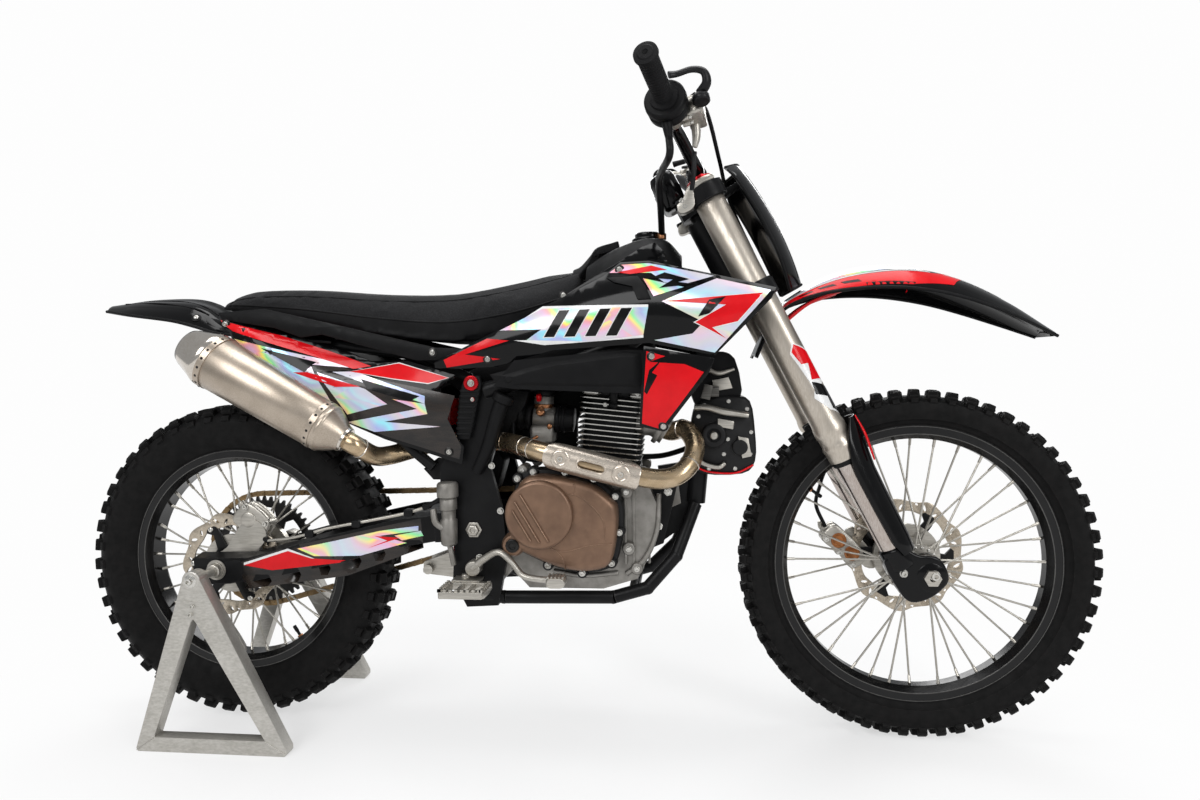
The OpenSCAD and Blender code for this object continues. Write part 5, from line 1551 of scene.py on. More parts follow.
def cylinder():
    core = Shape()
    for z0, z1, w, d in ((14, 168, 56, 54), (166, 186, 50, 50), (184, 196, 40, 44)):
        core.rings([[barrel(x, y, z) for x, y in rounded_box(w, d, 18)] for z in (z0, z1)])
    core.piece("cylinder_core", "chassis", engine_black, "engine_black", bevel=2, sharp=40,
               hides=["engine_cylinder"])
    pitch = barrel(0, 0, 10.6) - barrel(0, 0, 0)
    fin = Shape().rings([[barrel(x, y, 22 + z) for x, y in rounded_box(66, 67, 16)] for z in (0, 2.6)])
    in_row("cylinder_fins", fin, 14, pitch, "chassis", engine_black)
    edge = Shape()
    edge.rings([[barrel(x, y, 22.35 + z) for x, y in rounded_box(66 + g, 67 + g, 16)]
                for z, g in ((0, 0.2), (0, 1.2), (1.9, 1.2), (1.9, 0.2))], loop=True)
    in_row("cylinder_fin_edges", edge, 14, pitch, "chassis", bolt_silver)

    posts = Shape()
    for x0 in (-52, 42):
        posts.rings([[barrel(x0 + 7 + x, y, z) for x, y in rounded_box(17, 60, 10)]
                     for z in (166, 186, 194)])
        posts.rings([[barrel(x0 + 7 + x, -44 + y, z) for x, y in rounded_box(14, 15, 8)]
                     for z in (192, 200)])
    posts.piece("rocker_posts", "chassis", engine_grey, "engine_grey", bevel=2.5, sharp=40)
    rim = Shape()
    for x0 in (-45, 49):
        rim.rings([[barrel(x0 + x, y, 170 + z) for x, y in rounded_box(18.5 + g, 62 + g, 10)]
                   for z, g in ((0, 0), (0, 1.4), (2.2, 1.4), (2.2, 0))], loop=True)
    in_row("rocker_post_fins", rim, 3, barrel(0, 0, 8) - barrel(0, 0, 0), "chassis", bolt_silver)
    plug = Shape()
    plug.tube([barrel(2, -58, 150), barrel(2, -70, 166), barrel(0, -66, 186), barrel(-6, -40, 196)],
              [16, 19, 21, 16], 14, 5)
    plug.lathe([(-2, 12), (3, 12.5), (7, 10)], barrel(2, -60, 152),
               barrel(2, -70, 166) - barrel(2, -58, 150), 20)
    plug.piece("plug_cap", "chassis", hose_black, "hose_black", sharp=50)
    marks = [(barrel(x, -68.6, 178), 8) for x in (-45, 49)] + [(barrel(-14, -69, 150), 7)]
    bolts("head_bolts", CAP, marks, -SIDE, "chassis", bolt_silver)
    port = Shape()
    port.tube([barrel(50, -24, 118), barrel(84, -24, 117), barrel(112, -24, 104)], [58, 50, 56], 24, 5)
    port.lathe([(0, 33), (2, 34), (8, 34), (10, 32)], barrel(96, -24, 112),
               barrel(112, -24, 104) - barrel(90, -24, 115), 28)
    port.piece("exhaust_port", "chassis", engine_grey, "engine_grey", bevel=0.6, sharp=50)
    stay = Shape()
    stay.tube([barrel(40, 0, 186), barrel(70, 0, 214), barrel(110, 0, 232)], 14, 8, 4, flat=0.5)
    stay.piece("head_stay", "chassis", frame_black, "frame_black", sharp=50)


def covers():
    edge = rounded([(620, 415), (630, 465), (645, 530), (690, 545), (775, 530), (820, 500), (835, 475),
                    (830, 410), (810, 365), (735, 360), (645, 395)], 4)
    gasket = Shape()
    gasket.rings([[bike(x, y, z) for x, z in grown(edge, g)]
                  for y, g in ((-84, 10), (-106, 10), (-114, 7))])
    gasket.piece("clutch_cover_flange", "chassis", engine_black, "engine_black", bevel=1.2, sharp=40,
                 hides=["engine_covers"])
    cover = Shape()
    cover.rings([[bike(x, y, z) for x, z in grown(edge, g)]
                 for y, g in ((-100, 0), (-136, -0.5), (-142, -3), (-146.5, -8), (-148, -14))])
    cover.piece("clutch_cover", "chassis", bronze, "bronze", bevel=0.6, sharp=60)
    disc = Shape()
    disc.lathe([(0, 66), (12, 66), (15.5, 64), (17.5, 60.5), (17.5, 57), (16.6, 54), (16.6, 0)],
               bike(685, -146, 470), -SIDE, 72)
    ribs = Shape()
    # plain parallel ribs: how far each lies from the disc's middle, and where along itself it starts and ends
    for off, start, end in ((-9, -52, 52), (-25, -45, 46), (-38, -34, 34)):
        ribs.tube([bike(685 + off * 0.86 - along * 0.51, -163, 470 + off * 0.51 + along * 0.86)
                   for along in (start, end)],
                  7.5, 8, 1, flat=0.7)
    ribs.piece("clutch_disc_ribs", "chassis", bronze, "bronze", sharp=60)
    disc.piece("clutch_disc", "chassis", bronze, "bronze", bevel=0.4, sharp=50)
    seams = Shape()
    for path in ([(702, 404), (735, 398), (780, 410), (824, 414)], [(704, 407), (726, 388), (733, 364)],
                 [(740, 511), (770, 500), (806, 462), (812, 420)], [(752, 530), (755, 518), (748, 508)]):
        seams.tube([bike(x, -147.4, z) for x, z in path], 3.6, 8, 5, flat=0.8)
    seams.piece("clutch_cover_creases", "chassis", bronze, "bronze", sharp=60)

    spots = [(636, 535), (668, 548), (731, 547), (787, 534), (829, 500), (836, 430), (820, 369),
             (762, 349), (694, 363)]
    bosses = Shape()
    for x, z in spots:
        bosses.lathe([(0, 11.5), (20, 10.5), (22, 9)], bike(x, -98, z), -SIDE, 20)
    bosses.piece("cover_bosses", "chassis", engine_black, "engine_black", bevel=0.5, sharp=50)
    bolts("cover_bolts", CAP, [(bike(x, -120, z), 10.5) for x, z in spots], -SIDE, "chassis",
          bolt_silver)

    oil = Shape().lathe([(0, 24), (26, 23), (30, 20), (32, 20), (34, 18), (34, 12), (28, 11), (28, 0)],
                        bike(630, -112, 408), -SIDE, 28)
    oil.piece("oil_filler", "chassis", bronze, "bronze", bevel=0.6, sharp=50)
    Shape().lathe([(0, 13), (3, 14), (8, 13.5), (9, 11), (9, 7), (6, 6), (6, 0)], bike(630, -142, 408),
                  -SIDE, 12).piece(
        "oil_filler_cap", "chassis", dark_bolt, "lever_black", bevel=0.6, sharp=40)

    left = Shape()
    left.lathe([(0, 78), (28, 77), (34, 74), (38, 66), (38, 56), (36, 52), (36, 20), (40, 18), (40, 0)],
               bike(770, 86, 430), SIDE, 64)
    left.rings([[bike(x, y, z) for x, z in grown(rounded([(616, 392), (616, 492), (650, 508), (702, 502),
            (702, 380), (640, 374)], 3), g)] for y, g in ((86, 0), (96, 0), (100, -5))])
    left.piece("left_covers", "chassis", bronze, "bronze", bevel=0.8, sharp=40)
    marks = [(bike(770 + 70 * math.cos(a), 118, 430 + 70 * math.sin(a)), 9)
             for a in (2 * math.pi * k / 6 + 0.3 for k in range(6))]
    marks += [(bike(630, 100, 480), 9), (bike(632, 100, 398), 9), (bike(690, 100, 490), 9)]
    bolts("left_cover_bolts", CAP, marks, SIDE, "chassis", bolt_silver)


def crankcase():
    """Ribs, flanges and lugs on the grey cases."""
    ribs = Shape()
    for side in (-1, 1):
        for x in (846, 862, 878, 892):
            ribs.rings([[bike(x + dx, side * y, z) for dx, z in ((-2.2, 360), (2.2, 360), (3, 520),
                    (-3, 520))]
                        for y in (70, 92 - (x - 846) * 0.25)])
        ribs.tube([bike(846, side * 86, 340), bike(884, side * 88, 372), bike(908, side * 86, 430),
                   bike(912, side * 80, 500)],
                  11, 10, 6)
        ribs.tube([bike(700, side * 86, 344), bike(760, side * 88, 336), bike(830, side * 86, 342)], 10,
                  10, 6)
        ribs.tube([bike(735, side * 86, 548), bike(800, side * 88, 548), bike(880, side * 84, 538)], 12,
                  10, 6)
        for x, z, r in ((848, 505, 14), (852, 392, 14), (868, 352, 13), (728, 556, 12), (880, 540, 12),
                        (642, 548, 12)):
            ribs.lathe([(0, r), (34, r - 1), (36, r - 3)], bike(x, side * 60, z), SIDE * side, 20)
    ribs.piece("crankcase_ribs", "chassis", engine_grey, "engine_grey", bevel=0.8, sharp=45)
    for side, label in ((-1, "right"), (1, "left")):
        spots = [(bike(x, side * 96, z), 9.5) for x, z in ((848, 505), (852, 392), (868, 352),
                (728, 556), (880, 540), (642, 548))]
        bolts(f"crankcase_bolts_{label}", CAP, spots, SIDE * side, "chassis", bolt_silver)
    sump = Shape()
    sump.prism([(640, 352), (700, 332), (800, 330), (862, 344), (862, 352), (700, 352)], -70, 70)
    sump.lathe([(0, 15), (14, 15), (16, 12), (16, 0)], bike(760, -70, 342), -SIDE, 6)
    sump.piece("sump", "chassis", engine_grey, "engine_grey", bevel=3, sharp=35)
    mount = Shape()
    hole = [(900, 510), (950, 520), (920, 395), (860, 370), (820, 375), (810, 400), (850, 430),
            (880, 470)]
    for side in (-1, 1):
        mount.rings([[bike(x, side * y, z) for x, z in grown(hole, g)]
                     for y, g in ((50, -1), (51, 0), (55, 0), (56, -1))])
    mount.piece("engine_mount_plates", "chassis", frame_black, "frame_black", sharp=40)
    for side, label in ((-1, "right"), (1, "left")):
        spots = [(bike(x, side * 56, z), 12) for x, z in ((930, 500), (910, 430), (840, 400), (865, 490))]
        bolts(f"engine_mount_bolts_{label}", NUT, spots, SIDE * side, "chassis", bolt_silver)


def carburettor():
    body = Shape()
    body.rod(bike(700, -18, 646), bike(652, -18, 650), 50, 28, edge=2)
    body.rings([[bike(672 + x, -18 + y, z) for x, y in rounded_box(w, d, 8)]
                for z, w, d in ((596, 20, 24), (600, 24, 28), (628, 25, 29), (634, 22, 25))])
    body.rod(bike(672, -18, 640), bike(674, -18, 694), 42, 28, edge=2)
    body.piece("carburettor_body", "chassis", engine_grey, "engine_grey", bevel=1.2, sharp=40,
               hides=["carburettor"])
    brass = Shape()
    brass.rod(bike(672, -44, 660), bike(672, -56, 664), 18, 12, edge=1)
    brass.rod(bike(690, -44, 632), bike(690, -52, 632), 11, 12, edge=1)
    brass.rod(bike(660, -18, 588), bike(660, -18, 597), 18, 12, edge=1)
    brass.lathe([(0, 22), (8, 23), (10, 20)], bike(672, -18, 668), UP, 24)
    brass.tube([bike(664, -46, 612), bike(650, -52, 600), bike(640, -50, 578)], 7, 8, 5)
    brass.piece("carburettor_brass", "chassis", copper, "alloy", bevel=0.4, sharp=50)
    cap = Shape()
    cap.rod(bike(674, -18, 692), bike(674, -18, 706), 46, 10, edge=3)
    cap.tube([bike(674, -18, 704), bike(676, -18, 724), bike(700, -10, 746)], 8, 10, 5)
    cap.lathe([(-3, 29), (0, 30), (4, 30), (5, 27), (10, 27), (11, 30), (15, 30), (17, 27), (34, 26)],
              bike(703, -18, 646), bike(740, -18, 643) - bike(703, -18, 646), 28)
    cap.lathe([(0, 28), (3, 31), (10, 31), (12, 28), (20, 29), (22, 33), (28, 33), (30, 30), (60, 34),
               (110, 38)],
              bike(654, -18, 650), bike(560, 0, 664) - bike(654, -18, 650), 28)
    cap.piece("carburettor_boots", "chassis", hose_black, "hose_black", bevel=0.6, sharp=40)
    Shape().rod(bike(668, -42, 684), bike(668, -48, 698), 11, 12, edge=1.5).piece(
        "choke_knob", "chassis", red_paint, "spring_red", bevel=0.6)
    dark = Shape()
    dark.prism([(500, 700), (572, 706), (650, 706), (640, 676), (618, 640), (596, 610), (560, 606),
                (520, 620)], -46, 46)
    dark.prism([(470, 600), (560, 610), (590, 560), (572, 500), (540, 470), (470, 520)], -30, 30)
    dark.prism([(560, 560), (560, 730), (760, 745), (770, 690), (735, 640), (735, 560), (640, 545)], 42,
               60)
    dark.prism([(470, 726), (620, 790), (780, 800), (905, 800), (905, 730), (640, 700), (520, 690)], -34,
               34)
    dark.rings([[bike(x, y, z) for x, z in rounded([(985, 672), (978, 770), (1028, 780), (1066, 764),
            (1074, 676)], 3)]
                for y in (-34, 34)])
    dark.piece("inner_mudguard", "chassis", plastic_black, "plastic_black", bevel=6, sharp=30)


def cooler():
    """The small unit and bracket behind the lower wing, ahead of the frame's front tube."""
    unit = Shape()
    unit.rings([[bike(x, y, z) for x, z in grown(rounded([(980, 560), (978, 640), (1000, 682),
            (1060, 690), (1094, 680), (1104, 620), (1104, 560), (1078, 534), (1000, 534)], 3), g)]
                for y, g in ((-44, -6), (-40, 0), (40, 0), (44, -6))])
    unit.lathe([(0, 26), (8, 26), (12, 22), (12, 14), (9, 12), (9, 0)], bike(1022, -42, 612), -SIDE, 32)
    unit.lathe([(0, 17), (6, 17), (9, 14), (9, 0)], bike(1074, -42, 588), -SIDE, 24)
    unit.piece("oil_unit", "chassis", engine_black, "engine_black", bevel=1.5, sharp=40,
               hides=["oil_cooler"])
    core = Shape().rings([[bike(1002 + x, y, 700 + z) for y, z in rounded_box(74, 10, 4)]
                          for x in (0, 30)])
    core.prism([(996, 688), (1014, 684), (1020, 712), (1004, 716)], -80, -74)
    core.piece("oil_unit_core", "chassis", cooler_core, "frame_black", bevel=1, sharp=40)
    metal = Shape()
    metal.tube([bike(984, -50, 668), bike(1010, -54, 668), bike(1040, -56, 660), bike(1090, -54, 652)],
               [14, 16, 17, 15], 12, 5, flat=0.8)
    metal.prism([(1030, 646), (1062, 640), (1060, 624), (1030, 630)], -52, -42)
    metal.prism([(1070, 610), (1090, 606), (1096, 570), (1078, 566)], -50, -42)
    metal.lathe([(0, 8), (3, 8), (5, 6), (5, 0)], bike(1022, -54, 612), -SIDE, 20)
    metal.tube([bike(982, -46, 572), bike(1000, -50, 556), bike(1030, -50, 548), bike(1044, -48, 556)],
               9, 10, 5)
    metal.prism([(1022, 700), (1060, 706), (1052, 728), (1020, 722)], -44, -32)
    metal.tube([bike(1000, -40, 752), bike(1030, -44, 736), bike(1064, -40, 744)], [12, 14, 10], 10, 5,
               flat=0.7)
    metal.rod(bike(1000, -30, 600), bike(984, -16, 596), 16, 12, edge=1)
    metal.rod(bike(1000, 30, 570), bike(980, 14, 566), 16, 12, edge=1)
    metal.piece("oil_unit_fittings", "chassis", alloy, "alloy", bevel=1.2, sharp=40)
    spots = [(bike(x, -44, z), 6.5) for x, z in ((992, 650), (1004, 672), (1052, 680), (1088, 664),
            (1096, 618), (1094, 574), (1064, 545), (1012, 545), (990, 590), (1050, 604), (1042, 574))]
    bolts("oil_unit_bolts", CAP, spots, -SIDE, "chassis", bolt_silver)
    Shape().both(lambda s: s.tube([bike(986, -45, 548), bike(1014, -46, 538), bike(1064, -46, 536),
                                   bike(1100, -45, 552)],
                                  4, 8, 5)).piece("oil_unit_red_edge", "chassis", red_paint,
                                          "spring_red", sharp=60)


def exhaust():
    rear, front = bike(34, -166, 778), bike(271, -166, 639)
    along = (front - rear).normalized()

    def down(d):
        return front + along * d * MM

    path = [barrel(88, -24, 115), barrel(120, -24, 106), bike(966, -52, 624), bike(984, -92, 594),
            bike(966, -128, 556),
            bike(920, -144, 538), bike(830, -148, 554), bike(730, -148, 580), bike(680, -136, 592),
            bike(640, -106, 599),
            bike(600, -77, 603), bike(540, -72, 604), bike(450, -72, 600), bike(405, -79, 588),
            bike(372, -104, 580), bike(350, -130, 582), down(68), down(48), down(30)]
    pipe = Shape().tube(path, 38.5, 28, 8)
    pipe.piece("exhaust_pipe", "chassis", header_steel, "header", sharp=60, hides=["exhaust_header"])
    welds = Shape()
    line = smooth(path, 8)
    for i in (14, 30, 44, 66, 70, 80, 100, 126):
        run = (line[i + 1] - line[i - 1]).normalized()
        welds.lathe([(-1.6, 19.2), (-1.0, 20.3), (1.0, 20.3), (1.6, 19.2)], line[i], run, 28)
    welds.lathe([(-4, 24), (-3, 25.5), (9, 25.5), (10, 24)], down(36), along, 32)
    welds.piece("exhaust_welds", "chassis", polished, "header", sharp=40)

    axis = (bike(878, -148, 542) - bike(700, -147, 588)).normalized()
    foot = bike(700, -146.5, 588)
    out = axis.cross(Vector((0, 0, 1))).normalized()
    out = out if out.y < 0 else -out
    over = axis.cross(out).normalized()
    over = over if over.z > 0 else -over

    def wrap(u, v, r):
        a = v / 27
        return foot + (axis * u + out * (r * math.cos(a)) + over * (r * math.sin(a))) * MM

    outline = rounded([(-2, 0), (4, 22), (22, 34), (60, 36), (120, 36), (160, 34), (182, 24), (186, 0),
                       (182, -24), (160, -34), (120, -36), (60, -36), (22, -34), (4, -22)], 3)
    slot = rounded([(66, 0), (72, 6.5), (92, 7), (112, 6.5), (118, 0), (112, -6.5), (92, -7),
                    (72, -6.5)], 3)
    cup = [[(x + 9 * math.cos(2 * math.pi * k / 16), 9 * math.sin(2 * math.pi * k / 16))
            for k in range(16)] for x in (32, 150)]
    shield = Shape()
    plate_shape(shield, [dense(outline, 8), slot] + cup, lambda u, v: wrap(u, v, 25.5),
                lambda u, v: wrap(u, v, 28), 0, 7)
    shield.piece("exhaust_heat_shield", "chassis", shield_steel, "alloy", bevel=0.6, sharp=40,
                 hides=["heat_shield"])
    rims = Shape()
    for u in (32, 150):
        rims.lathe([(23, 9.2), (28.6, 9.6), (30.4, 12.5), (29.4, 16.5), (27.2, 18.5), (27, 16)],
                   foot + axis * u * MM, out, 28)
    for r, u0, u1 in ((8.6, 66, 118),):
        ring = rounded([(u0 - 2, 0), (u0 + 5, r), (92, r + 1), (u1 - 5, r), (u1 + 2, 0), (u1 - 5, -r),
                        (92, -r - 1), (u0 + 5, -r)], 3)
        rims.tube([wrap(u, v, 28.2) for u, v in ring + ring[:1]], 3.4, 8, 1)
    rims.piece("heat_shield_pressings", "chassis", shield_steel, "alloy", sharp=50)
    bolts("heat_shield_bolts", CAP, [(foot + (axis * u + out * 24) * MM, 11) for u in (32, 150)], out,
          "chassis", bolt_silver)

    length = (front - rear).length / MM
    can = Shape().lathe([(-14, 48), (0, 54.2), (1, 55), (length * 0.5, 51.6), (length - 1, 48.2),
                         (length, 47.4),
                         (length + 14, 41), (length + 34, 28), (length + 40, 26.5), (length + 40, 23)],
                        rear, along, 72)
    can.piece("muffler_can", "chassis", titanium, "titanium", bevel=0.5, sharp=50, hides=["muffler"])
    cap = Shape().lathe([(-52, 26), (-54, 30), (-53, 35), (-46, 39), (-14, 50), (-4, 54.6), (2, 55.9),
                         (8, 55.9), (9, 55)],
                        rear, along, 72)
    cap.lathe([(-56, 22), (-53, 26), (-12, 26), (-12, 22)], rear, along, 48, loop=True)
    cap.piece("muffler_end_cap", "chassis", polished, "titanium", bevel=0.4, sharp=50)
    bands = Shape()
    for d, r in ((14, 55.0), (length - 16, 48.9)):
        bands.lathe([(d - 7, r - 0.4), (d - 6, r + 1.0), (d + 6, r + 0.9), (d + 7, r - 0.6)], rear,
                    along, 72)
    bands.lathe([(length - 5, 47.9), (length - 3, 48.8), (length + 1, 48.4), (length + 3, 46.6)], rear,
                along, 72)
    bands.piece("muffler_bands", "chassis", titanium, "titanium", sharp=40)
    side = along.cross(SIDE).normalized()
    marks = []
    for d, r in ((14, 55.8), (length - 16, 49.6)):
        for k in range(18):
            a = 2 * math.pi * k / 18
            f = side * math.cos(a) + SIDE * math.sin(a)
            marks.append((rear + along * d * MM + f * r * MM, f, 5.5))
    on_marks("muffler_rivets", RIVET, marks, "chassis", dark_bolt)
    hanger = Shape()
    hanger.tube([rear + along * 96 * MM + Vector((0, 0.04, 0.03)), bike(120, -116, 780),
                 bike(128, -84, 800)], 13, 10, 4, flat=0.5)
    hanger.piece("muffler_hanger", "chassis", frame_black, "frame_black", sharp=50)


cylinder()
covers()
crankcase()
carburettor()
cooler()
exhaust()

# ---------------------------------------------------------------- fork and steering head

STANCHION_LOW, TUBE_LOW, TUBE_HIGH = 40, 267, 863


def fork_round(side, z, r, a, dx=0.0):
    """A point round a fork leg, its angle measured from straight ahead."""
    return fork(LEG_X + dx + r * math.cos(a), side * LEG_Y + r * math.sin(a), z)


def fork_legs():
    tubes, seals, legs, feet = Shape(), Shape(), Shape(), Shape()
    for side in (-1, 1):
        foot = fork(LEG_X, side * LEG_Y, 0)
        tubes.lathe([(TUBE_LOW, 24), (268, 28), (274, 29.3), (288, 29.3), (291, 30.6), (296, 31.2),
                     (300, 30.6),
                     (303, 29.4), (318, 29.4), (322, 31.4), (330, 31.8), (337, 31), (346, 29.2),
                     (360, 29),
                     (TUBE_HIGH - 2, 29), (TUBE_HIGH, 27.5), (TUBE_HIGH, 20)], foot, steer_up, 64)
        seals.lathe([(258, 23.5), (259, 26.5), (266, 27.5), (268, 27.5), (268, 24)], foot, steer_up, 48)
        legs.lathe([(STANCHION_LOW, 23), (300, 23)], foot, steer_up, 64)
        sole = [(-4, 62), (20, 70), (44, 66), (60, 46), (86, 30), (92, 8), (86, -18), (64, -30),
                (34, -34), (6, -26), (-4, 0)]
        sole = rounded(sole, 3)
        feet.rings([[fork(x, side * y, z) for x, z in grown(sole, g)]
                    for y, g in ((80, -3), (82, 0), (118, 0), (120.5, -3))])
        feet.lathe([(36, 24), (38, 28), (76, 28), (80, 24.5)], foot, steer_up, 40)
        feet.lathe([(-21.5, 26), (-20, 28.5), (20, 28.5), (21.5, 26)], fork(60, side * LEG_Y, 0), SIDE,
                   48)
    tubes.piece("fork_outer_tubes", "steering", fork_titanium, "fork_titanium", sharp=40,
                hides=["fork_tubes"])
    seals.piece("fork_dust_seals", "steering", hose_black, "hose_black", bevel=0.5, sharp=40)
    legs.piece("fork_stanchions", "steering", fork_leg, "fork_leg", sharp=40, hides=["fork_legs"])
    feet.piece("fork_feet", "steering", gloss_black, "gloss_black", bevel=1.5, sharp=35)
    caps, rings = Shape(), Shape()
    for side in (-1, 1):
        top = fork(LEG_X, side * LEG_Y, TUBE_HIGH)
        caps.lathe([(-2, 26), (2, 26), (4, 24), (4, 17), (8, 16.5), (8, 9), (6, 8), (6, 0)], top,
                   steer_up, 40)
        rings.lathe([(8, 9), (9.5, 9), (9.5, 3), (8.5, 0)], top, steer_up, 24)
    caps.piece("fork_caps", "steering", red_anodised, "spring_red", bevel=0.6, sharp=40)
    rings.piece("fork_adjusters", "steering", bolt_silver, "alloy", bevel=0.4, sharp=40)
    for side, label in ((-1, "right"), (1, "left")):
        spots = [(fork(18, side * 121, 30), 12), (fork(66, side * 121.5, 2), 16)]
        bolts(f"fork_foot_bolts_{label}", CAP, spots, SIDE * side, "steering", bolt_silver)

    guards, strips = Shape(), Shape()
    for side in (-1, 1):
        loops = []
        for z, wide, front in ((62, 74, 38), (90, 88, 40), (160, 92, 41), (232, 92, 43), (262, 84, 47),
                               (300, 60, 50), (336, 30, 53)):
            outer, inner = [], []
            for k in range(13):
                a = math.radians(-wide + 2 * wide * k / 12)
                r = 33 + (front - 33) * math.cos(a / 1.2) ** 4
                outer.append(fork_round(side, z, r, a))
                inner.append(fork_round(side, z, r - 3.2, a))
            loops.append(outer + inner[::-1])
        guards.rings(loops)
        strips.tube([fork(LEG_X + x, side * (LEG_Y + y), z) for x, y, z in
                     ((52, 10, 334), (52, 16, 300), (47, 24, 268), (43, 26, 246))], [5, 9, 9, 5], 10, 5,
                    flat=0.5)
    guards.piece("fork_guard_shells", "steering", gloss_black, "gloss_black", bevel=0.8, sharp=35,
                 hides=["fork_guards"])
    strips.piece("fork_guard_strips", "steering", red_paint, "spring_red", sharp=60)

    for name, finish_of, r, shapes in (
            ("fork_film_white", white_film, 29.35, [[(-4, 492), (8, 510), (40, 484), (36, 420), (6, 404),
                    (4, 432), (0, 466)], [(4, 410), (40, 402), (44, 345), (16, 366), (-2, 398)]]),
            ("fork_film_red", red_paint, 29.6, [[(0, 494), (10, 506), (36, 482), (33, 425), (10, 432),
                    (20, 462), (6, 466)]]),
            ("fork_film_black", black_film, 29.7, [[(8, 428), (37, 408), (40, 350), (24, 366), (26, 390),
                    (4, 404)]])):
        film = Shape()
        for side in (-1, 1):
            for shape in shapes:
                def wrap(v, z, lift):
                    a = side * (math.pi / 2 - v / 29)
                    return fork_round(side, z, lift, a)
                plate_shape(film, [dense(shape, 6)], lambda v, z: wrap(v, z, 29.05),
                            lambda v, z: wrap(v, z, r), 0, 7)
        film.piece(name, "steering", finish_of, "gloss_black", sharp=50)


def clamps():
    rings = Shape()
    marks = []
    for z, h in ((610, 30), (821, 28)):
        for side in (-1, 1):
            foot = fork(LEG_X, side * LEG_Y, z)
            rings.lathe([(-2, 29.4), (-2, 34), (0, 36), (h, 36), (h + 2, 34), (h + 2, 29.4)], foot,
                        steer_up, 48, loop=True)
            rings.prism([(-8, z + 2), (-34, z + 3), (-36, z + h - 3), (-8, z + h - 2)], side * 108,
                        side * 126, fork)
            rings.prism([(14, z + 4), (38, z + 4), (38, z + h - 4), (14, z + h - 4)], side * 60,
                        side * 84, fork)
            rings.tube([fork(20, side * 96, z + h / 2), fork(26, side * 60, z + h / 2),
                        fork(10, side * 20, z + h / 2)], 34, 12, 4,
                       flat=0.75)
            marks += [(side, fork(-24, side * 126, z + h * 0.3), 9),
                      (side, fork(-24, side * 126, z + h * 0.72), 9)]
    for y in (-42, 42):
        rings.rings([[fork(32 + x, y + w, z) for x, w in rounded_box(15, 13, 5)] for z in (846, 900)])
        rings.rod(fork(32, y - 14, 885), fork(32, y + 14, 885), 40, 24, edge=2)
    rings.piece("steering_clamps", "steering", frame_black, "frame_black", bevel=1.4, sharp=35)
    for side, label in ((-1, "right"), (1, "left")):
        bolts(f"clamp_bolts_{label}", CAP, [(p, d) for s, p, d in marks if s == side], SIDE * side,
              "steering", bolt_silver)
    plates = Shape()
    for side in (-1, 1):
        edge = rounded([(-38, 822), (-20, 818), (-6, 824), (4, 846), (24, 852), (46, 850), (48, 856),
                        (20, 860), (-6, 856), (-22, 842), (-36, 838)], 3)
        plates.rings([[fork(x, side * y, z) for x, z in edge] for y in (104, 131)])
    plates.piece("clamp_plates", "steering", alloy, "alloy", bevel=1.2, sharp=40)
    marks = [(fork(32 + x, y, 901), 8) for y in (-42, 42) for x in (-9, 9)]
    bolts("bar_clamp_bolts", CAP, marks, steer_up, "steering", bolt_silver)
    nut = Shape().lathe([(0, 20), (8, 20), (10, 18), (10, 11), (5, 10), (5, 0)], fork(0, 0, 848),
                        steer_up, 6)
    nut.piece("stem_nut", "steering", bolt_silver, "alloy", bevel=1, sharp=35)
    pod = Shape().rings([[fork(-30 + x, y, z) for x, y in rounded_box(w, d, c, 6)]
                         for z, w, d, c in ((852, 18, 34, 12), (858, 24, 42, 18), (890, 27, 46, 22),
                                            (914, 27, 46, 22), (925, 24, 43, 20), (928, 18, 37, 14))])
    pod.piece("instrument_pod", "steering", gloss_black, "gloss_black", bevel=2, sharp=30)


# ---------------------------------------------------------------- number plate

def number_plate():
    rows = smooth([Vector(r) for r in ((600, 66), (625, 84), (660, 97), (700, 104), (760, 107),
                                       (810, 104), (845, 96), (868, 74))], 5)

    def at(u, z, half, lift=0.0):
        return fork(128 - 34 * abs(u) ** 3 - 0.0006 * (z - 730) ** 2 + lift, u * half, z)

    across = [k / 12 - 1 for k in range(25)]
    plate = Shape().rings([[at(u, z, half) for u in across] + [at(u, z, half, -3.4)
            for u in reversed(across)]
                           for z, half in rows])
    plate.piece("number_plate_shell", "steering", gloss_black, "gloss_black", bevel=0.8, sharp=45,
                hides=["number_plate"])
    ribs = Shape()
    for side in (-1, 1):
        ribs.tube([at(side * 0.985, z, half, -1) for z, half in rows[::3]], 6, 10, 3)
        ribs.tube([at(side * 0.55, z, half, -2.5) for z, half in rows[3:-3:3]], 7, 8, 3, flat=0.6)
    ribs.tube([at(u, 868, 74, -1) for u in (-0.98, -0.5, 0, 0.5, 0.98)], 6, 10, 4)
    ribs.tube([at(u, 600, 66, -1) for u in (-0.98, -0.5, 0, 0.5, 0.98)], 6, 10, 4)
    ribs.prism([(55, 826), (124, 834), (124, 842), (55, 842)], -17, 17, fork)
    ribs.piece("number_plate_edges", "steering", plastic_black, "plastic_black", bevel=0.8, sharp=50)
    line = Shape()
    for side in (-1, 1):
        line.tube([at(side * 1.0, z, half, 1.6) for z, half in rows[2:-2:3]], 1.6, 6, 3)
    line.piece("number_plate_lines", "steering", bolt_silver, "alloy", sharp=60)


# ---------------------------------------------------------------- handlebar and controls

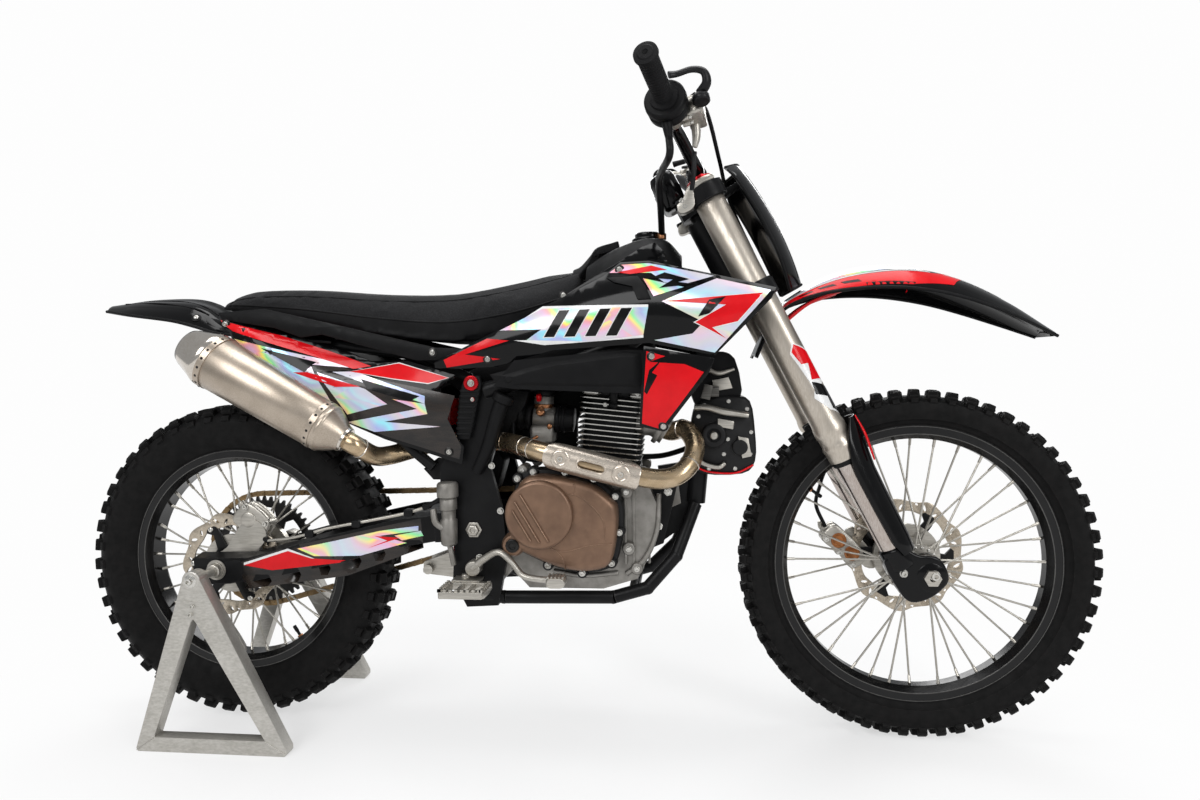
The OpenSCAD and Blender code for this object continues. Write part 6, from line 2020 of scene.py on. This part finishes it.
BAR_TIP = fork(6, -395, BAR_Z + 134)
BAR_BEND = fork(18, -235, BAR_Z + 74)
BAR_OUT = (BAR_TIP - BAR_BEND).normalized()
BAR_AHEAD = (steer_forward - BAR_OUT * steer_forward.dot(BAR_OUT)).normalized()
BAR_UP = BAR_OUT.cross(BAR_AHEAD) * (1 if BAR_OUT.cross(BAR_AHEAD).z > 0 else -1)
REACH = BAR_AHEAD * math.cos(math.radians(20)) - BAR_UP * math.sin(math.radians(20))
OVER = BAR_AHEAD * math.sin(math.radians(20)) + BAR_UP * math.cos(math.radians(20))


def on_bar(inset, reach=0.0, over=0.0):
    """A point by the bar: how far inside its end, ahead towards the lever, and above that."""
    return BAR_TIP - BAR_OUT * inset * MM + REACH * reach * MM + OVER * over * MM


def handlebar():
    half = [(32, 0, 0), (32, -50, 0), (32, -82, 0), (31, -98, 4), (29, -116, 16), (23, -168, 52),
            (19, -198, 66), (18, -235, 74)]
    path = [fork(x, y, BAR_Z + z) for x, y, z in half] + [BAR_TIP]
    bar = Shape().both(lambda s: s.tube(path, [28, 28, 27, 26, 25, 24, 23, 22.5, 22], 28, 6))
    bar.piece("handlebar_tube", "steering", gloss_black, "gloss_black", sharp=60, hides=["handlebar"])
    pad = Shape().rings([[fork(32 + x, y, BAR_Z + z) for x, z in rounded_box(w, w, 8)]
                         for y, w in ((-24, 15), (-22, 17), (22, 17), (24, 15))])
    pad.piece("bar_pad", "steering", seat_side, "seat_cover", bevel=1, sharp=40)

    ribs = [(0, 15), (1, 20), (6, 20.5), (7, 17)]
    for k in range(15):
        ribs += [(10 + k * 6.6, 16.6), (11 + k * 6.6, 17.4), (13.6 + k * 6.6, 17.4),
                 (14.6 + k * 6.6, 16.6)]
    ribs += [(110, 17), (112, 24), (116, 25), (119, 24), (119, 12)]
    grips = Shape().both(lambda s: s.lathe([(0, 4), (-1.5, 5), (-1.5, 12)] + [(0, 14)] + ribs, BAR_TIP,
                                           -BAR_OUT, 40))
    grips.piece("grip_rubbers", "steering", grip_rubber, "grip_rubber", sharp=30, hides=["hand_grips"])
    collar = Shape()
    collar.lathe([(117, 20), (117, 33), (120, 36), (130, 37), (133, 33), (139, 32.5), (141, 36),
                  (151, 36), (154, 32), (154, 14)], BAR_TIP, -BAR_OUT, 48)
    collar.tube([on_bar(140, -4, -30), on_bar(141, -4, -46), on_bar(142, -4, -62)], [20, 17, 13], 16, 4)
    collar.piece("throttle_collar", "steering", plastic_black, "plastic_black", bevel=0.8, sharp=40)

    perch = Shape()
    perch_in = 172

    def silver(s):
        s.lathe([(-13, 12), (-13, 19), (-11, 20.5), (11, 20.5), (13, 19), (13, 12)], on_bar(perch_in),
                BAR_OUT, 32)
        s.rings([[on_bar(perch_in + a, r, b) for a, b in rounded_box(w, d, 6)]
                 for r, w, d in ((12, 13, 15), (26, 15, 16), (38, 19, 17), (50, 18, 15), (56, 13, 11))])
        s.rings([[on_bar(perch_in + 14 + a, 40 + b, o) for a, b in rounded_box(22, 15, 6)]
                 for o in (-14, 8, 22, 25)])
        s.tube([on_bar(perch_in - 14, 44, 2), on_bar(perch_in - 26, 52, 2),
                on_bar(perch_in - 34, 58, 2)], [22, 19, 17], 12, 4)
        s.tube([on_bar(perch_in + 22, 36, -12), on_bar(perch_in + 26, 34, -34),
                on_bar(perch_in + 30, 28, -52)], [17, 15, 9], 12,
               4)
        for a, o in ((-8, 15), (8, 15), (-8, -16), (8, -16)):
            s.rod(on_bar(perch_in + a, 16, o), on_bar(perch_in + a, 30, o), 11, 10, edge=1.2)
    perch.both(silver)
    perch.piece("lever_perches", "steering", alloy, "alloy", bevel=1.0, sharp=35, hides=["hand_levers"])
    dark = Shape()

    def black(s):
        s.lathe([(-2, 13), (0, 15), (9, 15), (12, 12), (12, 0)], on_bar(perch_in - 34, 58, -12), OVER, 24)
        s.tube([on_bar(perch_in - 34, 58, 4), on_bar(perch_in - 44, 72, 14),
                on_bar(perch_in - 52, 70, 30),
                on_bar(perch_in - 58, 52, 36), on_bar(112, 28, 34), on_bar(106, 14, 32)],
               [20, 18, 15, 13, 13, 15], 16, 6, flat=0.7, up=OVER)
        s.lathe([(24, 23), (25, 24), (29, 24), (30, 22)], on_bar(perch_in + 14, 40, 0), OVER, 4)
        s.tube([on_bar(perch_in + 34, 26, -58), on_bar(perch_in + 40, 20, -90),
                on_bar(perch_in + 52, 10, -120)], 9, 10, 5)
    dark.both(black)
    dark.piece("hand_lever_blades", "steering", lever_black, "lever_black", bevel=0.6, sharp=45)
    marks = [(on_bar(perch_in + a, 30.5, o), 8) for a, o in ((-8, 15), (8, 15), (-8, -16), (8, -16))]
    bolts("perch_bolts_right", CAP, marks, REACH, "steering", bolt_silver)
    bolts("perch_bolts_left", CAP, [(flip(p), d) for p, d in marks],
          Vector((REACH.x, -REACH.y, REACH.z)), "steering", bolt_silver)

    hose = Shape().tube([fork(x, y, z) for x, y, z in (
        (60, -214, 977), (92, -130, 969), (86, -40, 895), (84, 40, 855), (80, 84, 790), (78, 122, 640),
        (60, 148, 420), (36, 148, 260), (-18, 122, 200), (-52, 80, 172), (-58, 64, 124))], 8, 14, 8)
    hose.piece("front_brake_hose", "steering", hose_black, "hose_black", sharp=60, hides=["brake_hose"])
    low = bike(922, -18, 1018)
    cable = Shape().tube([on_bar(142, -4, -58), on_bar(146, -8, -92), bike(922, -150, 1100),
                          bike(922, -80, 1056), low], 13, 14,
                         8)
    cable = cable.piece("throttle_cable", None, hose_black, "hose_black", sharp=60)
    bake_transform(cable)
    ends = Shape()
    ends.lathe([(-3, 5), (-2, 9), (10, 9), (11, 6)], bike(922, -18, 1010), UP, 20)
    ends.tube([bike(922, -18, 1006), bike(926, -20, 986), bike(930, -24, 962)], [14, 12, 10], 12, 5)
    ends.piece("cable_fittings", "chassis", copper, "alloy", bevel=0.5, sharp=50)
    loops = Shape()
    loops.tube([bike(926, -26, 1004), bike(918, -34, 1002), bike(908, -42, 990), bike(902, -46, 974),
                bike(900, -40, 956)],
               11, 12, 6)
    loops.tube([bike(922, -24, 960), bike(914, -34, 966), bike(906, -42, 980)], 14, 12, 6)
    loops.piece("breather_hoses", "chassis", hose_black, "hose_black", sharp=60)


def front_caliper():
    """The caliper behind the left fork leg: a cast body with two pistons, and its bracket."""
    lean = math.radians(-18)

    def cast(x, y, z):
        return fork(60 - 110 + x * math.cos(lean) + z * math.sin(lean), 40 + y,
                    20 - x * math.sin(lean) + z * math.cos(lean))
    body = Shape()
    side_of = rounded([(0, 8), (4, 50), (0, 92), (18, 100), (42, 96), (46, 60), (44, 24), (30, 0)], 3)
    for y0, y1 in ((0, 14), (24, 42)):
        body.rings([[cast(x, y, z) for x, z in grown(side_of, g)]
                    for y, g in ((y0, -3), (y0 + 2, 0), (y1 - 2, 0), (y1, -3))])
    for z in (12, 50, 88):
        body.rod(cast(8, 6, z), cast(8, 36, z), 17, 16, edge=1.5)
    body.tube([cast(20, 30, 96), cast(18, 30, 106), cast(24, 26, 116)], [15, 12, 10], 12, 4)
    body.piece("front_caliper_casting", "steering", alloy, "alloy", bevel=1.2, sharp=35,
               hides=["front_caliper"])
    rounds = Shape()
    for z in (30, 68):
        rounds.lathe([(-3, 12), (0, 15.5), (2, 16), (3, 15), (3, 11), (1.5, 10), (1.5, 0)],
                     cast(24, 0, z), -SIDE, 28)
    rounds.piece("front_caliper_pistons", "steering", piston_orange, "alloy", bevel=0.5, sharp=40)
    bolts("front_caliper_bolts", CAP, [(cast(8, -1, z), 10) for z in (12, 50, 88)], -SIDE, "steering",
          bolt_silver)
    arm = Shape()
    plate = rounded([(-24, 10), (-2, 0), (4, 34), (-2, 60), (-6, 96), (-30, 92), (-32, 50)], 3)
    arm.rings([[fork(x, y, z) for x, z in plate] for y in (66, 74)])
    arm.piece("front_caliper_bracket", "steering", alloy, "alloy", bevel=1, sharp=40)


fork_legs()
clamps()
number_plate()
handlebar()
front_caliper()

# ---------------------------------------------------------------- seat and tank

SEAT = [(-12, 884, 906, 60, 52), (60, 868, 921, 84, 78), (200, 846, 920, 104, 92),
        (360, 818, 907, 112, 92),
        (500, 802, 905, 112, 86), (620, 816, 924, 96, 74), (700, 838, 943, 84, 64),
        (756, 858, 958, 76, 58), (790, 984, 998, 38, 32), (832, 1001, 1010, 24, 18)]


def seat_loop(x, low, high, base, top, shrink=0.0):
    """A seat section: flat below, sides leaning in, crowned on top."""
    low, high, base, top = low + shrink, high - shrink, base - shrink, top - shrink
    half = [(0, high), (top * 0.45, high - 1), (top * 0.8, high - 5), (top, high - 12),
            (top + 4, high - 20),
            (base, low + (high - low) * 0.35), (base, low + 6), (base - 6, low), (0, low)]
    loop = half + [(-y, z) for y, z in half[-2:0:-1]]
    return [bike(x, y, z) for y, z in loop]


def seat():
    rows = smooth([Vector(r) for r in SEAT[:8]], 4)
    foam = Shape().rings([seat_loop(*r, 3.5) for r in rows])
    pad = foam.piece("seat_pad", None, [seat_cloth, seat_side], "seat_cover", sharp=60)
    before = BVHTree.FromObject(pad, bpy.context.evaluated_depsgraph_get())
    grid = pad.modifiers.new("even grid", "REMESH")
    grid.mode, grid.voxel_size = "VOXEL", 0.006
    settle(pad)
    start = [v.co.copy() for v in pad.data.vertices]
    cloth = pad.modifiers.new("stuffing", "CLOTH")
    cloth.settings.use_pressure = True
    cloth.settings.uniform_pressure_force = 3.2
    cloth.settings.effector_weights.gravity = 0
    cloth.point_cache.frame_start, cloth.point_cache.frame_end = 1, 16
    for step in range(1, 17):
        bpy.context.scene.frame_set(step)
    made = pad.evaluated_get(bpy.context.evaluated_depsgraph_get()).data
    places = [v.co.copy() for v in made.vertices]
    pad.modifiers.remove(cloth)
    bpy.context.scene.frame_set(1)
    for v, a, b in zip(pad.data.vertices, start, places):
        push = b - a
        most = 0.006 if before.find_nearest(a)[1].z > -0.7 else 0.0005
        v.co = a + push * min(1.0, most / max(push.length, 1e-9))
    soft = pad.modifiers.new("soft", "SUBSURF")
    soft.levels = soft.render_levels = 1
    settle(pad)
    for face in pad.data.polygons:
        spot = sum((pad.data.vertices[i].co for i in face.vertices), Vector()) / len(face.vertices)
        x = (spot - rear_axle).x / MM
        low, high = (next(a[k] + (b[k] - a[k]) * (x - a[0]) / (b[0] - a[0])
                          for a, b in zip(SEAT, SEAT[1:])
                          if x <= b[0] or b is SEAT[-1]) for k in (1, 2))
        down = (spot - bike(0, 0, 0)).z / MM
        face.material_index = 1 if down < low + (high - low) * 0.42 else 0
        face.use_smooth = True
    pad = finish_piece(pad, "chassis", 180, ["seat"])

    surface = BVHTree.FromObject(pad, bpy.context.evaluated_depsgraph_get())

    def on_seat(x, side, z):
        """The seat's side at a height."""
        hit = surface.ray_cast(bike(x, side * 300, z), SIDE * -side)[0]
        return hit or surface.find_nearest(bike(x, side * 60, z))[0]

    piping = Shape()
    rows = [tuple(r)[:3] for r in smooth([Vector(r) for r in SEAT[:8]], 3)][1:-1]
    for side in (-1, 1):
        piping.tube([on_seat(x, side, low + (high - low) * 0.42) for x, low, high in rows], 4.2, 8, 3)
        piping.tube([on_seat(x, side, high - 15) for x, low, high in rows], 2.6, 8, 3)
    piping.piece("seat_piping", "chassis", seat_side, "seat_cover", sharp=60)
    nose = Shape().rings([seat_loop(*r) for r in smooth([Vector(r) for r in (
        (742, 900, 953, 58, 46), (756, 928, 960, 50, 42), (775, 955, 981, 44, 37),
        (790, 984, 998, 38, 32), (832, 1001, 1010, 24, 18))], 4)])
    nose = nose.piece("seat_nose", "chassis", seat_cloth, "seat_cover", bevel=1.5, sharp=40)


def tank():
    rows = smooth([Vector(r) for r in ((772, 850, 958, 90, 62), (820, 840, 984, 116, 80),
                                       (880, 848, 1004, 126, 88),
                                       (930, 878, 1004, 116, 80), (962, 904, 974, 88, 56))], 5)
    loops = []
    for x, low, high, base, top in rows:
        half = [(0, high), (top * 0.5, high - 1.5), (top, high - 12), (base, (low + high) / 2),
                (base - 6, low + 8), (0, low)]
        half = [tuple(p) for p in smooth([Vector(p) for p in half], 4)]
        loops.append([bike(x, y, z) for y, z in half + [(-y, z) for y, z in half[-2:0:-1]]])
    Shape().rings(loops).piece("tank_shell", "chassis", plastic_black, "plastic_black", bevel=2,
                               sharp=50, hides=["fuel_tank"])
    cap = Shape().lathe([(-12, 30), (-4, 33), (2, 33), (4, 30)], bike(893, 0, 1010), UP, 40)
    cap.lathe([(2, 27), (12, 27), (15, 24), (15, 8), (18, 7), (18, 0)], bike(893, 0, 1010), UP, 14)
    cap.piece("tank_cap", "chassis", gloss_black, "gloss_black", bevel=1.2, sharp=30, hides=["fuel_cap"])


# ---------------------------------------------------------------- swingarm

def swingarm():
    film = [
        ("swingarm_film_dark", bronze_film, 0.15, [
            [(50, 360), (160, 395), (430, 450), (435, 390), (280, 335), (60, 305)]]),
        ("swingarm_film_holographic", holo_film, 0.4, [
            [(175, 390), (345, 425), (425, 435), (425, 425), (345, 415), (400, 400), (305, 375),
             (210, 375)],
            [(375, 415), (430, 425), (435, 415), (390, 405)]]),
        ("swingarm_film_red", red_paint, 0.6, [
            [(60, 355), (155, 385), (205, 370), (295, 365), (120, 345)],
            [(335, 415), (385, 410), (320, 390), (360, 405)]]),
        ("swingarm_film_white", white_film, 0.5, [
            [(60, 360), (155, 390), (210, 370), (205, 365), (155, 385), (60, 355)]])]
    skin = NodeSkin("swingarm")
    for name, finish_of, lift, shapes in film:
        stickers(name, finish_of, [(skin, shapes)], lift)
    tube = Shape()
    tube.tube([bike(x, y, z) for x, y, z in ((442, -108, 474), (400, -108, 462), (330, -108, 448),
            (235, -108, 430), (194, -108, 418), (150, -106, 408), (104, -100, 402))], 7, 12, 6)
    tube.piece("brake_line_tube", "chassis", alloy, "alloy", sharp=60)
    grip = Shape()
    for x, z in ((410, 465), (300, 442), (200, 420)):
        grip.rings([[bike(x + a, y, z - 1 + b) for a, b in rounded_box(9, 7, 3)] for y in (-115, -98)])
    grip.rod(bike(440, -108, 474), bike(456, -110, 480), 12, 14, edge=1)
    grip.tube([bike(452, -110, 479), bike(478, -124, 494), bike(496, -136, 512)], 9, 12, 5)
    grip.rod(bike(106, -100, 402), bike(92, -92, 404), 11, 14, edge=1)
    grip.piece("brake_line_clamps", "chassis", hose_black, "hose_black", bevel=0.6, sharp=40)
    slot = Shape()

    def tail(s):
        slot_line = rounded([(-52, 330), (-50, 350), (0, 358), (50, 366), (60, 340), (40, 318), (0, 314),
                             (-40, 312)], 3)
        s.rings([[bike(x, y, z) for x, z in grown(slot_line, g)]
                 for y, g in ((-104, 0), (-117, 0), (-119, -3))])
    slot.both(tail)
    slot.piece("swingarm_tails", "chassis", plastic_black, "plastic_black", bevel=1.2, sharp=40)
    nut = Shape().both(lambda s: s.lathe([(0, 21), (2, 21), (2, 17), (5, 17), (5, 15), (14, 14.5),
                                          (16, 12), (16, 8)],
                                         bike(0, -119, 344.5), -SIDE, 24))
    nut.piece("rear_axle_nuts", "chassis", alloy, "alloy", bevel=0.8, sharp=35)
    pivot = Shape().both(lambda s: s.lathe([(0, 17), (2, 17), (2, 13), (10, 12.5), (12, 10), (12, 6),
                                            (8, 5), (8, 0)],
                                           bike(545, -114.5, 432), -SIDE, 6))
    pivot.piece("pivot_nuts", "chassis", alloy, "alloy", bevel=0.8, sharp=35)


def rear_brake():
    turn = math.radians(40)

    def cast(x, y, z):
        return bike(56 + x * math.cos(turn) + z * math.sin(turn), y,
                    344.5 + 92 - x * math.sin(turn) + z * math.cos(turn))
    body = Shape()
    edge = rounded([(-36, -20), (-38, 10), (-28, 28), (0, 32), (28, 28), (38, 12), (36, -18), (10, -26),
                    (-16, -26)], 3)
    for y0, y1 in ((-84, -71), (-61, -48)):
        body.rings([[cast(x, y, z) for x, z in grown(edge, g)]
                    for y, g in ((y0, -4), (y0 + 2, 0), (y1 - 2, 0), (y1, -3))])
    body.lathe([(0, 17), (3, 17), (5, 14), (5, 0)], cast(-6, -82, 2), -SIDE, 28)
    for x, z in ((-28, 20), (28, 20)):
        body.rod(cast(x, -84, z), cast(x, -48, z), 15, 16, edge=1.5)
    body.rod(cast(-36, -66, 6), cast(-50, -66, 12), 13, 12, edge=1.5)
    body.piece("rear_caliper_casting", "chassis", alloy, "alloy", bevel=1.2, sharp=35,
               hides=["rear_caliper"])
    arm = Shape()
    ring = rounded([(-22, -16), (22, -16), (60, 20), (92, 62), (76, 94), (40, 92), (4, 40), (-22, 22)], 3)
    arm.rings([[bike(x, y, 344.5 + z) for x, z in ring] for y in (-86, -80)])
    arm.piece("rear_caliper_bracket", "chassis", alloy, "alloy", bevel=0.8, sharp=40)
    bolts("rear_caliper_bolts", CAP, [(cast(x, -85, z), 10) for x, z in ((-28, 20), (28, 20))], -SIDE,
          "chassis", bolt_silver)
    cylinder = Shape()
    cylinder.lathe([(0, 12), (4, 16), (50, 17), (54, 14), (70, 14), (72, 17), (92, 17), (96, 14)],
                   bike(500, -132, 404), UP, 32)
    cylinder.lathe([(94, 13), (98, 21), (122, 21), (126, 18), (126, 0)], bike(500, -136, 404), UP, 32)
    cylinder.rod(bike(500, -131, 406), bike(508, -131, 364), 11, 12, edge=1)
    cylinder.tube([bike(490, -140, 440), bike(476, -142, 452), bike(470, -136, 476)], 13, 12, 5)
    cylinder.piece("master_cylinder_body", "chassis", engine_grey, "engine_grey", bevel=0.8, sharp=40,
                   hides=["rear_master_cylinder"])


# ---------------------------------------------------------------- footrests and pedals

def foot_controls():
    pegs = Shape()

    def peg(s):
        frame_line = rounded([(502, 148), (502, 216), (516, 222), (576, 222), (590, 214), (590, 156),
                              (578, 148)], 2)
        hole = rounded([(514, 160), (514, 206), (524, 211), (568, 211), (578, 204), (578, 166),
                        (570, 160)], 2)
        plate_shape(s, [frame_line, hole], lambda x, y: bike(x, -y, 324), lambda x, y: bike(x, -y, 337))
        for x in (534, 556):
            s.block((x - 3, -214, 325), (x + 3, -156, 336))
        s.rings([[bike(x, y, z) for x, z in ((506, 320), (558, 320), (564, 338), (508, 340))]
                 for y in (-150, -115)])
        s.rod(bike(530, -124, 316), bike(530, -124, 346), 18, 16, edge=1.5)
    pegs.both(peg)
    pegs.piece("footrests", "chassis", alloy, "alloy", bevel=0.8, sharp=35, hides=["footpegs"])
    tooth = Shape().rings([[bike(505 + x, -219 + y, z) for x, y in ((-3, -2), (3, -2), (3, 2), (-3, 2))]
                           for z in (336, 341.5)])
    for side, label in ((1, "right"), (-1, "left")):
        first = Shape()
        first.points = [p if side > 0 else flip(p) for p in tooth.points]
        first.faces, first.slots = tooth.faces, tooth.slots
        in_row(f"footrest_teeth_outer_{label}", first, 8, Vector((11 * MM, 0, 0)), "chassis", alloy)
        for x, edge in ((0, "rear"), (80, "front")):
            move = Vector((x * MM, 0, 0))
            row = Shape()
            row.points, row.faces, row.slots = [p + move for p in first.points], tooth.faces, tooth.slots
            in_row(f"footrest_teeth_{edge}_{label}", row, 6, Vector((0, side * 12 * MM, 0)), "chassis",
                   alloy)

    pedal = Shape()
    pedal.tube([bike(x, y, z) for x, y, z in ((548, -134, 360), (572, -138, 380), (602, -145, 395),
            (628, -151, 378), (652, -156, 353), (690, -168, 349), (724, -180, 352))],
               [22, 18, 16, 15, 15, 15, 16], 16, 6, flat=0.8)
    pedal.lathe([(0, 14), (2, 15), (26, 15), (28, 13)], bike(548, -115, 360), -SIDE, 28)
    pedal.rings([[bike(722 + x, y, 351 + z) for x, z in rounded_box(w, 9, 7)]
                 for y, w in ((-204, 15), (-201, 18), (-172, 18), (-169, 15))])
    pedal.piece("brake_pedal_lever", "chassis", alloy, "alloy", bevel=0.8, sharp=45,
                hides=["brake_pedal"])
    tread = Shape().rings([[bike(708 + x, y, z) for x, z in ((-2, 359), (2, 359), (1.2, 362.5),
            (-1.2, 362.5))]
                           for y in (-200, -173)])
    in_row("brake_pedal_tread", tread, 5, Vector((7 * MM, 0, 0)), "chassis", alloy)
    shift = Shape()
    shift.tube([bike(600, 130, 371), bike(640, 138, 366), bike(690, 148, 364), bike(736, 157, 366)],
               [20, 15, 13, 14], 14, 6)
    shift.lathe([(0, 13), (26, 13), (28, 11)], bike(600, 115, 371), SIDE, 24)
    shift.lathe([(0, 8), (2, 9.5), (38, 9.5), (40, 8)], bike(738, 150, 366), SIDE, 20)
    shift.piece("gear_lever", "chassis", alloy, "alloy", bevel=0.8, sharp=45, hides=["shift_lever"])


# ---------------------------------------------------------------- frame trim

def frame_trim():
    strut = Shape()
    strut.rings([[bike(x + dx, -124 + dy, z) for dx, dy in rounded_box(w, 7, 5)]
                 for x, z, w in ((532, 614, 14), (536, 640, 17), (544, 690, 20), (551, 722, 20),
                                 (554, 738, 14))])
    for k in range(9):
        z = 622 + k * 10.5
        x = 531 + (z - 614) * 0.17
        strut.rings([[bike(x + dx, -125 + dy, z + dz) for dx, dy in rounded_box(w, 8, 5)]
                     for dz, w in ((0, 16 + k * 0.5), (5, 16.5 + k * 0.5))])
    strut.tube([bike(612, -120, 694), bike(600, -121, 664), bike(580, -122, 600), bike(556, -123, 548)],
               [30, 30, 27, 22], 20, 6)
    strut.lathe([(-6, 18), (-4, 21), (10, 21), (12, 18)], bike(610, -120, 690),
                bike(618, -120, 700) - bike(606, -120, 674), 28)
    strut.piece("right_frame_struts", "chassis", plastic_black, "plastic_black", bevel=0.8, sharp=35)
    red = Shape().lathe([(0, 15), (3, 15), (5, 13), (5, 8), (2, 7), (2, 0)], bike(551, -132, 724), -SIDE,
                        28)
    red.rod(bike(553, -130, 692), bike(553, -134, 692), 9, 16, edge=1)
    red.piece("strut_washer", "chassis", red_anodised, "spring_red", bevel=0.5, sharp=35)
    bolts("strut_bolts", CAP, [(bike(551, -135, 724), 11), (bike(553, -134, 692), 6)], -SIDE, "chassis",
          bolt_silver)
    for side, label in ((-1, "right"), (1, "left")):
        y = side * 115
        spots = [(bike(498, y, 449), 13), (bike(502, y, 408), 10), (bike(556, y, 376), 12),
                 (bike(600, y, 470), 11), (bike(584, y, 560), 11)]
        bolts(f"frame_plate_bolts_{label}", CAP, spots, SIDE * side, "chassis", bolt_silver)
    oil_line = Shape()
    oil_line.tube([bike(640, -64, 560), bike(620, -60, 590), bike(612, -40, 640), bike(622, -20, 700),
                   bike(600, 0, 760)], 10, 12,
                  6)
    oil_line.tube([bike(860, 30, 560), bike(920, 60, 560), bike(980, 60, 580), bike(996, 40, 600)], 12,
                  12, 6)
    oil_line.tube([bike(700, 20, 700), bike(730, 24, 742), bike(800, 26, 780), bike(880, 20, 800)], 9,
                  12, 6)
    oil_line.piece("engine_hoses", "chassis", hose_black, "hose_black", sharp=60)


# ---------------------------------------------------------------- paddock stand

def stand():
    foot_rear, foot_front = -129.6, 186.4
    apex = 344.5
    frame_line = [(foot_rear, 6), (foot_rear + 4, 0), (foot_front - 4, 0), (foot_front, 6),
                  (foot_front, 14), (17, apex + 6), (12, apex + 16), (-12, apex + 16), (-17, apex + 6)]
    hole = [(foot_rear + 40, 30), (foot_front - 44, 30), (7, apex - 82), (2, apex - 76), (-3, apex - 82)]
    body, pads = Shape(), Shape()

    def legs(s):
        plate_shape(s, [dense(frame_line, 40), hole], lambda x, z: bike(x, -176, z),
                    lambda x, z: bike(x, -204, z))
        s.lathe([(0, 16), (2, 19), (28, 19), (30, 17)], bike(0, -175, apex), -SIDE, 40)
        s.lathe([(0, 9), (50, 9)], bike(0, -180, apex), SIDE, 28)
    body.both(legs)
    body.piece("stand_frames", "chassis", stand_alloy, "stand_alloy", bevel=2.2, sharp=30,
               hides=["paddock_stand"])
    tabs = Shape()

    def tab(s):
        outline = rounded([(14, 300), (36, 294), (64, 250), (90, 208), (86, 190), (62, 188), (40, 240)],
                          2)
        holes = [circle(5, 16, 34 + i * 12, 274 - i * 20) for i in range(4)]
        plate_shape(s, [outline] + holes, lambda x, z: bike(x, -168, z), lambda x, z: bike(x, -176.5, z))
    tabs.both(tab)
    tabs.piece("stand_tabs", "chassis", stand_alloy, "stand_alloy", bevel=0.8, sharp=40)

    def mitres(s):
        for a, b in (((foot_rear + 2, 3), (foot_rear + 39, 29)),
                     ((foot_front - 2, 6), (foot_front - 42, 29)), ((-15, apex - 40), (14, apex - 40))):
            s.tube([bike(a[0], -204.2, a[1]), bike(b[0], -204.2, b[1])], 2.6, 8, 1, flat=0.6)
    pads.both(mitres)
    pads.piece("stand_welds", "chassis", stand_alloy, "stand_alloy", sharp=60)
    for side, label in ((-1, "right"), (1, "left")):
        bolts(f"stand_washer_{label}", RIVET, [(bike(0, side * 205, apex), Vector((26, 26, 12)))],
              SIDE * side, "chassis", bolt_silver)
        spots = [(bike(0, side * 206, apex), 14), (bike(2, side * 204, apex - 50), 9),
                 (bike(-2, side * 204, apex - 66), 9)]
        bolts(f"stand_bolts_{label}", CAP, spots, SIDE * side, "chassis", bolt_silver)


seat()
tank()
swingarm()
rear_brake()
foot_controls()
frame_trim()
stand()

drop(CAP, DOME, RIVET, NIPPLE, NUT)
